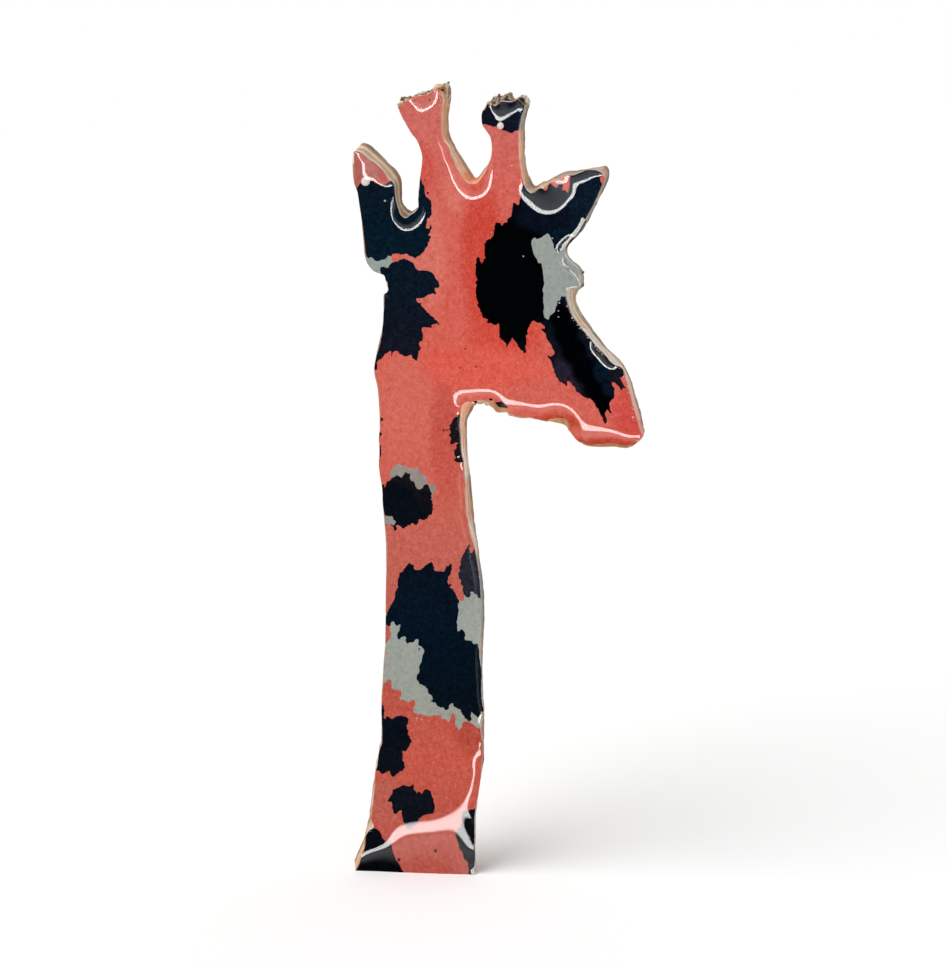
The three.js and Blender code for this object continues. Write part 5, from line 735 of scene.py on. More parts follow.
POOLS = [
    (-4.83, 85.31, 2, 1.2), (3.7, 84.58, 2, 1.5), (-11.26, 79.2, 1.8, 0.6), (9.02, 73.95, 2.6, 1.1),
    (-13.16, 1.1, 1.35, 0.024), (-9.76, 1.1, 1.35, 0.038), (-8.06, 1.1, 1.35, 0.029), (-4.66, 1.1, 1.35, -0.045),
    (-2.96, 1.1, 1.35, -0.055), (-14.01, 2.8, 1.35, 0.222), (-12.31, 2.8, 1.35, -0.043),
    (-10.61, 2.8, 1.35, -0.063), (-3.81, 2.8, 1.35, -0.022), (-14.86, 4.5, 1.35, 0.108), (-9.76, 4.5, 1.35, 0.045),
    (-6.36, 4.5, 1.35, 0.06), (-4.66, 4.5, 1.35, 0.044), (-12.31, 6.2, 1.35, 0.024), (-10.61, 6.2, 1.35, 0.023),
    (-7.21, 6.2, 1.35, 0.033), (-5.51, 6.2, 1.35, 0.031), (-9.76, 7.9, 1.35, -0.041), (-8.06, 7.9, 1.35, -0.024),
    (-6.36, 7.9, 1.35, -0.042), (-4.66, 7.9, 1.35, 0.163), (-2.96, 7.9, 1.35, 0.181), (-10.61, 9.6, 1.35, 0.029),
    (-8.91, 9.6, 1.35, 0.044), (-7.21, 9.6, 1.35, -0.054), (-5.51, 9.6, 1.35, -0.032), (-3.81, 9.6, 1.35, 0.276),
    (-2.11, 9.6, 1.35, 0.191), (-4.66, 11.3, 1.35, -0.029), (-2.96, 11.3, 1.35, 0.111), (-5.51, 13, 1.35, 0.04),
    (-3.81, 13, 1.35, -0.04), (-2.11, 13, 1.35, 0.031), (-2.96, 14.7, 1.35, 0.11), (-2.11, 16.4, 1.35, 0.047),
    (-2.96, 48.7, 1.35, -0.105), (-3.81, 50.4, 1.35, 0.283), (9.79, 50.4, 1.35, -0.061),
    (11.49, 50.4, 1.35, -0.143), (13.19, 50.4, 1.35, -0.059), (14.89, 50.4, 1.35, -0.396),
    (16.59, 50.4, 1.35, -0.474), (-4.66, 52.1, 1.35, -0.077), (-2.96, 52.1, 1.35, -0.479),
    (3.84, 52.1, 1.35, -0.148), (5.54, 52.1, 1.35, 0.36), (7.24, 52.1, 1.35, 0.113), (8.94, 52.1, 1.35, 0.075),
    (10.64, 52.1, 1.35, 0.206), (12.34, 52.1, 1.35, 0.075), (15.74, 52.1, 1.35, -0.412),
    (-3.81, 53.8, 1.35, -0.574), (-2.11, 53.8, 1.35, -0.107), (-0.41, 53.8, 1.35, 0.196),
    (1.29, 53.8, 1.35, -0.041), (2.99, 53.8, 1.35, 0.287), (4.69, 53.8, 1.35, -0.418), (6.39, 53.8, 1.35, -0.256),
    (8.09, 53.8, 1.35, 0.087), (9.79, 53.8, 1.35, -0.224), (11.49, 53.8, 1.35, -0.134),
    (13.19, 53.8, 1.35, -0.124), (14.89, 53.8, 1.35, -0.416), (-4.66, 55.5, 1.35, 0.096),
    (-2.96, 55.5, 1.35, 0.028), (-1.26, 55.5, 1.35, -0.17), (0.44, 55.5, 1.35, -0.099), (2.14, 55.5, 1.35, -0.096),
    (3.84, 55.5, 1.35, 0.167), (5.54, 55.5, 1.35, -0.425), (7.24, 55.5, 1.35, 0.068), (10.64, 55.5, 1.35, -0.145),
    (12.34, 55.5, 1.35, 0.059), (14.04, 55.5, 1.35, -0.122), (15.74, 55.5, 1.35, -0.189),
    (-2.11, 57.2, 1.35, -0.418), (-0.41, 57.2, 1.35, -0.062), (1.29, 57.2, 1.35, -0.07),
    (2.99, 57.2, 1.35, -0.192), (9.79, 57.2, 1.35, -0.143), (11.49, 57.2, 1.35, 0.049), (13.19, 57.2, 1.35, 0.098),
    (14.89, 57.2, 1.35, -0.172), (8.94, 58.9, 1.35, -0.143), (10.64, 58.9, 1.35, -0.359),
    (12.34, 58.9, 1.35, -0.147), (8.09, 60.6, 1.35, -0.154), (9.79, 60.6, 1.35, -0.207),
    (11.49, 60.6, 1.35, 0.218), (7.24, 62.3, 1.35, -0.031), (8.94, 62.3, 1.35, -0.249), (10.64, 62.3, 1.35, 0.101),
    (8.09, 64, 1.35, -0.184), (9.79, 64, 1.35, -0.11), (7.24, 65.7, 1.35, 0.155), (8.94, 65.7, 1.35, -0.162),
    (7.24, 69.1, 1.35, 0.093), (8.94, 69.1, 1.35, 0.262), (-7.21, 70.8, 1.35, 0.099), (-5.51, 70.8, 1.35, 0.026),
    (6.39, 70.8, 1.35, -0.048), (8.09, 70.8, 1.35, 0.105), (9.79, 70.8, 1.35, 0.21), (-9.76, 72.5, 1.35, -0.03),
    (-8.06, 72.5, 1.35, -0.02), (5.54, 72.5, 1.35, -0.14), (7.24, 72.5, 1.35, 0.187), (8.94, 72.5, 1.35, 0.258),
    (10.64, 72.5, 1.35, -0.7), (-10.61, 74.2, 1.35, 0.324), (-8.91, 74.2, 1.35, -0.027),
    (-5.51, 74.2, 1.35, 0.033), (-3.81, 74.2, 1.35, 0.049), (-2.11, 74.2, 1.35, 0.064), (-0.41, 74.2, 1.35, 0.165),
    (1.29, 74.2, 1.35, 0.142), (4.69, 74.2, 1.35, 0.11), (6.39, 74.2, 1.35, 0.107), (8.09, 74.2, 1.35, -0.272),
    (9.79, 74.2, 1.35, 0.108), (11.49, 74.2, 1.35, 0.022), (-11.46, 75.9, 1.35, 0.193),
    (-9.76, 75.9, 1.35, -0.463), (-2.96, 75.9, 1.35, -0.121), (-1.26, 75.9, 1.35, -0.187),
    (0.44, 75.9, 1.35, -0.1), (3.84, 75.9, 1.35, -0.102), (5.54, 75.9, 1.35, 0.1), (7.24, 75.9, 1.35, -0.683),
    (8.94, 75.9, 1.35, -1.238), (10.64, 75.9, 1.35, -0.158), (12.34, 75.9, 1.35, 0.114),
    (-12.31, 77.6, 1.35, 0.142), (-8.91, 77.6, 1.35, -0.154), (-3.81, 77.6, 1.35, 0.236),
    (-2.11, 77.6, 1.35, 0.032), (1.29, 77.6, 1.35, 0.122), (2.99, 77.6, 1.35, -0.076), (4.69, 77.6, 1.35, -0.42),
    (9.79, 77.6, 1.35, -0.469), (11.49, 77.6, 1.35, -0.051), (-11.46, 79.3, 1.35, -0.078),
    (-4.66, 79.3, 1.35, 0.041), (-2.96, 79.3, 1.35, 0.032), (2.14, 79.3, 1.35, 0.022), (3.84, 79.3, 1.35, -0.264),
    (-5.51, 81, 1.35, 0.17), (-3.81, 81, 1.35, 0.177), (2.99, 81, 1.35, 0.402), (4.69, 81, 1.35, 0.271),
    (-6.36, 82.7, 1.35, 0.095), (-4.66, 82.7, 1.35, 0.518), (2.14, 82.7, 1.35, 0.27), (3.84, 82.7, 1.35, 0.917),
    (-7.21, 84.4, 1.35, -0.347), (-5.51, 84.4, 1.35, -0.127), (-3.81, 84.4, 1.35, 0.616),
    (1.29, 84.4, 1.35, -1.063), (2.99, 84.4, 1.35, -1.702), (4.69, 84.4, 1.35, -0.521),
    (-6.36, 86.1, 1.35, -0.864), (-4.66, 86.1, 1.35, -0.918), (-12.23, 76.72, 0.6, 0.702),
    (-11.38, 76.72, 0.6, 1.743), (-10.53, 76.72, 0.6, 0.497), (-9.68, 76.72, 0.6, -0.899),
    (-8.83, 76.72, 0.6, 0.225), (-12.66, 77.57, 0.6, 0.153), (-11.81, 77.57, 0.6, 0.249),
    (-10.96, 77.57, 0.6, 0.205), (-10.11, 77.57, 0.6, 0.797), (-9.26, 77.57, 0.6, 0.839),
    (-13.08, 78.42, 0.6, 0.146), (-12.23, 78.42, 0.6, 0.537), (-10.53, 78.42, 0.6, -0.362),
    (-9.68, 78.42, 0.6, 0.317), (-12.66, 79.27, 0.6, 0.062), (-11.81, 79.27, 0.6, -0.91),
    (-10.96, 79.27, 0.6, -0.615), (-10.11, 79.27, 0.6, 0.104), (-13.08, 80.12, 0.6, 0.535),
    (-12.23, 80.12, 0.6, -0.279), (-11.38, 80.12, 0.6, -1.125), (-12.66, 80.97, 0.6, -0.083),
    (9.72, 75.61, 0.6, -1.431), (10.57, 75.61, 0.6, 2.174), (11.42, 75.61, 0.6, -1.542),
    (12.27, 75.61, 0.6, -0.222), (13.12, 75.61, 0.6, 0.365), (10.14, 76.46, 0.6, -0.085),
    (10.99, 76.46, 0.6, -0.843), (11.84, 76.46, 0.6, -0.592), (12.69, 76.46, 0.6, 1.96),
    (13.54, 76.46, 0.6, -1.015), (9.72, 77.31, 0.6, -1.886), (10.57, 77.31, 0.6, 0.744),
    (11.42, 77.31, 0.6, -0.09), (12.27, 77.31, 0.6, -0.238), (13.12, 77.31, 0.6, 1.177),
    (13.97, 77.31, 0.6, 0.729), (12.69, 78.16, 0.6, -0.665),
]
CAM_LOC = (51.488146, -243.914205, 85.924789)
CAM_RIGHT = (0.977398, 0.207912, -0.038279)
CAM_UP = (0.002463, 0.169854, 0.985466)
CAM_FWD = (-0.211392, 0.963287, -0.165502)


WOOD, PAPER = 3.0, 0.15
# The lamps the resin mirrors, in degrees: elevation from and to, azimuth from
# and to, each with its softness; strength; bowed like an arch or level.
LAMPS = (
    (27.2, 1.0, 32.4, 1.2, -47.0, 3.0, 29.0, 3.0, 17.0, True),      # a window's bright arch
    (33.0, 2.0, 44.0, 12.0, -60.0, 8.0, 40.0, 8.0, 1.5, True),      # and its paler pane
    (-29.2, 0.7, -24.9, 0.8, -30.0, 4.0, 47.0, 3.0, 14.0, False),   # the table's bright edge
    (-37.0, 6.0, -30.0, 1.5, -34.0, 6.0, 42.0, 6.0, 1.3, False),    # and its paler top
)
SKY = 0.55
# Soft patches of redder, paler or blacker colour, partly the inks' own tone and partly painted reflection (the paler
# coral and navy blacks stand for light mirrored in the resin): centre, reach, colour.
CORAL_TONES_AND_SHEEN = (
    (0.92, 68.77, 2.7, 8.6, (203, 70, 57)), (2.82, 60.88, 4.22, 3.06, (208, 74, 60)),
    (-5.77, 69.68, 2.67, 6.78, (212, 110, 97)), (-0.62, 57.35, 8.33, 2.62, (219, 91, 76)),
    (-8.27, 53.39, 3.33, 6.34, (209, 102, 88)), (-4.28, 49.5, 1.67, 6.78, (196, 84, 71)),
    (-5.81, 78.99, 1.78, 2.84, (204, 84, 73)), (-11.99, 79.5, 2.89, 2.84, (178, 98, 90)),
    (13.02, 48.73, 4.89, 0.98, (186, 62, 50)), (8.3, 51.48, 3.11, 0.98, (188, 72, 48)),
    (-2.31, 17.06, 2.44, 3.28, (178, 72, 58)), (16.37, 52.39, 2.44, 3.06, (205, 76, 68)),
    (-12.58, 8.45, 2.44, 2.84, (184, 93, 80)), (-2.07, 76.54, 1.33, 2.62, (214, 112, 98)),
)
# Coral by height, bottom to top: partly the ink's own tone, partly painted reflection where it runs paler.
CORAL_RAMP_AND_SHEEN = ((0.0, (180, 84, 72)), (0.08, (188, 85, 70)), (0.16, (196, 86, 70)), (0.24, (184, 82, 68)),
              (0.36, (188, 95, 83)), (0.48, (198, 96, 82)), (0.58, (210, 98, 84)), (0.72, (211, 94, 80)),
              (0.86, (210, 98, 86)), (0.94, (205, 102, 95)), (1.0, (196, 104, 92)))
# Blacker and navy patches: partly the ink's own tone, partly painted reflection lifting the black to navy.
DARK_TONES_AND_SHEEN = (
    (3.38, 67.33, 5.6, 9.8, (0, 2, 3)), (12.6, 55.6, 1.4, 2.0, (0, 2, 4)),
    (9.33, 56.14, 1.33, 3.28, (34, 30, 42)), (13.14, 60.18, 0.89, 3.93, (12, 16, 28)),
    (-2.08, 34.46, 1.78, 3.93, (34, 36, 46)), (11.96, 74.54, 2.89, 3.72, (10, 24, 36)),
    (7.6, 73.4, 3.4, 1.5, (8, 14, 26)),
    (8.91, 62.83, 1.3, 1.6, (0, 1, 3)),
    (9.5, 60.89, 1.5, 1.6, (0, 1, 3)),
    (10.3, 58.94, 1.6, 1.6, (0, 1, 3)),
    (11.44, 56.99, 1.6, 1.6, (0, 1, 3)),
    (12.68, 55.03, 1.5, 1.5, (0, 1, 3)),
    (13.38, 53.3, 1.2, 1.5, (0, 1, 3)),
    (9.02, 56.16, 0.9, 1.6, (34, 29, 42)),
    (9.95, 54.63, 0.9, 1.1, (33, 28, 40)),
    (7.92, 59.2, 0.8, 1, (16, 14, 22)),
    (12.38, 59.67, 0.8, 1.4, (12, 16, 28)),
    (13.16, 56.75, 0.9, 1.2, (6, 20, 32)),
    (13.98, 55.02, 0.8, 0.9, (8, 18, 30)),
    (-9.61, 42.87, 2, 2.2, (7, 12, 20)),
)
# Black by height: the navy lifts are partly painted reflection, light mirrored in the resin.
DARK_RAMP_AND_SHEEN = ((0.0, (4, 6, 9)), (0.10, (13, 17, 25)), (0.18, (8, 13, 21)), (0.28, (3, 16, 27)),
             (0.36, (6, 18, 31)), (0.46, (8, 13, 21)), (0.55, (26, 20, 20)), (0.66, (18, 20, 31)),
             (0.74, (10, 20, 31)), (0.83, (5, 23, 36)), (0.94, (16, 20, 32)))
GREY_RAMP = ((0.0, (150, 152, 146)), (0.2, (152, 154, 144)), (0.33, (154, 160, 154)), (0.50, (146, 136, 129)),
             (0.62, (150, 157, 151)), (0.8, (150, 158, 152)))
WOOD_TONES = (
    (-12, 80.6, 2, 1.6, (171, 147, 124)), (-10.2, 78.8, 2, 2.2, (173, 150, 129)),
    (-8.5, 75.8, 1.3, 2.2, (150, 131, 112)), (-7.5, 73.6, 1.2, 1, (103, 84, 66)),
    (-2.9, 84, 1, 2.8, (190, 144, 106)), (-2, 79.8, 1.6, 1.8, (206, 166, 142)),
    (-0.3, 77.2, 1.6, 1.3, (202, 138, 102)), (-5.5, 86.6, 2.6, 1, (164, 131, 106)),
    (5.3, 84, 1, 1.8, (143, 130, 119)), (3.2, 85.8, 2.3, 1.2, (127, 111, 98)), (5.1, 79.8, 1, 2.8, (200, 158, 130)),
    (6.2, 76.2, 1.2, 1.1, (168, 142, 118)), (10.6, 77.6, 2.6, 0.8, (135, 113, 93)),
    (13.2, 77, 1.3, 1.6, (142, 124, 111)), (12.2, 73.4, 1.5, 2.2, (141, 136, 129)),
    (10.4, 70.8, 1.4, 1.6, (105, 102, 96)), (10.6, 67.5, 1.6, 2.4, (152, 148, 136)),
    (10.2, 64, 1.2, 1.8, (184, 168, 148)), (13, 59.3, 2.8, 3.4, (190, 176, 162)),
    (16.2, 54.6, 1.2, 2.6, (192, 156, 138)), (17.2, 51, 1.2, 1.8, (200, 138, 116)),
    (13, 48.5, 4, 1, (182, 134, 110)), (-2.2, 52.9, 1.2, 1, (216, 154, 124)), (-2.3, 50.2, 1, 2.4, (204, 164, 140)),
    (-2.3, 46.8, 1, 2.2, (206, 180, 166)), (-2, 42.4, 1, 2.6, (192, 146, 120)),
    (-1.7, 38.4, 1, 2.2, (198, 178, 164)), (-1, 31, 1.2, 6, (131, 128, 124)), (-1, 22.5, 1.2, 3.4, (116, 114, 111)),
    (-1.6, 14.5, 1.2, 3.4, (154, 116, 102)), (-14, 4, 2, 5, (170, 148, 126)),
)
# Where the paper tore away and the bare fibre shows: rings of x, z.
TORN_PATCHES = (
    ((-1.21, 53.65), (-0.54, 53.91), (0.24, 53.96), (1.12, 53.9), (1.88, 53.51), (2.85, 52.68), (3.49, 52.07), (2.28, 52.19), (1.3, 52.75), (0.44, 53.25), (-0.44, 53.42)),
)
# Trapped bubbles in the resin and dark flecks on the paper: x, z, radius.
BUBBLES = (
    (7.74, 71.45, 0.13), (5.4, 69.39, 0.11), (9.01, 64.31, 0.12), (9.88, 64.51, 0.1), (8.88, 63.46, 0.1),
    (8.86, 62.82, 0.1), (4.13, 55.15, 0.1), (-8.53, 18.37, 0.1), (-7.96, 18.27, 0.09), (-1.27, 20.57, 0.12),
    (-9.68, 75.63, 0.16), (4.33, 78.92, 0.11), (-11.68, 77.77, 0.5), (3.3, 83.14, 0.38), (16.51, 51.89, 0.16),
    (8.59, 71.22, 0.12), (2.02, 72.02, 0.08), (-2.62, 54.46, 0.08),
)
SPECKS = (
    (-2.17, 57.48, 0.09), (-1.54, 59.54, 0.09), (-0.39, 57.57, 0.11), (-4.35, 50.6, 0.12), (-4.01, 50.6, 0.1),
    (-5.2, 77.69, 0.09), (-4.93, 76.3, 0.13), (-4.34, 86.06, 0.1), (-11.61, 1.53, 0.09), (-7.37, 2.73, 0.07),
    (16.49, 52.93, 0.1), (-6.05, 86.08, 0.08), (3.7, 76.15, 0.06), (-2.53, 67.78, 0.06), (-8.11, 25.9, 0.05),
)
# Loose fibres and resin that crept over the edge, drawn as white strands whose white is a painted highlight along the
# rim: radius, then points x, z.
CREEP = (
    (0.13, (11.66, 73.17), (11.31, 72.44), (10.75, 71.71), (10.08, 71.04), (9.53, 70.52), (9.13, 69.95)),
    (0.12, (9.33, 68.99), (9.38, 68.46), (9.61, 68.13)),
    (0.09, (9.67, 68.1), (9.94, 68.04)),
    (0.075, (10.12, 67.75), (10.3, 67.48), (10.61, 67.26), (10.92, 66.82), (11.16, 66.39), (11.22, 66.07)),
    (0.09, (9.58, 65.46), (9.75, 65.75), (10.14, 65.92), (10.79, 65.93)),
)
CHIPS = (
    ("dark", 0.05, (11.86, 72.85), (11.41, 72.07), (10.85, 71.34)),
    ("dark", 0.08, (10.46, 70.98), (9.96, 70.46), (9.62, 70.15)),
    ("pale", 0.12, (1.94, 85.47), (2.03, 85.04)),
    ("pale", 0.16, (2.36, 85.09), (2.62, 84.76)),
    ("pale", 0.09, (2.75, 85.44), (2.99, 86.06)),
    ("tan", 0.15, (2.17, 85.83), (2.6, 85.65)),
    ("brown", 0.11, (2.92, 85.74), (2.97, 86.41)),
    ("dark", 0.08, (2.8, 85.23), (3.03, 85.74)),
    ("brown", 0.12, (3.46, 85.72), (3.8, 86.18)),
    ("tan", 0.15, (3.92, 86.39), (4.19, 86.43), (4.29, 86.11), (4.49, 85.84)),
    ("tan", 0.12, (4.54, 85.68), (4.98, 85.77)),
    ("dark", 0.13, (5.14, 85.82), (5.42, 86.02), (5.51, 85.65)),
    ("pale", 0.16, (5.74, 86.11), (6, 85.84), (6.15, 85.42)),
    ("brown", 0.11, (-7.7, 86.25), (-7.58, 86.35)),
    ("pale", 0.13, (-8.01, 85.84), (-7.84, 85.41)),
    ("tan", 0.09, (-6.97, 86.54), (-6.75, 86.48)),
    ("tan", 0.1, (-6.08, 86.71), (-5.87, 86.65)),
    ("pale", 0.13, (-5.41, 86.95), (-5.09, 86.83)),
    ("tan", 0.09, (-4.75, 87.03), (-4.31, 87.07)),
    ("amber", 0.15, (-3.98, 87.11), (-3.43, 87.35), (-2.98, 87.49)),
    ("pale", 0.16, (-2.71, 87.43), (-2.54, 87.79)),
    ("dark", 0.07, (-2.53, 87.9), (-2.42, 87.94)),
    ("amber", 0.1, (-7.44, 85.92), (-6.77, 86.11), (-6.32, 86.25)),
    ("amber", 0.09, (-5.99, 86.34), (-5.22, 86.47)),
    ("dark", 0.06, (11.4, 67.45), (11.37, 67.29)),
    ("dark", 0.07, (11.33, 66.07), (11.3, 65.86)),
)
# Stretches of the rim where the resin crept over the edge in beads.
BEADED = (
    ((10.7, 64.4), (11.7, 62.1), (12.8, 60.2), (13.9, 58.6)),
)
Y_PAPER = -WOOD - PAPER
BAR_X = -6.3


# ------------------------------------------------------------------- helpers
def hash3(ix, iy, iz, seed):
    h = (ix.astype(np.int64) * 374761393 + iy.astype(np.int64) * 668265263
         + iz.astype(np.int64) * 2147483647 + seed * 1274126177) & 0xFFFFFFFF
    h = ((h ^ (h >> 13)) * 1274126177) & 0xFFFFFFFF
    h = ((h ^ (h >> 15)) * 2246822519) & 0xFFFFFFFF
    return ((h ^ (h >> 16)) & 0xFFFFFF) / float(0xFFFFFF)


def noise3(x, y, z, seed=0):
    """Smooth value noise from -1 to 1."""
    x, y, z = np.broadcast_arrays(np.asarray(x, float), np.asarray(y, float), np.asarray(z, float))
    ix, iy, iz = np.floor(x), np.floor(y), np.floor(z)
    fx, fy, fz = x - ix, y - iy, z - iz
    fx, fy, fz = (f * f * f * (f * (f * 6 - 15) + 10) for f in (fx, fy, fz))
    out = 0
    for dx in (0, 1):
        for dy in (0, 1):
            for dz in (0, 1):
                w = (fx if dx else 1 - fx) * (fy if dy else 1 - fy) * (fz if dz else 1 - fz)
                out = out + w * hash3(ix + dx, iy + dy, iz + dz, seed)
    return out * 2 - 1


def fbm(x, y, z, seed=0, octaves=4):
    out, a, f = 0, 1.0, 1.0
    for k in range(octaves):
        out = out + a * noise3(x * f, y * f, z * f, seed + 17 * k)
        a, f = a * 0.5, f * 2.03
    return out


def inside(px, pz, poly):
    """Which points lie in a closed polygon."""
    res = np.zeros(len(px), bool)
    ax, az = poly[:, 0], poly[:, 1]
    bx, bz = np.roll(ax, -1), np.roll(az, -1)
    for x0, z0, x1, z1 in zip(ax, az, bx, bz):
        if z0 == z1:
            continue
        m = ((z0 > pz) != (z1 > pz))
        m &= px < x0 + (x1 - x0) * (pz - z0) / (z1 - z0)
        res ^= m
    return res


def new_mesh(name, verts, faces, mats, slots=None, smooth=True, uv=None):
    me = bpy.data.meshes.new(name)
    me.from_pydata([tuple(v) for v in np.asarray(verts, float) * MM], [], faces)
    for m in mats:
        me.materials.append(m)
    if slots is not None:
        me.polygons.foreach_set("material_index", np.asarray(slots, np.int32))
    me.polygons.foreach_set("use_smooth", [bool(smooth)] * len(me.polygons))
    if uv is not None:
        layer = me.uv_layers.new(name="UVMap")
        idx = np.zeros(len(me.loops), np.int32)
        me.loops.foreach_get("vertex_index", idx)
        layer.data.foreach_set("uv", np.asarray(uv, float)[idx].ravel())
    me.validate()
    me.update()
    ob = bpy.data.objects.new(name, me)
    bpy.context.scene.collection.objects.link(ob)
    return ob


def cdt(points, loops, keep):
    """Triangles over points, with closed loops of indices as hard edges."""
    edges = [(int(a), int(b)) for lp in loops for a, b in zip(lp, np.roll(lp, -1))]
    co = [Vector((float(p[0]), float(p[1]))) for p in points]
    v, _e, f, _ov, _oe, _of = delaunay_2d_cdt(co, edges, [], 0, 1e-5)
    v = np.array([[p.x, p.y] for p in v])
    f = np.array([t for t in f if len(t) == 3], int)
    c = v[f].mean(1)
    area = np.cross(v[f[:, 1]] - v[f[:, 0]], v[f[:, 2]] - v[f[:, 0]])
    ok = keep(c[:, 0], c[:, 1]) & (np.abs(area) > 1e-9)
    return v, f[ok]


# ---------------------------------------------------------------- the outline
rows = np.array(LOOP, float)


def resample(rows, step):
    out = []
    n = len(rows)
    for i in range(n):
        a, b = rows[i], rows[(i + 1) % n]
        m = max(1, int(math.ceil(np.hypot(*(b[2:4] - a[2:4])) / step)))
        for k in range(m):
            out.append(a + (b - a) * k / m)
    return np.array(out)


def soften(rows, times=1):
    """Round the tracing's small corners, leaving the two saw corners sharp."""
    for _ in range(times):
        q = []
        n = len(rows)
        for i in range(n):
            a, b = rows[i], rows[(i + 1) % n]
            if i == 0:          # the straight saw cut across the neck
                q += [a]
                continue
            if i == 1:
                q += [a, a * 0.25 + b * 0.75]
                continue
            if i == n - 1:
                q += [a * 0.75 + b * 0.25]
                continue
            q += [a * 0.75 + b * 0.25, a * 0.25 + b * 0.75]
        rows = np.array(q)
    return rows


rows = soften(rows, 2)
rows = resample(rows, 0.15)
F, W, B = rows[:, 0:2], rows[:, 2:4], rows[:, 4:6]
N = len(rows)


def outward(P):
    t = np.roll(P, -2, 0) - np.roll(P, 2, 0)
    t /= np.maximum(np.hypot(t[:, 0], t[:, 1]), 1e-9)[:, None]
    x, z = P[:, 0], P[:, 1]
    ccw = np.sum(x * np.roll(z, -1) - np.roll(x, -1) * z) > 0
    n = np.stack([t[:, 1], -t[:, 0]], 1)
    return n if ccw else -n


def crossings(P, span=60):
    """Index pairs of edges of a closed ring that cross, near each other."""
    n = len(P)
    A, Bq = P, np.roll(P, -1, 0)
    hits = []
    cr = lambda o, p, q: (p[:, 0] - o[:, 0]) * (q[:, 1] - o[:, 1]) - (p[:, 1] - o[:, 1]) * (q[:, 0] - o[:, 0])
    for k in range(2, span):
        C, D = np.roll(A, -k, 0), np.roll(Bq, -k, 0)
        m = (cr(A, Bq, C) * cr(A, Bq, D) < 0) & (cr(C, D, A) * cr(C, D, Bq) < 0)
        hits += [(int(i), (int(i) + k) % n) for i in np.nonzero(m)[0]]
    return hits


def untangle(P, tries=40):
    """Relax a ring wherever it crosses itself."""
    P = P.copy()
    n = len(P)
    for _ in range(tries):
        hits = crossings(P)
        if not hits:
            break
        m = np.zeros(n, bool)
        for i, j in hits:
            length = (j - i) % n
            for q in range(-3, length + 5):
                m[(i + q) % n] = True
        m &= P[:, 1] > 1e-6
        for _k in range(4):
            avg = 0.5 * (np.roll(P, 1, 0) + np.roll(P, -1, 0))
            P[m] = P[m] * 0.4 + avg[m] * 0.6
    return P


F, W, B = untangle(F), untangle(W), untangle(B)
NW = outward(W)
seg = np.hypot(*(np.roll(W, -1, 0) - W).T)
S_ARC = np.concatenate([[0], np.cumsum(seg)[:-1]])


# ------------------------------------------------------------------ materials
def material(name):
    m = bpy.data.materials.new(name)
    m.use_nodes = True
    nt = m.node_tree
    for n in list(nt.nodes):
        nt.nodes.remove(n)
    out = nt.nodes.new("ShaderNodeOutputMaterial")
    return m, nt, out


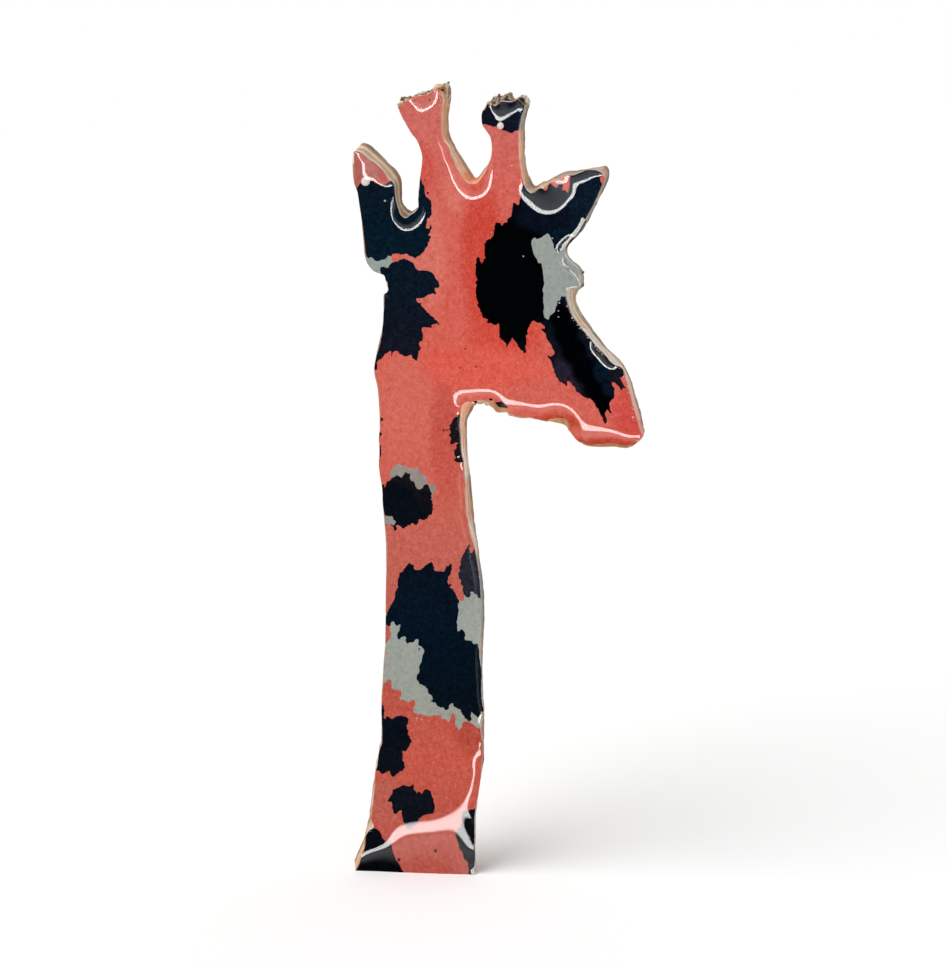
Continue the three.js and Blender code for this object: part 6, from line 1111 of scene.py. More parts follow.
class Kit:
    """Short names for shader nodes."""

    def __init__(self, nt):
        self.nt = nt

    def node(self, kind, **inputs):
        n = self.nt.nodes.new(kind)
        for k, v in inputs.items():
            self.set(n, k, v)
        return n

    def set(self, n, k, v):
        key = k.replace("_", " ") if isinstance(k, str) else k
        sock = n.inputs[key]
        if isinstance(v, bpy.types.NodeSocket):
            self.nt.links.new(v, sock)
        else:
            sock.default_value = v

    def coords(self):
        return self.node("ShaderNodeTexCoord").outputs["Object"]

    def uv(self):
        return self.node("ShaderNodeTexCoord").outputs["UV"]

    def mapped(self, vec, scale=(1, 1, 1), loc=(0, 0, 0), rot=(0, 0, 0)):
        n = self.node("ShaderNodeMapping")
        self.nt.links.new(vec, n.inputs["Vector"])
        n.inputs["Scale"].default_value = scale
        n.inputs["Location"].default_value = loc
        n.inputs["Rotation"].default_value = rot
        return n.outputs["Vector"]

    def noise(self, vec, scale, detail=4.0, rough=0.55, distort=0.0):
        n = self.node("ShaderNodeTexNoise")
        self.nt.links.new(vec, n.inputs["Vector"])
        n.inputs["Scale"].default_value = scale
        n.inputs["Detail"].default_value = detail
        n.inputs["Roughness"].default_value = rough
        n.inputs["Distortion"].default_value = distort
        return n.outputs["Fac"]

    def ramp(self, fac, stops, mode="LINEAR"):
        n = self.node("ShaderNodeValToRGB")
        n.color_ramp.interpolation = mode
        el = n.color_ramp.elements
        while len(el) > 1:
            el.remove(el[-1])
        el[0].position = stops[0][0]
        el[0].color = stops[0][1] + ((1,) if len(stops[0][1]) == 3 else ())
        for p, c in stops[1:]:
            e = el.new(p)
            e.color = c + ((1,) if len(c) == 3 else ())
        self.nt.links.new(fac, n.inputs["Fac"])
        return n.outputs["Color"]

    def mix(self, fac, a, b, mode="MIX"):
        n = self.nt.nodes.new("ShaderNodeMix")
        n.data_type = "RGBA"
        n.blend_type = mode
        for i, v in ((0, fac), (6, a), (7, b)):
            if isinstance(v, bpy.types.NodeSocket):
                self.nt.links.new(v, n.inputs[i])
            else:
                n.inputs[i].default_value = v if i == 0 else (tuple(v) + (1,))[:4]
        return n.outputs[2]

    def math(self, op, a, b=0.0, c=0.0, clamp=False):
        n = self.nt.nodes.new("ShaderNodeMath")
        n.operation = op
        n.use_clamp = clamp
        for i, v in enumerate((a, b, c)):
            if isinstance(v, bpy.types.NodeSocket):
                self.nt.links.new(v, n.inputs[i])
            else:
                n.inputs[i].default_value = v
        return n.outputs[0]

    def bump(self, height, strength=0.3, distance=0.0001):
        n = self.node("ShaderNodeBump")
        self.nt.links.new(height, n.inputs["Height"])
        n.inputs["Strength"].default_value = strength
        n.inputs["Distance"].default_value = distance
        return n.outputs["Normal"]

    def principled(self, out, **kw):
        n = self.node("ShaderNodeBsdfPrincipled")
        for k, v in kw.items():
            key = k.replace("_", " ")
            if isinstance(v, bpy.types.NodeSocket):
                self.nt.links.new(v, n.inputs[key])
            else:
                n.inputs[key].default_value = v
        if out is not None:
            self.nt.links.new(n.outputs[0], out.inputs["Surface"])
        return n


def srgb(r, g, b):
    f = lambda c: c / 12.92 if c <= 0.04045 else ((c + 0.055) / 1.055) ** 2.4
    return (f(r / 255), f(g / 255), f(b / 255))


def rgb(c):
    return srgb(*c)


def toned(k, base, tones):
    """Soft patches of other tones laid over a base colour."""
    col = base
    v = k.coords()
    for i, (x, z, rx, rz, c) in enumerate(tones):
        n = k.nt.nodes.new("ShaderNodeVectorMath")
        n.operation = "MULTIPLY_ADD"
        k.nt.links.new(v, n.inputs[0])
        n.inputs[1].default_value = (1 / (rx * MM), 0, 1 / (rz * MM))
        n.inputs[2].default_value = (-x / rx, 0, -z / rz)
        ln = k.nt.nodes.new("ShaderNodeVectorMath")
        ln.operation = "LENGTH"
        k.nt.links.new(n.outputs[0], ln.inputs[0])
        mr = k.node("ShaderNodeMapRange")
        mr.interpolation_type = "SMOOTHSTEP"
        k.nt.links.new(ln.outputs["Value"], mr.inputs["Value"])
        mr.inputs["From Min"].default_value = 0.62
        mr.inputs["From Max"].default_value = 1.22
        mr.inputs["To Min"].default_value = 1.0
        mr.inputs["To Max"].default_value = 0.0
        col = k.mix(mr.outputs["Result"], col, rgb(c))
    return col


def height_ramp(k, stops):
    xyz_ = k.node("ShaderNodeSeparateXYZ")
    k.nt.links.new(k.coords(), xyz_.inputs[0])
    return k.ramp(k.math("MULTIPLY", xyz_.outputs[2], 1 / 0.088), [(p, rgb(c)) for p, c in stops])


def paper_material(name, ramp, tones, lift, drop, seed, grain=1.0, gain=1.0):
    """Printed paper: ink with a fine fibre grain, cloudy mottling and specks; the tones passed in for the coral and
    black inks are partly painted reflection.
    """
    m, nt, out = material(name)
    k = Kit(nt)
    v = k.coords()
    base = toned(k, height_ramp(k, ramp), tones)
    cloud = k.noise(k.mapped(v, loc=(seed, 0, 0)), 260.0, 3.0, 0.5)
    fibre = k.noise(k.mapped(v, scale=(1, 1, 0.8), loc=(0, seed, 0), rot=(0, 0.5, 0)), 2300.0, 4.0, 0.75, 0.3)
    tooth = k.noise(k.mapped(v, scale=(1, 1, 1.3), loc=(seed, seed, 0), rot=(0, -0.8, 0)), 4600.0, 2.0, 0.6)
    up = k.math("MULTIPLY", k.math("SUBTRACT", fibre, 0.52), 3.2 * grain, clamp=True)
    dn = k.math("MULTIPLY", k.math("SUBTRACT", 0.48, fibre), 3.2 * grain, clamp=True)
    up2 = k.math("MULTIPLY", k.math("SUBTRACT", tooth, 0.54), 4.5 * grain, clamp=True)
    cl = k.math("MULTIPLY", k.math("SUBTRACT", cloud, 0.5), 0.18, clamp=True)
    raised = k.mix(1.0, k.mix(1.0, base, (gain, gain, gain), "MULTIPLY"), lift, "ADD")
    col = k.mix(up, base, raised)
    col = k.mix(up2, col, raised)
    col = k.mix(dn, col, k.mix(1.0, col, drop, "MULTIPLY"))
    col = k.mix(cl, col, k.mix(1.0, col, drop, "MULTIPLY"))
    k.principled(out, Base_Color=col, Roughness=0.8, Specular_IOR_Level=0.0)
    return m


# The coral and black inks' tones and height ramps carry painted reflection as well as the inks' colour.
CORAL = paper_material("print_coral", CORAL_RAMP_AND_SHEEN, CORAL_TONES_AND_SHEEN, (0.085, 0.065, 0.058), (0.76, 0.56, 0.54), 3.1, 1.25)
DARK = paper_material("print_dark", DARK_RAMP_AND_SHEEN, DARK_TONES_AND_SHEEN, (0.0004, 0.0006, 0.001), (0.45, 0.45, 0.45), 7.7, 1.6, 1.9)
GREY = paper_material("print_grey", GREY_RAMP, (), (0.060, 0.060, 0.056), (0.72, 0.71, 0.69), 5.3, 1.25)


TORN = paper_material("paper_torn", ((0.0, (196, 150, 124)), (0.6, (198, 158, 134)), (1.0, (190, 140, 112))),
                      ((2.3, 52.9, 1.0, 0.6, (120, 96, 84)),), (0.10, 0.09, 0.08), (0.45, 0.40, 0.36), 9.4, 2.2)


def wood_edge(name, mid, seed, gain):
    """A sawn plywood edge: streaks along the veneer, saw marks across it."""
    m, nt, out = material(name)
    k = Kit(nt)
    uv = k.uv()
    v = k.coords()
    streak = k.noise(k.mapped(uv, scale=(0.9, 11.0, 1), loc=(seed, seed, 0)), 7.0, 6.0, 0.66, 0.7)
    saw = k.noise(k.mapped(uv, scale=(16.0, 1.3, 1), loc=(0, seed, 0)), 8.0, 4.0, 0.6, 0.2)
    blotch = k.noise(k.mapped(v, loc=(seed, 0, 0)), 420.0, 5.0, 0.65)
    torn = k.noise(k.mapped(v, scale=(1, 0.5, 0.8), loc=(0, 0, seed)), 2600.0, 4.0, 0.62, 0.5)
    pore = k.noise(v, 5200.0, 2.0, 0.5)
    tone = toned(k, k.mix(0.0, mid, mid), WOOD_TONES)
    tone = k.mix(1.0, tone, gain, "MULTIPLY")
    deep = k.mix(1.0, tone, (0.26, 0.20, 0.16), "MULTIPLY")
    light = k.mix(1.0, k.mix(1.0, tone, (1.22, 1.26, 1.30), "MULTIPLY"), (0.03, 0.03, 0.03), "ADD")
    col = k.mix(k.math("MULTIPLY", k.math("SUBTRACT", 0.475, streak), 7.0, clamp=True), tone, deep)
    col = k.mix(k.math("MULTIPLY", k.math("SUBTRACT", streak, 0.52), 8.0, clamp=True), col, light)
    sep = k.node("ShaderNodeSeparateXYZ")
    nt.links.new(uv, sep.inputs[0])
    wob = k.math("MULTIPLY", k.math("SUBTRACT", streak, 0.5), 0.16)
    t = k.math("ADD", k.math("MULTIPLY", sep.outputs[1], 1 / 0.3), wob)
    lines = k.ramp(t, [(0.0, (1, 1, 1)), (0.30, (1, 1, 1)), (0.333, (0.46, 0.38, 0.31)), (0.366, (1, 1, 1)),
                       (0.64, (0.97, 0.97, 0.97)), (0.667, (0.36, 0.28, 0.22)), (0.70, (0.86, 0.84, 0.82)),
                       (0.74, (0.62, 0.57, 0.52)), (0.82, (0.32, 0.26, 0.21)), (0.90, (0.13, 0.10, 0.08)), (1.0, (0.08, 0.06, 0.05))])
    patchy = k.math("MULTIPLY", k.math("SUBTRACT", blotch, 0.36), 3.0, clamp=True)
    col = k.mix(patchy, col, k.mix(1.0, col, lines, "MULTIPLY"))
    # a painted highlight: the front of the cut, next to the paper, lighter in broken patches
    rim_ = k.ramp(t, [(0.0, (1, 1, 1)), (0.07, (1, 1, 1)), (0.17, (0, 0, 0))])
    col = k.mix(k.math("MULTIPLY", rim_, k.math("MULTIPLY", k.math("SUBTRACT", saw, 0.36), 2.2, clamp=True)), col, light)
    col = k.mix(k.math("MULTIPLY", k.math("SUBTRACT", blotch, 0.60), 5.0, clamp=True), col, deep)
    col = k.mix(k.math("MULTIPLY", k.math("SUBTRACT", 0.40, saw), 4.0, clamp=True), col, deep)
    col = k.mix(k.math("MULTIPLY", k.math("SUBTRACT", 0.40, pore), 4.0, clamp=True), col, deep)
    # torn fibres on the sawn tops of the horns
    hz = k.node("ShaderNodeSeparateXYZ")
    nt.links.new(v, hz.inputs[0])
    up_ = k.math("MULTIPLY", k.math("SUBTRACT", hz.outputs[2], 0.0850), 1500.0, clamp=True)
    col = k.mix(k.math("MULTIPLY", up_, k.math("MULTIPLY", k.math("SUBTRACT", torn, 0.53), 9.0, clamp=True)), col, rgb((232, 220, 202)))
    col = k.mix(k.math("MULTIPLY", up_, k.math("MULTIPLY", k.math("SUBTRACT", 0.44, torn), 9.0, clamp=True)), col, rgb((62, 48, 38)))
    # a painted highlight: a pale line down the middle of the cut along the nose
    nose_glint = k.math("MULTIPLY", k.math("MULTIPLY", k.math("SUBTRACT", hz.outputs[2], 0.0512), 3000.0, clamp=True),
                   k.math("MULTIPLY", k.math("SUBTRACT", 0.0654, hz.outputs[2]), 3000.0, clamp=True))
    nose_glint = k.math("MULTIPLY", nose_glint, k.math("MULTIPLY", k.math("SUBTRACT", hz.outputs[0], 0.0098), 3000.0, clamp=True))
    pale = k.ramp(t, [(0.0, (0, 0, 0)), (0.36, (0, 0, 0)), (0.41, (1, 1, 1)), (0.49, (1, 1, 1)), (0.54, (0, 0, 0))])
    col = k.mix(k.math("MULTIPLY", k.math("MULTIPLY", nose_glint, pale), 0.9), col, rgb((236, 224, 210)))
    # the ear's cut: brown at the paper, a painted highlight as a pale band down the middle, brown again
    ear_ = k.math("MULTIPLY", k.math("MULTIPLY", k.math("SUBTRACT", hz.outputs[2], 0.0728), 2500.0, clamp=True),
                  k.math("MULTIPLY", k.math("SUBTRACT", -0.0068, hz.outputs[0]), 2500.0, clamp=True))
    ear_glint_band = k.ramp(t, [(0.0, (0, 0, 0)), (0.34, (0, 0, 0)), (0.42, (1, 1, 1)), (0.56, (1, 1, 1)), (0.64, (0, 0, 0))])
    ear_brown_bands = k.ramp(t, [(0.0, (0, 0, 0)), (0.12, (0.2, 0.2, 0.2)), (0.24, (1, 1, 1)), (0.34, (0, 0, 0)),
                        (0.66, (0, 0, 0)), (0.74, (1, 1, 1)), (1.0, (1, 1, 1))])
    col = k.mix(k.math("MULTIPLY", k.math("MULTIPLY", ear_, ear_glint_band), 0.55), col, rgb((232, 212, 182)))
    col = k.mix(k.math("MULTIPLY", k.math("MULTIPLY", ear_, ear_brown_bands), 0.55), col, rgb((120, 88, 62)))
    h = k.math("ADD", k.math("MULTIPLY", streak, 0.6), k.math("MULTIPLY", saw, 0.5))
    k.principled(out, Base_Color=col, Roughness=0.6, Specular_IOR_Level=0.3,
                 Normal=k.bump(h, 0.8, 0.0001))
    return m


EDGE_FRONT = wood_edge("ply_edge_front", rgb((192, 152, 122)), 1.7, (1.60, 1.70, 1.74))
EDGE_CORE = wood_edge("ply_edge_core", rgb((184, 144, 112)), 4.3, (1.50, 1.44, 1.34))
EDGE_BACK = wood_edge("ply_edge_back", rgb((176, 142, 116)), 8.9, (1.22, 1.14, 1.04))


def veneer(name, light, mid, deep, seed):
    """A flat veneer face with upright grain."""
    m, nt, out = material(name)
    k = Kit(nt)
    v = k.coords()
    warp = k.noise(k.mapped(v, loc=(seed, 0, 0)), 60.0, 2.0, 0.5)
    gv = k.mapped(v, scale=(1, 1, 0.045), loc=(seed, 0, seed))
    grain = k.noise(gv, 900.0, 6.0, 0.62, 0.7)
    fine = k.noise(k.mapped(v, scale=(1, 1, 0.03)), 4200.0, 4.0, 0.6)
    band = k.noise(k.mapped(v, scale=(1, 1, 0.08), loc=(0, seed, 0)), 210.0, 3.0, 0.5, 1.2)
    col = k.ramp(grain, [(0.32, deep), (0.5, mid), (0.66, light)])
    col = k.mix(k.math("MULTIPLY", k.math("SUBTRACT", band, 0.42), 2.0, clamp=True), col, light)
    col = k.mix(k.math("MULTIPLY", k.math("SUBTRACT", 0.40, fine), 4.0, clamp=True), col, deep)
    col = k.mix(k.math("MULTIPLY", k.math("SUBTRACT", warp, 0.55), 1.2, clamp=True), col, mid)
    k.principled(out, Base_Color=col, Roughness=0.55, Specular_IOR_Level=0.3,
                 Normal=k.bump(k.math("ADD", grain, fine), 0.35, 0.00004))
    return m


VENEER = veneer("veneer_face", srgb(222, 194, 158), srgb(204, 170, 130), srgb(168, 130, 92), 2.2)
VENEER_OILED = veneer("veneer_oiled", srgb(206, 156, 108), srgb(178, 120, 74), srgb(122, 78, 48), 6.2)


def plain(name, colour, rough=0.6, spec=0.3):
    m, nt, out = material(name)
    k = Kit(nt)
    k.principled(out, Base_Color=tuple(colour) + (1,), Roughness=rough, Specular_IOR_Level=spec)
    return m


GLUELINE = plain("ply_glue_line", srgb(86, 60, 40), 0.8)
PAPER_EDGE = plain("paper_edge", srgb(226, 214, 198), 0.8)


def metal(name, colour, rough, scratch=0.08, seed=0.0):
    m, nt, out = material(name)
    k = Kit(nt)
    v = k.coords()
    n1 = k.noise(k.mapped(v, loc=(seed, 0, 0)), 900.0, 5.0, 0.6)
    n2 = k.noise(k.mapped(v, scale=(1, 1, 0.12), loc=(0, seed, 0)), 3800.0, 3.0, 0.6)
    r = k.math("ADD", k.math("MULTIPLY", n1, 0.22), rough - 0.10)
    col = k.mix(k.math("MULTIPLY", k.math("SUBTRACT", n1, 0.56), 2.0, clamp=True), colour, tuple(c * 0.72 for c in colour))
    k.principled(out, Base_Color=col, Roughness=r, Metallic=1.0, Normal=k.bump(n2, scratch, 0.00002))
    return m


NICKEL = metal("nickel_plate", srgb(206, 202, 194), 0.26, 0.10, 1.0)
STEEL = metal("stem_steel", srgb(214, 214, 214), 0.18, 0.12, 4.0)


def resin_material(name):
    m, nt, out = material(name)
    k = Kit(nt)
    glass = k.principled(None, Base_Color=(0.985, 0.99, 0.985, 1), Roughness=0.0, IOR=1.5,
                         Transmission_Weight=1.0)
    clear = k.node("ShaderNodeBsdfTransparent")
    lp = k.node("ShaderNodeLightPath")
    fac = k.math("MAXIMUM", lp.outputs["Is Shadow Ray"], lp.outputs["Is Diffuse Ray"])
    mx = k.node("ShaderNodeMixShader")
    nt.links.new(fac, mx.inputs[0])
    nt.links.new(glass.outputs[0], mx.inputs[1])
    nt.links.new(clear.outputs[0], mx.inputs[2])
    nt.links.new(mx.outputs[0], out.inputs["Surface"])
    return m


RESIN = resin_material("clear_resin")


def glue_material(name):
    m, nt, out = material(name)
    k = Kit(nt)
    v = k.coords()
    n1 = k.noise(v, 500.0, 4.0, 0.6)
    col = k.ramp(n1, [(0.35, srgb(166, 140, 92)), (0.65, srgb(206, 188, 142))])
    k.principled(out, Base_Color=col, Roughness=0.18, Specular_IOR_Level=0.5, Coat_Weight=0.5,
                 Normal=k.bump(n1, 0.4, 0.0001))
    return m


GLUE = glue_material("cured_adhesive")

# ------------------------------------------------------------------ the wood
TOPS = ((-8.2, -2.4, 84.6), (0.6, 6.2, 84.2))  # the two horns' sawn-off tops


def ragged(x, z, n):
    """How ragged the saw left the edge: most on the tops of the horns."""
    r = np.zeros(len(x))
    for x0, x1, z0 in TOPS:
        r = np.maximum(r, ((x > x0) & (x < x1)) * np.clip((z - z0) / 1.2, 0, 1) * np.clip((n[:, 1] - 0.1) * 2.0, 0, 1))
    return r


RAG = ragged(W[:, 0], W[:, 1], NW)
FLAT = np.zeros(N)
FLAT[(np.abs(W[:, 1]) < 1e-6)] = 1.0  # the straight cut across the neck


def wall_point(t, seed):
    """The edge of the wood at depth t, from 0 at the front to 1 at the back."""
    P = W + (B - W) * t
    y = -WOOD + WOOD * t
    s = S_ARC
    d = 0.035 * noise3(s * 0.9, t * 1.2, 0, 5) + 0.022 * noise3(s * 2.6 + 2.0 * t, t * 2.0, 3, 9)
    d += 0.012 * noise3(s * 6.5 + 3.5 * t, t * 1.5, 1, 21)
    d += 0.010 * noise3(s * 1.5, t * 14.0, 2, 33)
    tooth = np.abs(noise3(s * 1.9, t * 1.7, 7, 41)) + 0.5 * np.abs(noise3(s * 4.1, t * 3.2, 8, 43))
    tooth = tooth + 0.5 * np.abs(noise3(s * 8.3, t * 5.0, 9, 47))
    d += RAG * (0.26 * tooth - 0.20)
    d *= (1 - 0.9 * FLAT)
    # a hairline step at each glue line
    for g in (1 / 3, 2 / 3):
        d -= 0.03 * math.exp(-((t - g) / 0.012) ** 2) * (1 - FLAT)
    # the saw tears out a little at the back face
    d -= 0.06 * math.exp(-(1 - t) / 0.03) * np.clip(noise3(s * 0.8, 0, 4, 55) + 0.35, 0, 1) * (1 - FLAT)
    Q = P + NW * d[:, None]
    Q[FLAT > 0, 1] = P[FLAT > 0, 1]
    Q[:, 1] = np.maximum(Q[:, 1], 0.0)
    Q = untangle(Q)
    return np.column_stack([Q[:, 0], np.full(N, y), Q[:, 1]])


def ply_piece(name, t0, t1, rows_, edge_mat, face_mat, node, cap_front=True, cap_back=True):
    ts = np.linspace(t0, t1, rows_)
    V = np.concatenate([wall_point(t, 0) for t in ts])
    uvs = np.concatenate([np.column_stack([S_ARC / 10, np.full(N, t * WOOD / 10)]) for t in ts])
    faces, slots = [], []
    ccw = np.sum(W[:, 0] * np.roll(W[:, 1], -1) - np.roll(W[:, 0], -1) * W[:, 1]) > 0
    for r in range(rows_ - 1):
        a0, b0 = r * N, (r + 1) * N
        for i in range(N):
            j = (i + 1) % N
            q = (a0 + i, a0 + j, b0 + j, b0 + i)
            faces.append(q if ccw else q[::-1])
            slots.append(0)
    for which, r in (("front", 0), ("back", rows_ - 1)):
        ring = V[r * N:(r + 1) * N][:, [0, 2]]
        v2, tri = cdt(ring, [np.arange(N)], lambda x, z: inside(x, z, ring))
        base = r * N
        if len(v2) != N:
            raise RuntimeError("cap of %s gained points: %d %d" % (name, len(v2), N))
        for t in tri:
            p = v2[t]
            up = np.cross(p[1] - p[0], p[2] - p[0]) > 0   # counter-clockwise in x,z: faces -y
            t = [int(base + q) for q in t]
            if up != (which == "front"):
                t = t[::-1]
            faces.append(tuple(t))
            slots.append(1)
    ob = new_mesh(name, V, faces, [edge_mat, face_mat], slots, smooth=True, uv=uvs)
    ob.data.polygons.foreach_set("use_smooth", [s == 0 for s in slots])
    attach(ob, "brooch")
    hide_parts(node)
    return ob


ply_piece("front_veneer", 0.0, 1 / 3, 7, EDGE_FRONT, VENEER_OILED, "front_ply")
ply_piece("core_veneer", 1 / 3, 2 / 3, 7, EDGE_CORE, VENEER, "core_ply")
ply_piece("back_veneer", 2 / 3, 1.0, 9, EDGE_BACK, VENEER, "back_ply")

# ----------------------------------------------------------------- the paper
FR = F.copy()
pf = outward(FR)
FR = untangle(FR - pf * np.clip(0.085 + 0.10 * noise3(S_ARC * 0.45, 0, 0, 77) + 0.03 * noise3(S_ARC * 2.2, 0, 0, 78), 0.008, 0.19)[:, None] * (1 - FLAT)[:, None])


def jagged(poly, seed):
    """The torn-looking edge of a printed patch."""
    P = np.array(poly, float)
    out_ = []
    for a_, b_ in zip(P, np.roll(P, -1, 0)):
        k_ = max(1, int(math.ceil(math.hypot(*(b_ - a_)) / 0.11)))
        out_ += [a_ + (b_ - a_) * q_ / k_ for q_ in range(k_)]
    P = np.array(out_)
    d_ = np.hypot(*(np.roll(P, -1, 0) - P).T)
    s_ = np.concatenate([[0], np.cumsum(d_)[:-1]])
    n_ = outward(P)
    w_ = 0.050 * noise3(s_ * 2.1, seed, 0, 13) + 0.040 * noise3(s_ * 5.2, seed, 0, 14)
    w_ += 0.12 * np.clip(np.abs(noise3(s_ * 3.1, seed, 0, 15)) - 0.55, 0, 1)
    return P + n_ * w_[:, None]


DARK_J = [jagged(p, 3 + i) for i, p in enumerate(DARK_PATCHES)]
TORN_J = [jagged(p, 90 + i) for i, p in enumerate(TORN_PATCHES)]
GREY_J = [jagged(p, 60 + i) for i, p in enumerate(GREY_PATCHES)]
pts = [FR]
loops = [np.arange(N)]
off = N
for poly in DARK_J + GREY_J + TORN_J:
    p = np.array(poly, float)
    pts.append(p)
    loops.append(np.arange(off, off + len(p)))
    off += len(p)
pts = np.vstack(pts)
v2, tri = cdt(pts, loops, lambda x, z: inside(x, z, FR))
c = v2[tri].mean(1)
slot_ = np.zeros(len(tri), int)
for poly in GREY_J:
    slot_[inside(c[:, 0], c[:, 1], np.array(poly, float))] = 2
for poly in TORN_J:
    slot_[inside(c[:, 0], c[:, 1], np.array(poly, float))] = 4
for poly in DARK_J:
    m_ = inside(c[:, 0], c[:, 1], np.array(poly, float))
    slot_[m_] = 1
slot_[inside(c[:, 0], c[:, 1], np.array(GREY_J[-1], float))] = 2   # this corner of the eye patch lies over the black
# use only the vertices inside the outline
used = np.unique(tri)
remap = -np.ones(len(v2), int)
remap[used] = np.arange(len(used))
v2 = v2[used]
tri = remap[tri]
nv = len(v2)
verts = np.vstack([np.column_stack([v2[:, 0], np.full(nv, Y_PAPER), v2[:, 1]]),
                   np.column_stack([v2[:, 0], np.full(nv, -WOOD - 0.002), v2[:, 1]])])
faces, slots = [], []
edge_count = {}
for t, s in zip(tri, slot_):
    p = v2[t]
    if np.cross(p[1] - p[0], p[2] - p[0]) < 0:
        t = t[::-1]
    faces.append(tuple(int(q) for q in t))
    slots.append(int(s))
    faces.append(tuple(int(q) + nv for q in t[::-1]))
    slots.append(3)
    for a, b in zip(t, np.roll(t, -1)):
        e = (int(a), int(b))
        if (e[1], e[0]) in edge_count:
            del edge_count[(e[1], e[0])]
        else:
            edge_count[e] = True
for a, b in edge_count:
    faces.append((b, a, a + nv, b + nv))
    slots.append(3)
paper = new_mesh("printed_sheet", verts, faces, [CORAL, DARK, GREY, PAPER_EDGE, TORN], slots, smooth=False)
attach(paper, "brooch")
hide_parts("printed_paper")

# ----------------------------------------------------------------- the resin
# The free surface of the pour solves  L^2 lap(h) = h - crown,  pinned at the
# rim: the capillary length L sets how far in from the edge it levels out.
CELL = 0.12
CROWN, RIM, CAP_L = 1.45, 0.24, 1.9
x0g, z0g = F[:, 0].min() - 0.6, F[:, 1].min() - 0.6
nx = int((F[:, 0].max() + 0.6 - x0g) / CELL) + 1
nz = int((F[:, 1].max() + 0.6 - z0g) / CELL) + 1
gx = x0g + CELL * np.arange(nx)
gz = z0g + CELL * np.arange(nz)
sd = np.full((nz, nx), 9.0)
seg_f = np.hypot(*(np.roll(F, -1, 0) - F).T)
round_f = np.concatenate([[0], np.cumsum(seg_f)])
ROUND = round_f[-1]
for a, b in zip(F, np.roll(F, -1, 0)):
    i0 = max(0, int((min(a[0], b[0]) - 0.6 - x0g) / CELL))
    i1 = min(nx, int((max(a[0], b[0]) + 0.6 - x0g) / CELL) + 2)
    j0 = max(0, int((min(a[1], b[1]) - 0.6 - z0g) / CELL))
    j1 = min(nz, int((max(a[1], b[1]) + 0.6 - z0g) / CELL) + 2)
    X, Z = gx[None, i0:i1], gz[j0:j1, None]
    d = b - a
    t = np.clip(((X - a[0]) * d[0] + (Z - a[1]) * d[1]) / max(d @ d, 1e-12), 0, 1)
    dd = np.hypot(X - a[0] - t * d[0], Z - a[1] - t * d[1])
    sd[j0:j1, i0:i1] = np.minimum(sd[j0:j1, i0:i1], dd)
GX, GZ = np.meshgrid(gx, gz)
ins = inside(GX.ravel(), GZ.ravel(), F).reshape(nz, nx)
sd = np.where(ins, sd, -sd)


def crown_field(X, Z):
    """How thick the pour stood before it levelled: thinner at the neck's end."""
    c = CROWN - 0.95 * np.clip(1 - Z / 7.5, 0, 1) ** 1.3
    for bx, bz, br, bh in POOLS:
        c = c + bh * np.exp(-((X - bx) ** 2 + (Z - bz) ** 2) / (2 * br * br))
    return c


def rim_height(at_):
    """How thick the resin stands at its edge, all the way round."""
    r = np.full(np.shape(at_), RIM)
    for x, z, dh in RIM_KNOTS:
        k_ = round_f[int(np.argmin((F[:, 0] - x) ** 2 + (F[:, 1] - z) ** 2))]
        d_ = np.abs(at_ - k_)
        r = r + dh * np.clip(1 - np.minimum(d_, ROUND - d_) / KNOT_STEP, 0, 1)
    return r


def sample(field, x, z):
    u = np.clip((x - x0g) / CELL, 0, nx - 1.001)
    v = np.clip((z - z0g) / CELL, 0, nz - 1.001)
    i, j = u.astype(int), v.astype(int)
    fu, fv = u - i, v - j
    return (field[j, i] * (1 - fu) * (1 - fv) + field[j, i + 1] * fu * (1 - fv)
            + field[j + 1, i] * (1 - fu) * fv + field[j + 1, i + 1] * fu * fv)


nF = outward(F)
RO = F + nF * 0.02          # the pour just covers the paper's edge
RO[FLAT > 0, 1] = F[FLAT > 0, 1]
RO = untangle(RO)
gpts = []
step = 0.25
row_h = step * math.sqrt(3) / 2
for r in range(int((gz[-1] - gz[0]) / row_h) + 1):
    zz = gz[0] + r * row_h
    xx = gx[0] + (step / 2 if r % 2 else 0) + step * np.arange(int((gx[-1] - gx[0]) / step) + 1)
    gpts.append(np.column_stack([xx, np.full(len(xx), zz)]))
gpts = np.vstack(gpts)
gsd = sample(sd, gpts[:, 0], gpts[:, 1])
gpts = gpts[gsd > 0.30]
sel = np.arange(N)
ring1 = F - nF * 0.10
ring2 = F - nF * 0.22
good1 = sample(sd, ring1[:, 0], ring1[:, 1]) > 0.085
good2 = sample(sd, ring2[:, 0], ring2[:, 1]) > 0.19
P2 = np.vstack([RO, ring1[good1], ring2[good2], gpts])
v2, tri = cdt(P2, [np.arange(N)], lambda x, z: inside(x, z, RO))
used = np.unique(tri)
remap = -np.ones(len(v2), int)
remap[used] = np.arange(len(used))
v2 = v2[used]
tri = remap[tri]
border = np.zeros(len(v2), bool)
edge_count = {}
for t in tri:
    p = v2[t]
    if np.cross(p[1] - p[0], p[2] - p[0]) < 0:
        t[:] = t[::-1]
    for a, b in zip(t, np.roll(t, -1)):
        e = (int(a), int(b))
        if (e[1], e[0]) in edge_count:
            del edge_count[(e[1], e[0])]
        else:
            edge_count[e] = True
for a, b in edge_count:
    border[a] = border[b] = True
bi = [int(np.argmin((F[:, 0] - p[0]) ** 2 + (F[:, 1] - p[1]) ** 2)) for p in v2[border]]
rim = rim_height(round_f[bi])


